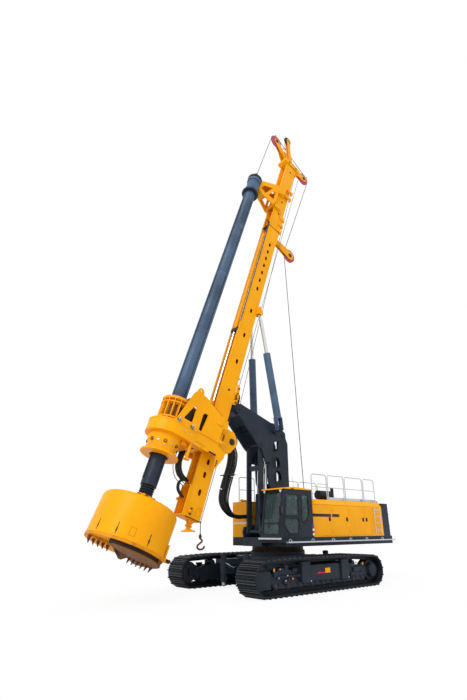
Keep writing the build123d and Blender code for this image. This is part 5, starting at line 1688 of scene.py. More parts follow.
@dataclass
class Seat:
    """The driver's seat: two crowned cushions, a headrest and arm pads on a steel pedestal."""

    middle: float = 1.14
    floor: float = 1.95

    def cushion(self, name: str, centre: Vector, size: tuple[float, float, float], axes: Matrix,
                crown: float) -> None:
        """One padded form, pinched at its edges and crowned on its face.

        Args:
            name: name of the piece.
            centre: its middle.
            size: its length, width and depth.
            axes: its turn; the third axis points out of its face.
            crown: how far its face swells.
        """
        bm = bmesh.new()
        bmesh.ops.create_cube(bm, size=1.0)
        bmesh.ops.subdivide_edges(bm, edges=bm.edges[:], cuts=9, use_grid_fill=True)
        for v in bm.verts:
            u, w, d = (c * 2 for c in v.co)
            round_off = (1 - abs(u) ** 4) * (1 - abs(w) ** 4)
            groove = 0.0 if d < 0 else 0.3 * (math.exp(-((w - 0.45) / 0.07) ** 2)
                                              + math.exp(-((w + 0.45) / 0.07) ** 2)
                                              + math.exp(-((u - 0.1) / 0.05) ** 2))
            pinch = 1 - 0.07 * (1 - round_off) * abs(d) ** 2
            x, y = u * pinch * size[0] / 2, w * pinch * size[1] / 2
            lift = crown * (round_off - groove * round_off) if d > 0 else 0.0
            z = d * size[2] / 2 * (0.72 + 0.28 * min(1.0, round_off * 1.6)) + lift * max(0.0, d)
            v.co = centre + axes @ Vector((x, y, z))
        bmesh.ops.recalc_face_normals(bm, faces=bm.faces)
        mesh = bpy.data.meshes.new(name)
        bm.to_mesh(mesh)
        bm.free()
        mesh.shade_smooth()
        piece = Shop.hand_in(bpy.data.objects.new(name, mesh), Coat.SEAT, "upper")
        smooth = piece.modifiers.new("smooth", "SUBSURF")
        smooth.levels = smooth.render_levels = 1
        self.pieces.append(piece)

    def build(self) -> None:
        """Shapes the seat in place of the plain one."""
        self.pieces: list[bpy.types.Object] = []
        base = Matrix.Identity(3)
        lean = Matrix.Rotation(math.radians(-8), 3, "Y") @ Matrix(((0, 0, 1), (0, -1, 0), (1, 0, 0)))
        self.cushion("seat_cushion", Vector((0.36, self.middle, self.floor + 0.45)), (0.54, 0.5, 0.13), base, 0.02)
        self.cushion("seat_back", Vector((0.08, self.middle, self.floor + 0.79)), (0.56, 0.46, 0.11), lean, 0.02)
        self.cushion("seat_headrest", Vector((0.02, self.middle, self.floor + 1.14)), (0.17, 0.26, 0.09), lean, 0.012)
        for i, turn in enumerate((1, -1)):
            self.cushion(f"seat_arm_{i + 1}", Vector((0.42, self.middle + turn * 0.34, self.floor + 0.675)),
                         (0.4, 0.08, 0.05), base, 0.008)
        frame = Sculpt("seat_frame")
        frame.slab(Vector((0.36, self.middle, self.floor + 0.3)), (0.42, 0.36, 0.1), edge=0.02)
        for k in range(5):
            frame.slab(Vector((0.35, self.middle, self.floor + 0.06 + 0.045 * k)), (0.36 - 0.02 * (k % 2),
                    0.3 - 0.02 * (k % 2), 0.04), edge=0.012)
        for turn in (1, -1):
            frame.slab(Vector((0.42, self.middle + turn * 0.34, self.floor + 0.33)), (0.5, 0.09, 0.6), edge=0.03,
                       segments=3)
        frame.slab(Vector((0.02, self.middle, self.floor + 0.8)), (0.03, 0.4, 0.6), Matrix.Rotation(math.radians(-8),
                3, "Y"), edge=0.012)
        self.pieces.append(frame.done(Coat.BLACK, "upper"))
        for piece in self.pieces:
            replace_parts(piece, "cab_seat")


@dataclass
class Winches:
    """Rope wound on the two winch drums, with their gearcases."""

    rope: float = 0.016

    def drum(self, joint: str, node: str, name: str) -> None:
        """The wound rope and the bolted gearcase cover of one drum.

        Args:
            joint: the drum's joint.
            node: the drum's name.
            name: first part of the names of its pieces.
        """
        low, high = Rig.box(node)
        centre = Rig.pin(joint)
        axis = Rig.line(joint)
        half = (high.y - low.y) / 2 - 0.07
        outer = (high.z - low.z) / 2
        mid = (high.y + low.y) / 2
        radius = outer * 0.78
        turns = int(2 * half / (2.1 * self.rope))
        wound = Sculpt(f"{name}_rope")
        wound.coil(Vector((centre.x, mid - half, centre.z)), axis, radius, self.rope, turns, 2.1 * self.rope, 28, 6)
        wound.done(Coat.STEEL, joint.replace("_spin", "_drum"))
        side = axis.orthogonal().normalized()
        cover = Sculpt(f"{name}_gearcase")
        face = Vector((centre.x, high.y, centre.z))
        cover.turned(face, axis, [(0.0, 0.05), (outer * 0.3, 0.05), (outer * 0.36, 0.03), (outer * 0.5, 0.02),
                                  (outer * 0.5, -0.01)], 32)
        cover.bolts([face + (Matrix.Rotation(math.tau * i / 10, 3, axis) @ side) * outer * 0.43 + axis * 0.02
                     for i in range(10)], axis, 0.03, 0.02)
        cover.done(Coat.BLACK, joint.replace("_spin", "_drum"))

    def frame(self) -> None:
        """The auxiliary winch's cheeks with their window, hub discs and tie bars, and a dark plate of painted shade
        behind each window.
        """
        form, dark = Sculpt("aux_winch_cheeks"), Sculpt("aux_winch_hubs_and_shade_plate")
        cheek = ((5.265, 4.79), (5.1, 4.83), (4.43, 4.82), (4.22, 4.6), (4.15, 4.35), (4.37, 3.96), (4.68, 3.7),
                 (5.1, 3.7), (5.265, 3.76))
        window = ((4.86, 4.12), (5.14, 4.12), (5.14, 4.52), (4.86, 4.52))
        for turn in (1, -1):
            y = turn * 0.335
            form.cutout(MAST.outline(cheek, y), [MAST.outline(window, y)], -Y * turn * 0.044)
            hub = MAST.at(4.43, y, 4.4)
            dark.turned(hub, Y * turn, [(0.0, 0.05), (0.07, 0.05), (0.08, 0.035), (0.13, 0.03), (0.14, 0.0)], 32)
            dark.bolts([hub + (MAST.forward * math.cos(a) + MAST.up * math.sin(a)) * 0.105 + Y * turn * 0.03
                        for a in (math.tau * k / 10 for k in range(10))], Y * turn, 0.028, 0.018)
            # Dark plate behind each cheek window: painted shade of the gap between the cheek and the sled.
            dark.block(5.0, turn * 0.24, 4.32, (0.26, 0.02, 0.38), edge=0.006)
        for q, s in ((4.3, 3.99), (5.2, 3.74), (4.66, 3.72), (4.4, 4.8)):
            form.rod(q + 0.04, (-0.3, 0.3), s, 0.03, sides=14, edge=0.004)
        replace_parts(form.done(Coat.YELLOW, "mast"), "aux_winch_frame")
        dark.done(Coat.STEEL, "mast")
        roller = Sculpt("aux_rope_roller")
        roller.rod(4.72, (-0.27, 0.27), 3.66, 0.05, sides=20, edge=0.008)
        roller.done(Coat.STEEL, "mast")

    def build(self) -> None:
        """Dresses both winches."""
        coat_cad(Coat.STEEL, "winch_drum", "aux_winch_drum")
        coat_cad(Coat.YELLOW, "aux_winch_frame")
        self.drum("main_winch_spin", "winch_drum", "main_winch")
        self.drum("aux_winch_spin", "aux_winch_drum", "aux_winch")
        self.frame()


# ---------------------------------------------------------------- luffing gear and props


@dataclass
class LuffingGear:
    """Arms, triangle frame, luffing cylinders and the two mast props."""

    eyes: tuple[tuple[float, float], ...] = ((0.31, 4.92), (0.25, 4.33))

    def finishes(self) -> None:
        """Paints the CAD nodes."""
        coat_cad(Coat.SLATE, "rear_arm", "front_link", "triangle_frame", "luff_barrels", "prop_yokes", "cross_joint")
        coat_cad(Coat.KELLY, "prop_barrel_left", "prop_barrel_right")
        coat_cad(Coat.CHROME, "luff_rods", "prop_rod_left", "prop_rod_right")

    def keepers(self) -> None:
        """Pin keeper plates with two bolts each, on both sides of the pins."""
        for joint, y, body in (("luff", 0.43, "upper"), ("luff_level", 0.5, "triangle_frame"),
                               ("mast_tilt", 0.44, "cross_joint")):
            pin = Rig.pin(joint)
            plate = Sculpt(f"{joint}_keepers")
            for side in (-1, 1):
                face = Vector((pin.x, side * (y + 0.005), pin.z))
                plate.slab(face + Vector((0, 0, 0.05)), (0.16, 0.014, 0.05), edge=0.004)
                plate.bolts([face + Vector((d, side * 0.007, 0.05)) for d in (-0.055, 0.055)], Vector((0, side, 0)),
                            0.03, 0.016)
            plate.done(Coat.SLATE, body)

    def arm(self) -> None:
        """The rear arm's two plates with lined eyes, its cross boxes and its bosses."""
        foot, head, face, thick = Rig.pin("luff"), Vector((-0.1, 0.0, 6.15)), 0.425, 0.09
        outline = ((-0.19, 2.51), (0.15, 2.51), (0.31, 2.86), (0.8, 4.1), (0.84, 5.0), (0.86, 5.22), (0.7, 5.36),
                   (0.18, 5.44), (0.15, 6.21),
                   (0.02, 6.36), (-0.23, 6.36), (-0.47, 5.85), (-0.44, 3.0))
        form = Sculpt("rear_arm_plates")
        window = side_on(((-0.33, 4.1), (0.28, 4.1), (0.34, 4.25), (0.34, 5.2), (0.0, 5.75), (-0.33, 5.75)), -face)
        eyes = [self.eye(x, face, z, 0.0) for x, z in self.eyes]
        for side, gaps in ((1, eyes), (-1, [window])):
            pins = [self.circle(foot.x, side * face, foot.z, 0.086), self.circle(head.x, side * face, head.z, 0.076)]
            form.cutout(side_on(outline, side * face), gaps + pins, -Y * side * thick)
        for x, z in self.eyes:
            form.cutout(self.eye(x, face + 0.012, z, 0.02), [self.eye(x, face + 0.012, z, 0.0)], -Y * 0.2)
        inner = face - thick
        for z, tall in ((3.72, 1.04), (5.62, 0.16)):
            form.slab(Vector((-0.395, 0, z)), (0.07, 2 * inner, tall), edge=0.006)
        form.slab(Vector((-0.2, 0, 3.6)), (0.45, 2 * inner, 0.2), edge=0.01)
        for x, z, radius, bore in ((foot.x, foot.z, 0.15, 0.086), (head.x, head.z, 0.14, 0.076)):
            form.cutout(self.circle(x, inner, z, radius), [self.circle(x, inner, z, bore)], -Y * 2 * inner)
        form.bar(Vector((0.72, -inner, 5.18)), Vector((0.72, inner, 5.18)), 0.05, sides=20)
        for side in (-1, 1):
            form.cutout(self.circle(0.72, side * (face + 0.015), 5.18, 0.12),
                        [self.circle(0.72, side * (face + 0.015), 5.18, 0.03)], -Y * side * 0.03)
        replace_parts(form.done(Coat.SLATE, "rear_arm"), "rear_arm")

    def circle(self, x: float, y: float, z: float, radius: float) -> list[Vector]:
        """A circle in a plane along the machine.

        Args:
            x: the middle's place along.
            y: the plane's distance across.
            z: the middle's height.
            radius: its radius.

        Returns:
            Its points in order.
        """
        return [Vector((x + radius * math.cos(a), y, z + radius * math.sin(a))) for a in (math.tau * k / 32
                for k in range(32))]

    def eye(self, x: float, y: float, z: float, grow: float) -> list[Vector]:
        """An oval eye in a plane along the machine.

        Args:
            x: the middle's place along.
            y: the plane's distance across.
            z: the middle's height.
            grow: how much wider it is than the bare opening.

        Returns:
            Its points in order.
        """
        r, run = 0.21 + grow, 0.05
        return [Vector((x + r * math.cos(a), y, z + r * math.sin(a) + math.copysign(run, math.sin(a))))
                for a in (math.tau * (k + 0.5) / 32 for k in range(32))]

    def build(self) -> None:
        """Dresses the gear."""
        self.finishes()
        self.keepers()
        self.arm()


# ---------------------------------------------------------------- mast


@dataclass
class Mast:
    """The mast's box lengths, head, bolted joints, clips, ropes, hook and sheaves."""

    rope: float = 0.016
    thin: float = 0.011
    joint_s: float = 17.0
    top_s: float = 22.85
    front_tip: tuple[float, float] = (6.75, 24.08)
    rear_tip: tuple[float, float] = (4.0, 23.3)
    hook_tip: tuple[float, float] = (6.08, 24.8)
    rear: float = 4.9
    front: float = 5.6
    half: float = 0.29
    wall: float = 0.03
    web: float = 5.465
    rail: float = 0.08
    hole_q: float = 5.26
    hole: tuple[float, float] = (0.25, 0.14)
    lower_holes: tuple[float, ...] = (1.93, 2.63, 3.16, 8.0, 9.5, 11.0, 12.47, 13.07, 13.61, 14.13, 14.65, 15.16,
                                      15.7)
    upper_holes: tuple[float, ...] = (18.32, 18.85, 19.37, 22.29)

    def finishes(self) -> None:
        """Paints the CAD nodes."""
        coat_cad(Coat.YELLOW, "lower_mast", "upper_mast", "mast_head", "rope_guide", "crowd_barrel")
        coat_cad(Coat.ROSE, "front_sheave", "rear_sheave", "guide_sheave")
        coat_cad(Coat.STEEL, "hook_sheave")

    def length(self, form: Sculpt, s0: float, s1: float, slots: tuple[float, ...], rounds: tuple[float, ...]) -> None:
        """One box length: two pierced side webs, the rear plate, the front channel and its rails.

        Args:
            form: the piece that it is added to.
            s0: level of its foot.
            s1: level of its top.
            slots: levels of the oval holes.
            rounds: levels of the round holes.
        """
        middle, tall = (s0 + s1) / 2, s1 - s0
        for side in (-1, 1):
            y = side * self.half
            corners = MAST.outline(((self.rear, s0), (self.front, s0), (self.front, s1), (self.rear, s1)), y)
            holes = [MAST.oval(self.hole_q, y, s, *self.hole) for s in slots]
            holes += [MAST.oval(self.hole_q, y, s, self.hole[1], self.hole[1]) for s in rounds]
            form.cutout(corners, holes, Y * -side * self.wall)
            form.block((self.web + self.front) / 2, side * 0.22, middle, (self.front - self.web, 0.08, tall),
                       edge=0.004)
            form.block(self.front + self.rail / 2, side * 0.2425, middle, (self.rail, 0.095, tall), edge=0.006)
        form.block(self.rear + self.wall / 2, 0, middle, (self.wall, 2 * self.half - 0.002, tall), edge=0.004)
        form.block(self.web - self.wall / 2, 0, middle, (self.wall, 2 * self.half - 2 * self.wall, tall), edge=0.004)

    def lower(self) -> None:
        """The lower length with its foot, swivel pad, cylinder lugs and end frame."""
        form = Sculpt("lower_mast_box")
        self.length(form, 0.92, self.joint_s - 0.0004, self.lower_holes, ())
        form.block(5.29, 0, 0.94, (0.78, 0.58, 0.04), edge=0.004)
        form.block(4.91, 0, 11.25, (0.04, 0.97, 0.42), edge=0.006)
        for side in (-1, 1):
            for way in (-1, 1):
                y = side * (0.298 + way * 0.148)
                form.plate(MAST.outline(((4.905, 11.04), (4.71, 11.04), (4.64, 11.13), (4.68, 11.23), (4.905, 11.43)),
                                        y - 0.02), Y * 0.04, 0.004)
        tip = MAST.measure(Rig.pin("mast_side_tilt"))
        form.bar(MAST.at(4.888, 0, tip[2]), MAST.at(4.905, 0, tip[2]), 0.25, sides=40, edge=0.003)
        for k in range(9):
            form.block(5.25, self.half + 0.002, 7.3 + k * 0.12, (0.004, 0.005, 0.03), edge=0.001)
        piece = form.done(Coat.YELLOW, "mast")
        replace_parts(piece, "lower_mast")
        foot = Sculpt("mast_foot_pad")
        centre = MAST.at(5.15, 0, 0.92)
        foot.turned(centre, -MAST.up, [(0.0, 0.0), (0.16, 0.0), (0.15, 0.06), (0.11, 0.1), (0.1, 0.16), (0.13, 0.18),
                                       (0.14, 0.21), (0.1, 0.24), (0.0, 0.24)], 40)
        ball = centre - MAST.up * 0.24
        foot.turned(ball, -Z, [(0.0, -0.05), (0.06, -0.04), (0.075, 0.0), (0.08, 0.05), (0.12, 0.08), (0.22, 0.11),
                               (0.27, 0.125), (0.27, 0.15), (0.25, 0.165), (0.0, 0.165)], 40)
        piece = foot.done(Coat.YELLOW, "mast")
        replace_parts(piece, "lower_mast")
        trim = Sculpt("mast_foot_frame")
        for side in (-1, 1):
            trim.block(5.72, side * 0.27, 1.5, (0.07, 0.03, 1.1), edge=0.005)
        trim.block(5.74, 0, 2.06, (0.05, 0.58, 0.03), edge=0.005)
        trim.block(5.72, 0, 0.95, (0.09, 0.58, 0.03), edge=0.005)
        for s in (1.2, 1.45, 1.75):
            trim.bar(MAST.at(5.6, 0.1, s), MAST.at(5.71, 0.1, s), 0.012, sides=12)
        trim.rod(5.5, (0.29, 0.36), 1.15, 0.075, sides=20, edge=0.012)
        trim.rod(5.74, (-0.27, -0.37), 1.55, 0.06, sides=20, edge=0.012)
        trim.ring(MAST.at(5.12, 0.3, 1.25), Y, 0.11, 0.012, 28, 8, stretch=1.6, along=MAST.up)
        trim.ring(MAST.at(5.02, 0.3, 1.35), Y, 0.06, 0.008, 24, 8, stretch=1.4, along=MAST.up)
        trim.done(Coat.YELLOW, "mast")
        knob = Sculpt("mast_foot_valve")
        knob.rod(5.44, (0.29, 0.36), 1.25, 0.035, sides=16, edge=0.006)
        knob.block(5.45, 0.33, 1.1, (0.05, 0.05, 0.16), edge=0.01)
        knob.done(Coat.RUST, "mast")

    def upper(self) -> None:
        """The upper length with the brackets of the folding joint."""
        form = Sculpt("upper_mast_box")
        self.length(form, self.joint_s, self.top_s, (), self.upper_holes)
        form.block(5.25, 0, self.top_s - 0.02, (0.7, 0.58, 0.04), edge=0.004)
        for s in (17.055, 17.545, 18.065):
            form.block(4.95, 0, s, (0.38, 0.7, 0.09), edge=0.012)
            for side in (-1, 1):
                form.plate([MAST.at(q, side * 0.31, s + d) for q, d in ((4.77, 0.045), (5.15, 0.045), (5.13, 0.3),
                        (4.98, 0.34))], Y * side * 0.03, 0.004)
                form.bar(MAST.at(4.83, side * 0.24, s - 0.1), MAST.at(4.83, side * 0.24, s + 0.12), 0.035, sides=12,
                         edge=0.004)
        for side in (-1, 1):
            form.plate(MAST.outline(((4.88, 16.0), (5.3, 15.9), (5.44, 16.3), (5.44, 16.95), (4.88, 16.95)),
                                    side * self.half), Y * side * 0.016, 0.003)
        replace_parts(form.done(Coat.YELLOW, "mast"), "upper_mast")
        gap = Sculpt("mast_joint_gap")
        gap.block(5.3, 0, self.joint_s + 0.002, (0.8, 0.62, 0.014), edge=0.003)
        gap.done(Coat.STEEL, "mast")

    def bracket(self, form: Sculpt, q: float, s: float, y: float, root: tuple[float, float], cheek: float,
                back: float = 0.17) -> None:
        """Two cheek plates from a root to a sheave, rounded over the sheave's middle.

        Args:
            form: the piece that it is added to.
            q: the sheave's distance forward.
            s: the sheave's distance up.
            y: the sheave's distance across.
            root: distance forward and up of its root.
            cheek: the plates' radius round the sheave.
            back: half the plates' width at the root.
        """
        run = MAST.at(q, 0, s) - MAST.at(root[0], 0, root[1])
        along = run.normalized()
        across = Y.cross(along)
        for side in (-1, 1):
            base = Y * (y + side * 0.06)
            end = MAST.at(q, 0, s) + base
            start = MAST.at(root[0], 0, root[1]) + base
            arc = [end + along * cheek * math.sin(a) + across * cheek * math.cos(a) for a in (math.radians(d)
                    for d in range(-20, 201, 20))]
            form.plate([start + across * back, *arc, start - across * back][::-1], Y * side * 0.03, 0.004)
        form.rod(q, (y - 0.12, y + 0.12), s, 0.06, sides=20, edge=0.006)

    def head(self) -> None:
        """The head block, its sheave arms with their cross bars, guards and ladder rungs."""
        form = Sculpt("mast_head_block")
        s0, s1 = self.top_s + 0.0003, self.top_s + 0.3
        for side in (-1, 1):
            form.cutout(MAST.outline(((4.6, s0), (5.9, s0), (5.9, s1), (4.6, s1)), side * 0.33),
                        [MAST.oval(4.95, side * 0.33, s0 + 0.15, 0.16, 0.16), MAST.oval(5.55, side * 0.33, s0 + 0.15,
                                0.16, 0.16)], -Y * side * 0.03)
            form.plate(MAST.outline(((5.9, s0), (5.9, s1), (6.25, s1 + 0.46), (5.9, s1 + 0.6), (5.3, s1)),
                                    side * 0.15 - 0.02), Y * 0.04, 0.005)
        form.block(5.25, 0, s0 + 0.015, (1.3, 0.64, 0.03), edge=0.004)
        form.block(5.25, 0, s1 - 0.015, (1.3, 0.64, 0.03), edge=0.004)
        for q in (4.62, 5.88):
            form.block(q, 0, (s0 + s1) / 2, (0.03, 0.64, s1 - s0), edge=0.004)
        root = (5.4, s0 + 0.18)
        for q, s, y, cheek in ((*self.front_tip, 0.0, 0.2), (*self.rear_tip, 0.0, 0.22), (*self.hook_tip, 0.18,
                0.12)):
            self.bracket(form, q, s, y, root, cheek, 0.13 if y == 0 else 0.09)
        for t in (0.35, 0.6, 0.8):
            spot = MAST.at(5.4 + 1.35 * t, 0, root[1] + (self.front_tip[1] - root[1]) * t)
            form.slab(spot, (0.05, 0.16, 0.12), MAST.axes, edge=0.008)
        for t in (0.3, 0.5, 0.72):
            a, b = MAST.at(5.4 + 1.35 * t, 0, root[1] + (self.front_tip[1] - root[1]) * t), MAST.at(5.4 + 0.68 * t,
                    0.1, root[1] + (self.hook_tip[1] - root[1]) * t)
            form.bar(a, b, 0.03, sides=10, edge=0.004)
        form.bar(MAST.at(4.55, -0.2, s1), MAST.at(5.95, 0.18, 24.72), 0.022, sides=10)
        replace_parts(form.done(Coat.YELLOW, "mast"), "mast_head")
        guard = Sculpt("head_rope_guards")
        for q, s, lean in ((*self.front_tip, 60), (*self.rear_tip, 120)):
            a = math.radians(lean)
            out = MAST.forward * math.cos(a) + MAST.up * math.sin(a)
            guard.bar(MAST.at(q, -0.1, s) + out * 0.43, MAST.at(q, 0.1, s) + out * 0.43, 0.02, sides=12, edge=0.004)
        guard.done(Coat.STEEL, "mast")

    def guide(self) -> None:
        """The rear bracket and cheeks of the rope guide sheave."""
        form = Sculpt("rope_guide_arm")
        form.block(4.87, 0, 16.575, (0.0594, 0.4, 0.65), edge=0.006)
        self.bracket(form, 3.6, 16.47, 0.0, (4.86, 16.6), 0.27, 0.16)
        form.block(4.5, 0, 16.57, (0.12, 0.12, 0.22), edge=0.01)
        form.block(4.15, 0, 16.53, (0.08, 0.12, 0.2), edge=0.01)
        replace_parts(form.done(Coat.YELLOW, "mast"), "rope_guide")

    def sheaves(self) -> None:
        """Hubs of the sheaves outside their cheek plates."""
        for sheave in ("front_sheave", "rear_sheave", "guide_sheave"):
            hub = Sculpt(f"{sheave}_caps")
            pin = Rig.pin(f"{sheave}_spin")
            for out in (1, -1):
                hub.turned(Vector((pin.x, out * 0.092, pin.z)), Y * out, [(0.0, 0.03), (0.06, 0.03), (0.075, 0.018),
                        (0.12, 0.014), (0.12, 0.0)], 24)
            hub.done(Coat.STEEL, "mast")
        sheave = Rig.pin("hook_sheave_spin")
        cap = Sculpt("hook_sheave_caps")
        for y in (0.28, 0.08):
            cap.bar(Vector((sheave.x, y - 0.012, sheave.z)), Vector((sheave.x, y + 0.012, sheave.z)), 0.07, sides=18,
                    edge=0.005)
        cap.done(Coat.STEEL, "mast")

    def clips(self) -> None:
        """Pipes up the mast's rear and front edge with their clips, and the loop at the folding joint."""
        for i, y in enumerate((-0.16, -0.09)):
            Shop.tube(f"mast_pipe_{i + 1}", [MAST.at(4.86, y, 5.6), MAST.at(4.86, y, 16.2)], 0.016, Coat.STEEL,
                      "mast", smooth=False)
        clip = Sculpt("mast_pipe_clips")
        for k in range(12):
            clip.block(4.872, -0.125, 6.0 + 0.9 * k, (0.05, 0.16, 0.04), edge=0.008)
        for k in range(16):
            clip.block(5.7, 0.27, 10.6 + 0.41 * k, (0.04, 0.03, 0.05), edge=0.006)
        clip.bar(MAST.at(5.68, 0.22, 18.2), MAST.at(5.78, 0.22, 18.2), 0.05, sides=16, edge=0.008)
        clip.done(Coat.STEEL, "mast")
        edge = [MAST.at(5.71, 0.3, 10.1), MAST.at(5.71, 0.3, 16.6)]
        Shop.tube("front_edge_hose", edge, 0.017, Coat.BLACK, "mast", smooth=False)
        Shop.tube("front_edge_pipe", [p - Y * 0.05 for p in edge], 0.013, Coat.SILVER, "mast", smooth=False)
        loop = [MAST.at(5.71, 0.3, 16.6), MAST.at(5.73, 0.31, 17.0), MAST.at(5.86, 0.31, 17.25),
                MAST.at(5.96, 0.3, 17.0), MAST.at(5.9, 0.3, 16.6), MAST.at(5.74, 0.28, 16.4)]
        Shop.tube("joint_hose_loop", loop, 0.02, Coat.RUBBER, "mast")
        Shop.tube("joint_hose_bow", [MAST.at(5.68, 0.3, 17.1), MAST.at(5.82, 0.3, 17.25), MAST.at(5.86, 0.3, 17.05),
                                     MAST.at(5.68, 0.3, 16.9)], 0.018, Coat.RUBBER, "mast")
        gland = Sculpt("crowd_gland")
        gland.turned(MAST.at(5.66, 0, 9.57), MAST.up, [(0.064, -0.05), (0.1, -0.05), (0.115, -0.03), (0.115, 0.12),
                                                       (0.101, 0.14)], 28)
        gland.block(5.66, 0.16, 9.66, (0.12, 0.16, 0.2), edge=0.012)
        gland.block(5.66, -0.16, 9.66, (0.12, 0.16, 0.2), edge=0.012)
        gland.done(Coat.STEEL, "mast")

    def elbow_hoses(self) -> None:
        """The tangle of hoses and fittings behind the mast above its pivot."""
        for k in range(6):
            y = 0.02 + 0.05 * k
            points = [MAST.at(4.87, y, 6.75 - 0.06 * k), MAST.at(4.72 - 0.02 * k, y, 6.7), MAST.at(4.55, y + 0.02,
                    6.45 - 0.05 * k), MAST.at(4.6, y + 0.05, 6.15), MAST.at(4.76, y + 0.03, 6.0 - 0.03 * k)]
            Shop.tube(f"mast_elbow_hose_{k + 1}", points, 0.018, Coat.RUBBER if k % 3 else Coat.SILVER, "mast")
        block = Sculpt("mast_valve_plate")
        block.plate(MAST.outline(((4.9, 5.95), (4.72, 6.0), (4.66, 6.35), (4.72, 6.9), (4.9, 7.0)), 0.3), Y * 0.02,
                    0.004)
        block.block(4.82, 0.22, 6.35, (0.14, 0.2, 0.3), edge=0.012)
        block.rod(4.9, (0.29, 0.34), 7.25, 0.05, sides=18, edge=0.008)
        block.done(Coat.YELLOW, "mast")
        dark = Sculpt("mast_valve_caps")
        for s in (6.1, 6.3, 6.55, 6.8):
            dark.rod(4.78, (0.3, 0.37), s, 0.035, sides=14, edge=0.005)
        dark.rod(5.26, (0.285, 0.3), 6.5, 0.055, sides=18, edge=0.004)
        dark.done(Coat.STEEL, "mast")

    def head_lamps(self) -> None:
        """The obstruction lamp on the mast head."""
        spot = MAST.at(5.3, -0.1, self.top_s + 0.3)
        lamp = Sculpt("obstruction_lamp").turned(spot, MAST.up, [(0.0, 0.0), (0.05, 0.0), (0.05, 0.04), (0.04, 0.05),
                                                                 (0.04, 0.12), (0.0, 0.14)], 20)
        lamp.done(Coat.RED, "mast")

    def main_rope(self) -> None:
        """The main rope: winch, guide sheave, head sheaves and down to the swivel."""
        winch, guide = Rig.pin("main_winch_spin"), Rig.pin("guide_sheave_spin")
        rear, front = Rig.pin("rear_sheave_spin"), Rig.pin("front_sheave_spin")
        groove = 0.41

        def rim(sheave: Vector, ahead: float, above: float) -> Vector:
            """A point near a sheave's groove, by shares of its radius."""
            return sheave + Vector((groove * ahead, 0, groove * above))

        low_turn = rim(guide, 0.985, -0.17)
        high_turn = rim(guide, 0.93, 0.37)
        start = winch + Vector((-0.27, 0.03, 0.0))
        run = low_turn - start
        Shop.across_joints("winch_rope", [[start + run * k / 24 for k in range(25)]], self.rope, Coat.STEEL,
                           ["upper", "rear_arm", "triangle_frame", "cross_joint", "mast"],
                           [start + run * t for t in (0.03, 0.12, 0.3, 0.85, 0.97)])
        over_rear = rim(rear, -0.93, -0.37)
        crown_rear = rim(rear, -0.56, 0.83)
        crown_front = rim(front, -0.56, 0.83)
        drop = front + MAST.forward * groove
        swivel = MAST.at(KELLY_Q, 0.0, 20.05)
        rows = ("head_rope", [low_turn, rim(guide, 1.0, 0.1), high_turn]), \
               ("mast_rope", [high_turn, over_rear]), \
               ("rear_sheave_rope", [over_rear, rim(rear, -1.05, 0.32), crown_rear]), \
               ("crown_rope", [crown_rear, crown_front]), \
               ("front_sheave_rope", [crown_front, rim(front, 0.0, 1.08), rim(front, 0.85, 0.75), drop])
        for name, points in rows:
            Shop.tube(name, points, self.rope, Coat.STEEL, "mast", smooth=len(points) > 2)
        hang = Shop.tubes("kelly_rope", [[drop + (swivel - drop) * k / 12 for k in range(13)]], self.rope, Coat.STEEL)
        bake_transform(hang)
        log.info("kelly_rope crosses from mast to kelly_guide")

    def hook_line(self) -> None:
        """The service rope down the mast's rear and its hook, tied at the foot."""
        top, foot = MAST.at(4.42, 0.12, self.top_s), MAST.at(4.86, 0.28, 0.95)
        Shop.tube("service_rope", [top, foot], self.thin, Coat.STEEL, "mast", smooth=False)
        ball = foot + Vector((0, 0, -0.42))
        Shop.tube("hook_rope", [foot, ball], self.thin * 1.3, Coat.STEEL, "mast", smooth=False)
        weight = Sculpt("hook_swivel").turned(ball, -Z, [(0.0, -0.02), (0.025, -0.02), (0.05, 0.03), (0.06, 0.08),
                                                         (0.04, 0.13), (0.02, 0.16), (0.0, 0.16)], 28)
        weight.done(Coat.HOOK, "mast")
        k = ball + Vector((0, 0, -0.14))
        bend = [(0.0, 0.0), (-0.05, -0.04), (-0.06, -0.1), (0.02, -0.17), (0.09, -0.25), (0.07, -0.34),
                (-0.02, -0.38), (-0.11, -0.33), (-0.12, -0.25)]
        hook = Shop.tube("hook", [k + Vector((a, -a * 0.8, b)) for a, b in bend], 0.032, Coat.HOOK, "mast")
        hook.data.bevel_resolution = 4
        Sculpt("hook_tie").ring(foot, Y, 0.03, 0.008, 20, 6).done(Coat.STEEL, "mast")

    def aux_rope(self) -> None:
        """The auxiliary rope from its drum up the mast's rear into the head, and over the hook sheave."""
        drum = Rig.pin("aux_winch_spin")
        start = drum - MAST.forward * 0.2
        Shop.tube("aux_rope", [start, MAST.at(4.68, 0.0, self.top_s)], self.thin, Coat.STEEL, "mast", smooth=False)
        sheave = Rig.pin("hook_sheave_spin")
        centre = Vector((sheave.x, 0.18, sheave.z))
        arc = [centre + Vector((math.cos(a), 0, math.sin(a))) * 0.243 for a in (math.radians(d) for d in (200, 165,
                130, 95, 60, 25, -10))]
        Shop.tube("hook_sheave_rope", [MAST.at(5.3, 0.18, self.top_s + 0.31), *arc,
                                       MAST.at(5.85, 0.18, self.top_s + 0.31)], self.thin, Coat.STEEL, "mast")

    def build(self) -> None:
        """Dresses the whole mast."""
        self.finishes()
        self.lower()
        self.upper()
        self.head()
        self.guide()
        self.sheaves()
        self.clips()
        self.elbow_hoses()
        self.head_lamps()
        self.main_rope()
        self.hook_line()
        self.aux_rope()


# ---------------------------------------------------------------- drive, kelly and bucket


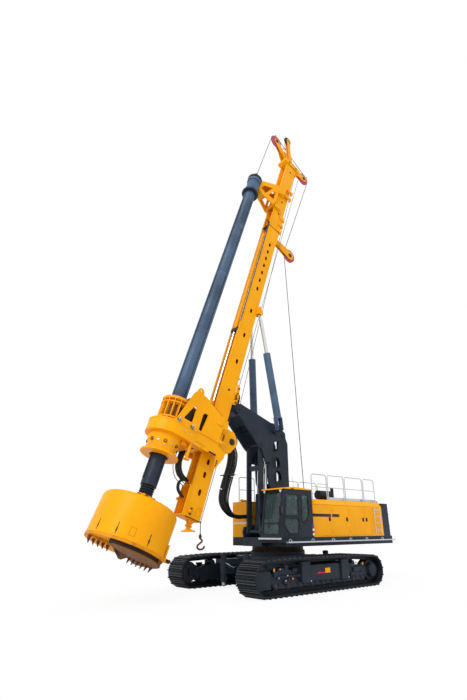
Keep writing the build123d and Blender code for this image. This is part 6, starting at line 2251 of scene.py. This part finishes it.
@dataclass
class Drive:
    """The rotary drive on its sled: housing, gussets, motors, damper cage, bell, bolts and hoses."""

    axis_q: float = KELLY_Q
    foot_s: float = 3.33
    cover_s: float = 3.82
    radius: float = 0.8
    back_q: float = 6.45
    sled_half: float = 0.7

    def housing(self) -> None:
        """The gear housing with its round nose, lids, gussets and top tube."""
        form = Sculpt("drive_housing")
        nose = [(self.axis_q + self.radius * math.cos(a), self.radius * math.sin(a)) for a in (math.radians(d)
                for d in range(-80, 81, 8))]
        outline = [(self.back_q, -0.74), (7.05, -0.79), *nose, (7.05, 0.79), (self.back_q, 0.74)]
        bore = [(self.axis_q + 0.56 * math.cos(a), 0.56 * math.sin(a)) for a in (math.radians(d) for d in range(0,
                360, 10))]
        for s0, s1, grow in ((self.foot_s, self.cover_s, 0.0), (self.foot_s - 0.004, self.foot_s + 0.05, 0.012),
                             (self.cover_s - 0.05, self.cover_s + 0.004, 0.012)):
            edge = [MAST.at(q + (grow if q > 7 else 0), y + math.copysign(grow, y), s0) for q, y in outline]
            form.cutout(edge, [[MAST.at(q, y, s0) for q, y in bore]], MAST.up * (s1 - s0))
        gusset = ((self.back_q, 3.815), (7.49, 3.815), (7.44, 4.0), (7.38, 4.17), (7.07, 5.2), (7.0, 5.34),
                  (6.9, 5.4), (6.68, 5.4), (6.6, 5.36), (self.back_q, 5.34))
        window = ((6.76, 4.07), (7.15, 4.07), (7.16, 4.12), (6.88, 4.74), (6.78, 4.76), (6.74, 4.7))
        for turn in (1, -1):
            form.cutout(MAST.outline(gusset, turn * 0.725), [MAST.outline(window, turn * 0.725)], -Y * turn * 0.05)
            form.block(6.98, turn * 0.7, 3.855, (1.08, 0.13, 0.07), edge=0.008)
            form.cutout(MAST.outline(((6.62, 5.36), (6.95, 5.36), (6.93, 5.5), (6.86, 5.58), (6.72, 5.58),
                                      (6.65, 5.5)), turn * 0.72),
                        [MAST.oval(6.79, turn * 0.72, 5.48, 0.08, 0.08)], -Y * turn * 0.04)
        form.rod(6.74, (-0.7, 0.7), 5.3, 0.055, sides=20)
        form.plate(MAST.outline(((6.46, 5.3), (6.66, 5.36), (6.65, 5.4), (6.46, 5.34)), -0.67), Y * 1.34, 0.004)
        form.plate(MAST.outline(((6.5, 3.82), (6.54, 3.82), (6.54, 4.6), (6.5, 4.6)), -0.67), Y * 1.34, 0.004)
        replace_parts(form.done(Coat.YELLOW, "sled"), "rotary_drive")
        motor = Sculpt("drive_motors")
        for turn in (1, -1):
            foot = MAST.at(6.68, turn * 0.43, self.cover_s)
            motor.turned(foot, MAST.up, [(0.0, 0.66), (0.09, 0.66), (0.1, 0.62), (0.1, 0.4), (0.13, 0.38),
                                         (0.13, 0.1), (0.15, 0.08), (0.15, 0.0)], 28)
            motor.slab(foot + MAST.up * 0.52, (0.2, 0.24, 0.14), MAST.axes, edge=0.02)
        motor.done(Coat.STEEL, "sled")

    def sled(self) -> None:
        """The sled's towers, cross box, rail shoes and the crowd rod's lug, with dark blocks and lines of painted
        shade.
        """
        form = Sculpt("sled_frame")
        back = self.back_q - 0.0003
        tower = ((4.9, 3.42), (5.19, 2.86), (5.33, 3.33), (back, 3.33), (back, 5.34), (5.83, 5.08), (5.29, 4.85),
                 (5.09, 4.8), (5.09, 4.56), (5.33, 4.48), (5.33, 3.76), (4.9, 3.64))
        slot = ((6.25, 3.93), (6.4, 3.96), (6.4, 4.6), (6.33, 4.7), (6.17, 4.71), (6.16, 4.6))
        for turn in (1, -1):
            y = turn * (self.sled_half + 0.03)
            form.cutout(MAST.outline(tower, y), [MAST.outline(slot, y)], -Y * turn * 0.06)
            inner = turn * 0.35
            form.block(6.13, (inner + turn * self.sled_half) / 2, 3.6, (0.6394, 0.35, 0.52), edge=0.008)
            form.plate(MAST.outline(((5.81, 5.04), (back, 5.3), (back, 5.34), (5.81, 5.08)), inner), Y * turn * 0.37,
                       0.004)
            for s in (3.5, 4.75):
                form.block(5.545, turn * (MAST_SIDE + self.sled_half) / 2, s + 0.13,
                           (0.53, self.sled_half - MAST_SIDE, 0.26), edge=0.012)
                form.block(5.7453, turn * 0.246, s + 0.13, (0.129, 0.09, 0.26), edge=0.004)
                form.block(5.16, turn * 0.5, s + 0.13, (0.22, 0.28, 0.2), edge=0.03, segments=3)
            form.block(5.52, turn * 0.74, 4.63, (0.3, 0.05, 0.12), edge=0.012)
            form.block(5.3, turn * 0.74, 3.95, (0.36, 0.05, 0.14), edge=0.012)
            form.plate(MAST.outline(((5.35, 3.86), (6.4, 3.86), (6.4, 3.9), (5.35, 3.9)), turn * 0.73),
                       Y * turn * 0.03, 0.004)
        form.block(5.91, 0, 4.25, (0.2, 2 * self.sled_half, 1.7), edge=0.01)
        form.block(5.76, 0, 5.32, (0.2, 0.2, 0.86), edge=0.02)
        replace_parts(form.done(Coat.YELLOW, "sled"), "sled")
        # Dark blocks between the motors, seen through the slots and gusset windows: partly hoses, partly painted
        # shade of the sled's inside.
        block = Sculpt("drive_manifold_and_painted_shade")
        for turn in (1, -1):
            block.block(6.25, turn * 0.5, 4.32, (0.34, 0.24, 0.86), edge=0.03, segments=3)
            block.block(6.9, turn * 0.52, 4.3, (0.3, 0.2, 0.7), edge=0.04, segments=3)
        block.done(Coat.GREASED_AND_SHADE, "sled")
        # Thin dark lines along the edges of the tower's recess: painted shade.
        dark = Sculpt("sled_shade_lines")
        for turn in (1, -1):
            for a, b in (((5.5, 5.0), (6.25, 5.27)), ((5.86, 3.47), (6.38, 3.47)), ((6.0, 3.4), (6.1, 3.36))):
                start, end = MAST.at(a[0], turn * 0.731, a[1]), MAST.at(b[0], turn * 0.731, b[1])
                dark.bar(start, end, 0.006, sides=6)
        dark.done(Coat.STEEL, "sled")

    def sleeve(self) -> None:
        """The turning sleeve: bell flange, neck and the ribbed damper cage with its bolts."""
        form = Sculpt("turning_sleeve")
        base = MAST.at(self.axis_q, 0, 0)
        form.turned(base, MAST.up, [(0.365, 2.56), (0.72, 2.56), (0.735, 2.575), (0.735, 2.625), (0.72, 2.64),
                                    (0.6, 2.66), (0.56, 2.72), (0.57, 2.9), (0.64, 3.1), (0.64, 3.3297),
                                    (0.45, 3.3297), (0.45, 3.8203), (0.58, 3.8203), (0.59, 3.83), (0.59, 3.9),
                                    (0.45, 3.91), (0.45, 3.95), (0.59, 3.955), (0.59, 4.02), (0.45, 4.03),
                                    (0.45, 4.6), (0.59, 4.605), (0.59, 4.645), (0.45, 4.655), (0.45, 4.76),
                                    (0.58, 4.76), (0.59, 4.77), (0.59, 4.86), (0.58, 4.87), (0.365, 4.87),
                                    (0.365, 2.56)], 64)
        for out, axes in MAST.spokes(14):
            form.slab(base + out * 0.5 + MAST.up * 4.3, (0.15, 0.045, 0.62), axes, edge=0.006)
            form.slab(base + out * 0.5 + MAST.up * 4.7, (0.15, 0.03, 0.12), axes, edge=0.004)
        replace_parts(form.done(Coat.YELLOW, "drive_sleeve"), "drive_sleeve")
        bolts, dark = Sculpt("cage_bolts"), Sculpt("cage_shade")
        for k, (out, _) in enumerate(MAST.spokes(28, 0.5)):
            for s in (4.87, 4.02, 4.645):
                bolts.bolts([base + out * 0.53 + MAST.up * s], MAST.up, 0.03, 0.025)
            if k % 2 == 0:
                bolts.bolts([base + out * 0.59 + MAST.up * 4.82], out, 0.03, 0.02)
        for out, axes in MAST.spokes(14, 0.5):
            dark.slab(base + out * 0.455 + MAST.up * 4.3, (0.03, 0.11, 0.5), axes, edge=0.004)
        for out, _ in MAST.spokes(7, 0.3):
            dark.turned(base + MAST.up * 3.0 + out * 0.61, out, [(0.0, -0.02), (0.04, -0.02), (0.045, 0.02),
                                                                 (0.065, 0.02), (0.065, -0.03)], 18)
        bolts.done(Coat.SILVER, "drive_sleeve")
        dark.done(Coat.RUST, "drive_sleeve")
        neck = Sculpt("neck_bolts")
        for k, (out, _) in enumerate(MAST.spokes(14, 0.6)):
            neck.bolts([base + out * (0.6 if k % 2 else 0.575) + MAST.up * (2.98 if k % 2 else 2.86)], out, 0.045,
                       0.03)
        neck.done(Coat.SILVER, "drive_sleeve")

    def fittings(self) -> None:
        """Gusset clamps, housing bolts, lifting eye, lubricating cylinder and the far foot bracket."""
        clamp, bolt = Sculpt("gusset_clamps"), Sculpt("gusset_bolts")
        for turn in (1, -1):
            for q in (6.72, 7.36):
                clamp.block(q, turn * 0.77, 3.87, (0.15, 0.09, 0.12), edge=0.02)
                bolt.bolts([MAST.at(q + d, turn * 0.815, 3.87 + e) for d in (-0.04, 0.04) for e in (-0.03, 0.03)],
                           Y * turn, 0.035, 0.022)
                bolt.bar(MAST.at(q, turn * 0.78, 3.93), MAST.at(q, turn * 0.78, 4.02), 0.02, sides=10)
            bolt.bolts([MAST.at(q, turn * 0.795, 3.6) for q in (6.7, 7.0)], Y * turn, 0.04, 0.02)
        clamp.done(Coat.STEEL, "sled")
        bolt.done(Coat.SILVER, "sled")
        ring = Sculpt("housing_bolts")
        for k in range(26):
            a = math.tau * (k + 0.5) / 26
            if math.cos(a) > -0.5:
                ring.bolts([MAST.at(self.axis_q + 0.71 * math.cos(a), 0.71 * math.sin(a), self.cover_s + 0.003)],
                           MAST.up, 0.035, 0.025)
        ring.done(Coat.YELLOW, "sled")
        eye = Sculpt("drive_lifting_eye")
        eye.ring(MAST.at(self.axis_q + 0.42, 0.58, self.cover_s + 0.05), MAST.forward, 0.045, 0.014, 20, 8)
        eye.done(Coat.RED, "sled")
        oil = Sculpt("hanging_cylinder")
        top = MAST.at(6.5, 0.65, 3.335)
        oil.turned(top, -MAST.up, [(0.0, 0.0), (0.075, 0.0), (0.075, 0.05), (0.06, 0.07), (0.06, 0.56), (0.075, 0.58),
                                   (0.12, 0.6), (0.12, 0.65), (0.0, 0.65)], 24)
        oil.turned(MAST.at(6.62, -0.62, 3.335), -MAST.up, [(0.0, 0.0), (0.075, 0.0), (0.075, 0.05), (0.06, 0.07),
                                                           (0.06, 0.6), (0.12, 0.62), (0.12, 0.68), (0.0, 0.68)], 24)
        oil.block(6.6, 0.0, 3.25, (0.5, 1.1, 0.16), edge=0.04, segments=3)
        oil.done(Coat.YELLOW, "sled")
        rear = Sculpt("sled_rear_bolts")
        for turn in (1, -1):
            rear.bolts([MAST.at(q, turn * 0.735, 3.36) for q in (5.36, 5.43, 5.5, 5.57, 5.64)], Y * turn, 0.05, 0.05)
            rear.bolts([MAST.at(5.2, turn * 0.735, 3.0 + 0.09 * k) for k in range(3)], Y * turn, 0.045, 0.03)
        rear.done(Coat.STEEL, "sled")

    def hoses(self) -> None:
        """The hose loop behind the drive, down towards the mast's foot, three thin lines beside it and two hoses at
        the foot.
        """
        runs = []
        for k in range(8):
            y, out = -0.3 + 0.075 * (k % 4), 0.07 * (k // 4)
            runs.append([MAST.at(q + out, y, s - out * 0.4) for q, s in ((6.22, 3.25), (6.24, 3.0), (6.24, 2.75),
                    (6.14, 2.5), (5.95, 2.33), (5.72, 2.28))])
        piece = Shop.tubes("drive_hose_loop", runs, 0.036, Coat.RUBBER)
        tuple(MAST.at(6.24, 0, 3.0))
        tuple(MAST.at(5.95, 0, 2.33))
        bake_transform(piece)
        log.info("drive_hose_loop crosses from sled to mast")
        thin = [MAST.outline(((6.4, 3.25), (6.44, 2.95), (6.42, 2.6), (6.26, 2.3), (6.0, 2.12), (5.72, 2.08)),
                             -0.3 + 0.24 * k) for k in range(3)]
        piece = Shop.tubes("drive_thin_hoses", thin, 0.014, Coat.RUBBER)
        tuple(MAST.at(6.42, 0, 3.0))
        tuple(MAST.at(6.0, 0, 2.12))
        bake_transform(piece)
        for k in range(2):
            Shop.tube(f"foot_hose_{k + 1}", MAST.outline(((5.72, 2.24), (5.98, 2.2), (6.1, 2.0), (6.0, 1.72),
                                                          (5.72, 1.6)), -0.1 + 0.08 * k), 0.04, Coat.RUBBER, "mast")

    def build(self) -> None:
        """Dresses the drive."""
        coat_cad(Coat.YELLOW, "sled", "rotary_drive", "drive_sleeve")
        coat_cad(Coat.CHROME, "crowd_rod")
        self.housing()
        self.sled()
        self.sleeve()
        self.fittings()
        self.hoses()


@dataclass
class Kelly:
    """Kelly bar, its head guide and swivel."""

    axis_q: float = KELLY_Q
    radius: float = 0.3
    guide_y: float = 0.41
    # Level below which the tube is painted darker: painted shade under the drive.
    split_s: float = 3.7
    neck_s: float = 18.26
    head_s: float = 18.27
    crown_s: float = 19.4

    def bar(self) -> None:
        """The outer tube with its key strips, joints, head, collars and ringed neck; below split_s the tube is
        painted darker as painted shade.
        """
        base = MAST.at(self.axis_q, 0, 0)
        # low gathers the tube below split_s, its strips and foot, painted darker as painted shade.
        form, low = Sculpt("kelly_tube"), Sculpt("kelly_tube_painted_shade")
        tube, groove, head = self.radius, 0.296, 0.345
        profile = [(0.0, self.split_s), (tube, self.split_s)]
        for s in (4.95, 8.45, 11.95, 15.45):
            profile += [(tube, s - 0.012), (groove, s - 0.006), (groove, s + 0.006), (tube, s + 0.012)]
        profile += [(tube, self.neck_s), (head, self.head_s), (head, self.crown_s), (0.0, self.crown_s)]
        form.turned(base, MAST.up, profile, 48)
        for out, axes in MAST.spokes(3):
            form.slab(base + out * tube + MAST.up * 10.7, (0.07, 0.07, 13.9), axes, edge=0.006)
            low.slab(base + out * tube + MAST.up * 2.65, (0.07, 0.07, 2.1), axes, edge=0.006)
        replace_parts(form.done(Coat.KELLY, "kelly"), "kelly_bar")
        low.turned(base, MAST.up, [(0.0, 0.9903), (0.19, 0.9903), (0.19, 1.4), (0.29, 1.4), (tube, 1.41),
                                   (tube, self.split_s), (0.0, self.split_s)], 48)
        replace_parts(low.done(Coat.KELLY_PAINTED_SHADE, "kelly"), "kelly_bar")
        collar = Sculpt("kelly_collars")
        for s0, s1, r in ((18.12, self.head_s, 0.46), (self.crown_s, 19.52, 0.41)):
            collar.turned(base, MAST.up, [(0.2, s0), (r - 0.02, s0), (r, s0 + 0.02), (r, s1 - 0.02), (r - 0.02, s1),
                                          (0.2, s1)], 48)
        for i in range(4):
            s = 1.06 + 0.085 * i
            collar.turned(base, MAST.up, [(0.18, s), (0.25, s), (0.265, s + 0.018), (0.265, s + 0.037),
                                          (0.25, s + 0.055), (0.18, s + 0.055)], 40)
        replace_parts(collar.done(Coat.SLATE, "kelly"), "kelly_bar")
        key = Sculpt("kelly_key_strips")
        for k in range(3):
            a = math.tau * k / 3
            for turn, shift in ((1, 0.16), (-1, 0.3)):
                out, axes = MAST.spoke(a + turn * shift)
                for j in range(5):
                    s0, s1 = 1.7 + 3.4 * j, min(18.08, 4.9 + 3.4 * j)
                    key.slab(base + out * tube + MAST.up * (s0 + s1) / 2, (0.012, 0.016, s1 - s0), axes, edge=0.003)
                    key.slab(base + out * 0.302 + MAST.up * s1, (0.016, 0.1, 0.02), axes, edge=0.003)
        key.done(Coat.BLACK, "kelly")

    def flank(self, q: float, s: float, turn: int) -> Vector:
        """A point on the truss's side, which widens from the kelly's head to the mast.

        Args:
            q: distance forward.
            s: distance up.
            turn: 1 for the left side, -1 for the right.

        Returns:
            The point.
        """
        return MAST.at(q, turn * (0.16 + (6.95 - q) * 0.2), s)

    def guide(self) -> None:
        """The yellow truss that runs on the mast's rails and holds the kelly's head."""
        form = Sculpt("kelly_guide_truss")
        cheek = ((5.74, 18.5), (5.9, 18.5), (6.5, 18.68), (6.95, 18.95), (6.95, 19.66), (5.33, 20.45), (5.33, 19.84),
                 (5.74, 19.66))
        window = ((6.5, 18.95), (6.82, 19.12), (6.68, 19.5), (6.15, 19.72))
        corner = ((5.9, 18.86), (6.29, 18.98), (6.02, 19.56), (5.9, 19.56))
        for turn in (1, -1):
            form.cutout([self.flank(q, s, turn) for q, s in cheek], [[self.flank(q, s, turn) for q, s in gap]
                    for gap in (window, corner)], -Y * turn * 0.06)
            for s in (18.5, 19.7):
                form.block(5.545, turn * (MAST_SIDE + self.guide_y) / 2, s + 0.13, (0.53, self.guide_y - MAST_SIDE,
                        0.26), edge=0.01)
                form.block(5.7453, turn * 0.246, s + 0.13, (0.129, 0.09, 0.26), edge=0.004)
            for s in (19.93, 20.5):
                form.block(5.1, turn * 0.4, s, (0.6, 0.09, 0.14), edge=0.012)
                form.block(4.82, turn * 0.38, s, (0.12, 0.14, 0.24), edge=0.02)
        form.plate([MAST.at(6.95, -0.16, 19.66), MAST.at(6.95, 0.16, 19.66), MAST.at(5.8, 0.39, 20.22),
                    MAST.at(5.8, -0.39, 20.22)], MAST.up * 0.04, 0.004)
        form.plate([MAST.at(6.95, -0.16, 18.93), MAST.at(6.95, 0.16, 18.93), MAST.at(6.5, 0.25, 18.66),
                    MAST.at(6.5, -0.25, 18.66)], -MAST.up * 0.03, 0.004)
        form.block(5.8, 0, 18.63, (0.1, 2 * self.guide_y, 0.26), edge=0.008)
        form.block(6.91, 0, 19.4, (0.06, 0.3, 0.44), edge=0.008)
        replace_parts(form.done(Coat.YELLOW, "kelly_guide"), "kelly_guide")
        ring = Sculpt("kelly_head_ring")
        base = MAST.at(self.axis_q, 0, 0)
        ring.turned(base, MAST.up, [(0.348, 19.14), (0.385, 19.14), (0.39, 19.15), (0.39, 19.35), (0.385, 19.358),
                                    (0.348, 19.358), (0.348, 19.14)], 48)
        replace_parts(ring.done(Coat.KELLY, "kelly_guide"), "kelly_guide")
        swivel = Sculpt("rope_swivel")
        swivel.turned(base, MAST.up, [(0.0, 19.5203), (0.13, 19.5203), (0.13, 19.58), (0.1, 19.6), (0.1, 19.8),
                                      (0.06, 19.84), (0.05, 19.9), (0.075, 19.94), (0.075, 20.0), (0.04, 20.06),
                                      (0.0, 20.08)], 32)
        swivel.ring(base + MAST.up * 19.97, Y, 0.09, 0.022, 24, 8, stretch=1.3, along=MAST.up)
        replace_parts(swivel.done(Coat.PRIMER, "kelly_guide"), "kelly_guide")

    def build(self) -> None:
        """Shapes the kelly and its guide."""
        coat_cad(Coat.KELLY, "kelly_bar")
        coat_cad(Coat.YELLOW, "kelly_guide")
        self.bar()
        self.guide()


@dataclass
class Bucket:
    """Drilling bucket: shell, coupling, seams, and the toothed bottom gate."""

    axis_q: float = KELLY_Q
    radius: float = 1.36
    foot_s: float = -0.7
    top_s: float = 0.76
    shoulder: float = 0.2
    skin: float = 0.03
    play: float = 3.3
    floor_s: float = -0.79

    @property
    def lean(self) -> Matrix:
        """The bucket hangs a little out of line in the play of its coupling pins.

        Returns:
            The rotation.
        """
        return Matrix.Rotation(-math.radians(self.play), 3, "Y")

    @property
    def up(self) -> Vector:
        """Along the bucket's axis.

        Returns:
            The direction.
        """
        return self.lean @ MAST.up

    @property
    def forward(self) -> Vector:
        """Across the bucket, away from the mast.

        Returns:
            The direction.
        """
        return self.lean @ MAST.forward

    @property
    def axes(self) -> Matrix:
        """The bucket's own axes.

        Returns:
            The rotation.
        """
        return self.lean @ MAST.axes

    def at(self, q: float, y: float, s: float) -> Vector:
        """A point of the bucket from its place along the mast's measures.

        Args:
            q: distance forward.
            y: distance across.
            s: distance up.

        Returns:
            The point.
        """
        pivot = MAST.at(self.axis_q, 0, 1.0)
        return pivot + self.lean @ (MAST.at(q, y, s) - pivot)

    def around(self, degrees: float) -> tuple[Vector, Matrix]:
        """Direction and axes at an angle about the kelly's line.

        Args:
            degrees: the angle from forward.

        Returns:
            The direction and the axes.
        """
        return Lean(self.up, self.forward).spoke(math.radians(degrees))

    def shell(self) -> None:
        """The hollow shell with its rounded shoulder and the coupling box, whose slots are painted shade."""
        base = self.at(self.axis_q, 0, 0)
        arc = [(self.radius - self.shoulder * (1 - math.cos(a)), self.top_s - self.shoulder * (1 - math.sin(a)))
               for a in (math.radians(d) for d in range(0, 91, 10))]
        inner = [(r - self.skin * 0.9, s - self.skin * 0.9) for r, s in arc[::-1]]
        form = Sculpt("bucket_drum")
        crown = self.top_s + 0.08
        form.turned(base, self.up, [(0.2, crown), (0.36, crown), *arc[::-1], (self.radius, self.foot_s + 0.002),
                                    (self.radius - self.skin, self.foot_s + 0.002),
                                    *inner[::-1], (0.36, crown - self.skin), (0.2, crown - self.skin), (0.2, crown)],
                                    96)
        form.slab(base + self.up * 0.93, (0.6, 0.6, 0.19), self.axes, edge=0.02)
        form.turned(base, self.up, [(self.radius - 0.02, -0.66), (self.radius + 0.008, -0.655), (self.radius + 0.008,
                self.foot_s + 0.004), (self.radius - 0.02, self.foot_s + 0.004)], 96)
        for turn in (1, -1):
            form.slab(base + Y * turn * 0.3 + self.up * 0.935, (0.5, 0.1, 0.19), self.axes, edge=0.02)
            form.slab(base + self.forward * turn * 0.3 + self.up * 0.935, (0.1, 0.5, 0.19), self.axes, edge=0.02)
        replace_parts(form.done(Coat.YELLOW, "kelly"), "bucket_shell")
        pins = Sculpt("coupling_pins")
        for q, y in ((-0.34, 0.2), (0.34, 0.2), (0.34, -0.2), (0.14, 0.36), (-0.18, 0.36), (0.1, -0.36)):
            side = self.forward * (1 if abs(q) > 0.3 else 0) * (1 if q > 0 else -1) + Y * (1 if abs(y) > 0.3
                    else 0) * (1 if y > 0 else -1)
            spot = base + self.forward * q + Y * y + self.up * 0.95
            pins.bar(spot - side * 0.05, spot + side * 0.07, 0.06, sides=18, edge=0.01)
        pins.done(Coat.PRIMER, "kelly")
        # Dark patches on the coupling box: painted shade standing in for the insides of its pin slots.
        dark = Sculpt("coupling_slot_shade")
        for q, y in ((0.351, 0.0), (0.0, 0.351), (-0.15, 0.352), (0.351, -0.12)):
            dark.slab(base + self.forward * q + Y * y + self.up * 0.93, (0.04 if q > 0.3 else 0.12, 0.04 if y > 0.3
                    else 0.12, 0.08), self.axes, edge=0.008)
        dark.done(Coat.GREASED_AND_SHADE, "kelly")

    def marks(self) -> None:
        """Welded strips, the rim's seam, the hatch's outline and the latch bracket."""
        base = self.at(self.axis_q, 0, 0)
        strips = Sculpt("bucket_weld_strips")
        for degrees in (14, 45, 92, 140, 190, 250, 310):
            out, axes = self.around(degrees)
            strips.slab(base + out * (self.radius + 0.002) + self.up * -0.46, (0.012, 0.022, 0.36), axes, edge=0.004)
            strips.slab(base + out * (self.radius + 0.004) + self.up * -0.5, (0.014, 0.045, 0.12), axes, edge=0.004)
        strips.turned(base, self.up, [(self.radius - 0.01, -0.668), (self.radius + 0.004, -0.667),
                                      (self.radius + 0.004, -0.66), (self.radius - 0.01, -0.659)], 96)
        strips.done(Coat.RUST, "kelly")
        frame = Sculpt("bucket_hatch_lines")
        corners = [(62, -0.55), (70, -0.55), (70, -0.3), (62, -0.3)]
        for (da, sa), (db, sb) in zip(corners, corners[1:] + corners[:1]):
            a, b = self.around(da)[0], self.around(db)[0]
            frame.bar(base + a * (self.radius + 0.002) + self.up * sa, base + b * (self.radius + 0.002) + self.up
                      * sb, 0.005, sides=6)
        frame.done(Coat.WORN_LINE, "kelly")
        latch = Sculpt("bucket_latch")
        out, axes = self.around(150)
        latch.slab(base + out * (self.radius + 0.03) + self.up * -0.45, (0.07, 0.09, 0.5), axes, edge=0.015)
        latch.slab(base + out * (self.radius + 0.04) + self.up * -0.68, (0.1, 0.16, 0.14), axes, edge=0.02)
        latch.done(Coat.YELLOW, "kelly")

    def gate(self) -> None:
        """The bottom plate with its two openings, its teeth and the pilot point."""
        base = self.at(self.axis_q, 0, 0)
        form = Sculpt("bucket_floor")
        rim = [base + self.around(d)[0] * (self.radius + 0.015) + self.up * self.floor_s for d in range(0, 360, 5)]
        gaps = [[self.at(self.axis_q + t * q, t * y, self.floor_s) for q, y in ((0.15, 0.1), (1.1, 0.1), (1.02, 0.45),
                (0.8, 0.72), (0.5, 0.66), (0.15, 0.6))] for t in (1, -1)]
        form.cutout(rim, gaps, self.up * 0.0885)
        for t in (1, -1):
            form.plate([self.at(self.axis_q + t * q, t * y, -0.8) for q, y in ((0.2, -0.02), (1.25, -0.02),
                    (1.25, 0.05), (0.2, 0.05))], -self.up * 0.06, 0.006)
            form.plate([self.at(self.axis_q + t * q, t * y, s) for q, y, s in ((0.2, 0.6, -0.66), (1.05, 0.5, -0.66),
                    (1.1, 0.08, self.floor_s), (0.2, 0.08, self.floor_s))], self.up * 0.02, 0.003)
        form.bar(base + self.up * -0.78, base + self.up * -1.1, 0.52, 0.06, sides=4)
        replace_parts(form.done(Coat.DIGGING, "bucket_gate"), "bucket_gate")
        mouth = Sculpt("bucket_mouths")
        mouth.plate([base + self.around(d)[0] * (self.radius - 0.08) + self.up * -0.92 for d in range(40, 221, 10)],
                    self.up * 0.135, 0.003)
        mouth.done(Coat.GREASED_AND_SHADE, "bucket_gate")
        scoop = Sculpt("bucket_scoop")
        scoop.plate([base + self.around(d)[0] * (self.radius - 0.03) + self.up * -0.95 for d in range(46, 221, 6)],
                    self.up * 0.04, 0.004)
        scoop.plate([base + self.around(d)[0] * (self.radius - 0.02) + self.up * -0.95 for d in (128, 140, 152)]
                    + [base + self.around(d)[0] * (self.radius - 0.08) + self.up * -0.95 for d in (152, 140, 128)],
                    self.up * 0.24, 0.004)
        scoop.done(Coat.SCOOP, "bucket_gate")
        teeth = Sculpt("bucket_teeth")
        for t, count, first, sink in ((1, 5, 0.56, 0.0), (-1, 6, 0.33, 0.06)):
            for i in range(count):
                spot = base + self.forward * t * (first + 0.18 * i) - Y * t * 0.02 - self.up * sink
                teeth.slab(spot + self.up * -0.87, (0.09, 0.11, 0.12), self.axes, edge=0.012)
                teeth.bar(spot + self.up * -0.9, spot + self.up * -1.05 + Y * t * 0.09, 0.055, 0.014, sides=4)
        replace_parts(teeth.done(Coat.RUST, "bucket_gate"), "bucket_gate")
        hinge = Sculpt("bucket_gate_hinge")
        pin = Rig.pin("bucket_gate")
        hinge.bar(Vector((pin.x, -0.5, pin.z - 0.02)), Vector((pin.x, 0.5, pin.z - 0.02)), 0.05, sides=20, edge=0.006)
        for y in (-0.4, 0.4):
            hinge.slab(Vector((pin.x, y, pin.z - 0.03)) + self.forward * 0.06, (0.24, 0.09, 0.12), self.axes,
                       edge=0.02)
        hinge.done(Coat.RUST, "bucket_gate")

    def build(self) -> None:
        """Shapes the bucket and its gate."""
        coat_cad(Coat.YELLOW, "bucket_shell")
        coat_cad(Coat.RUST, "bucket_gate")
        self.shell()
        self.marks()
        self.gate()


# ---------------------------------------------------------------- hoses between the bodies


@dataclass
class HoseBundle:
    """The thick bundle that hangs from the mast to the deck's valve block."""

    hose: float = 0.034
    columns: int = 5
    rows: int = 3
    gap: float = 0.094

    def build(self) -> None:
        """Lays the hoses side by side along one path and clamps them."""
        path = [Vector(p) for p in ((2.74, -0.05, 5.7), (2.42, -0.08, 5.35), (2.38, -0.18, 4.8), (2.48, -0.3, 4.3),
                                    (2.6, -0.42, 3.75),
                                    (2.62, -0.5, 3.25), (2.32, -0.55, 2.85), (1.85, -0.6, 2.7), (1.4, -0.62, 2.7),
                                    (1.1, -0.64, 2.72))]
        runs = []
        for i in range(self.columns):
            for j in range(self.rows):
                a, b = (i - (self.columns - 1) / 2) * self.gap, (j - (self.rows - 1) / 2) * self.gap
                wander = 0.5 + 0.5 * math.sin(1.7 * i + 2.3 * j)
                runs.append([p + Vector((0.25 * a + b * (1.1 + 0.6 * wander), a, 0.35 * b)) + Vector((0, 0,
                        -0.05 * wander if 3 < k < 8 else 0))
                             for k, p in enumerate(path)])
        Shop.across_joints("hose_bundle", runs, self.hose, Coat.RUBBER,
                           ["mast", "cross_joint", "triangle_frame", "rear_arm", "upper"],
                           [path[1], path[3], path[4], path[6], path[8]])
        clamp = Sculpt("hose_clamp_bar")
        clamp.slab(path[3] + Vector((0.03, 0.0, 0.02)), (0.36, 0.62, 0.035), edge=0.01)
        clamp.done(Coat.STEEL, "cross_joint")


def main() -> None:
    """Builds the stage and dresses each sub-assembly in order."""
    logging.basicConfig(level=logging.INFO, format="%(name)s: %(message)s")
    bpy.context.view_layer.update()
    for part in (Studio(), Undercarriage(), Deck(), Cab(), Seat(), Hood(), Winches(), LuffingGear(), Mast(), Drive(),
                 Kelly(), Bucket(), HoseBundle()):
        part.build()
        log.info("%s done", type(part).__name__)
    log.info("%d pieces added", Shop.count)


if __name__ == "__main__":
    main()
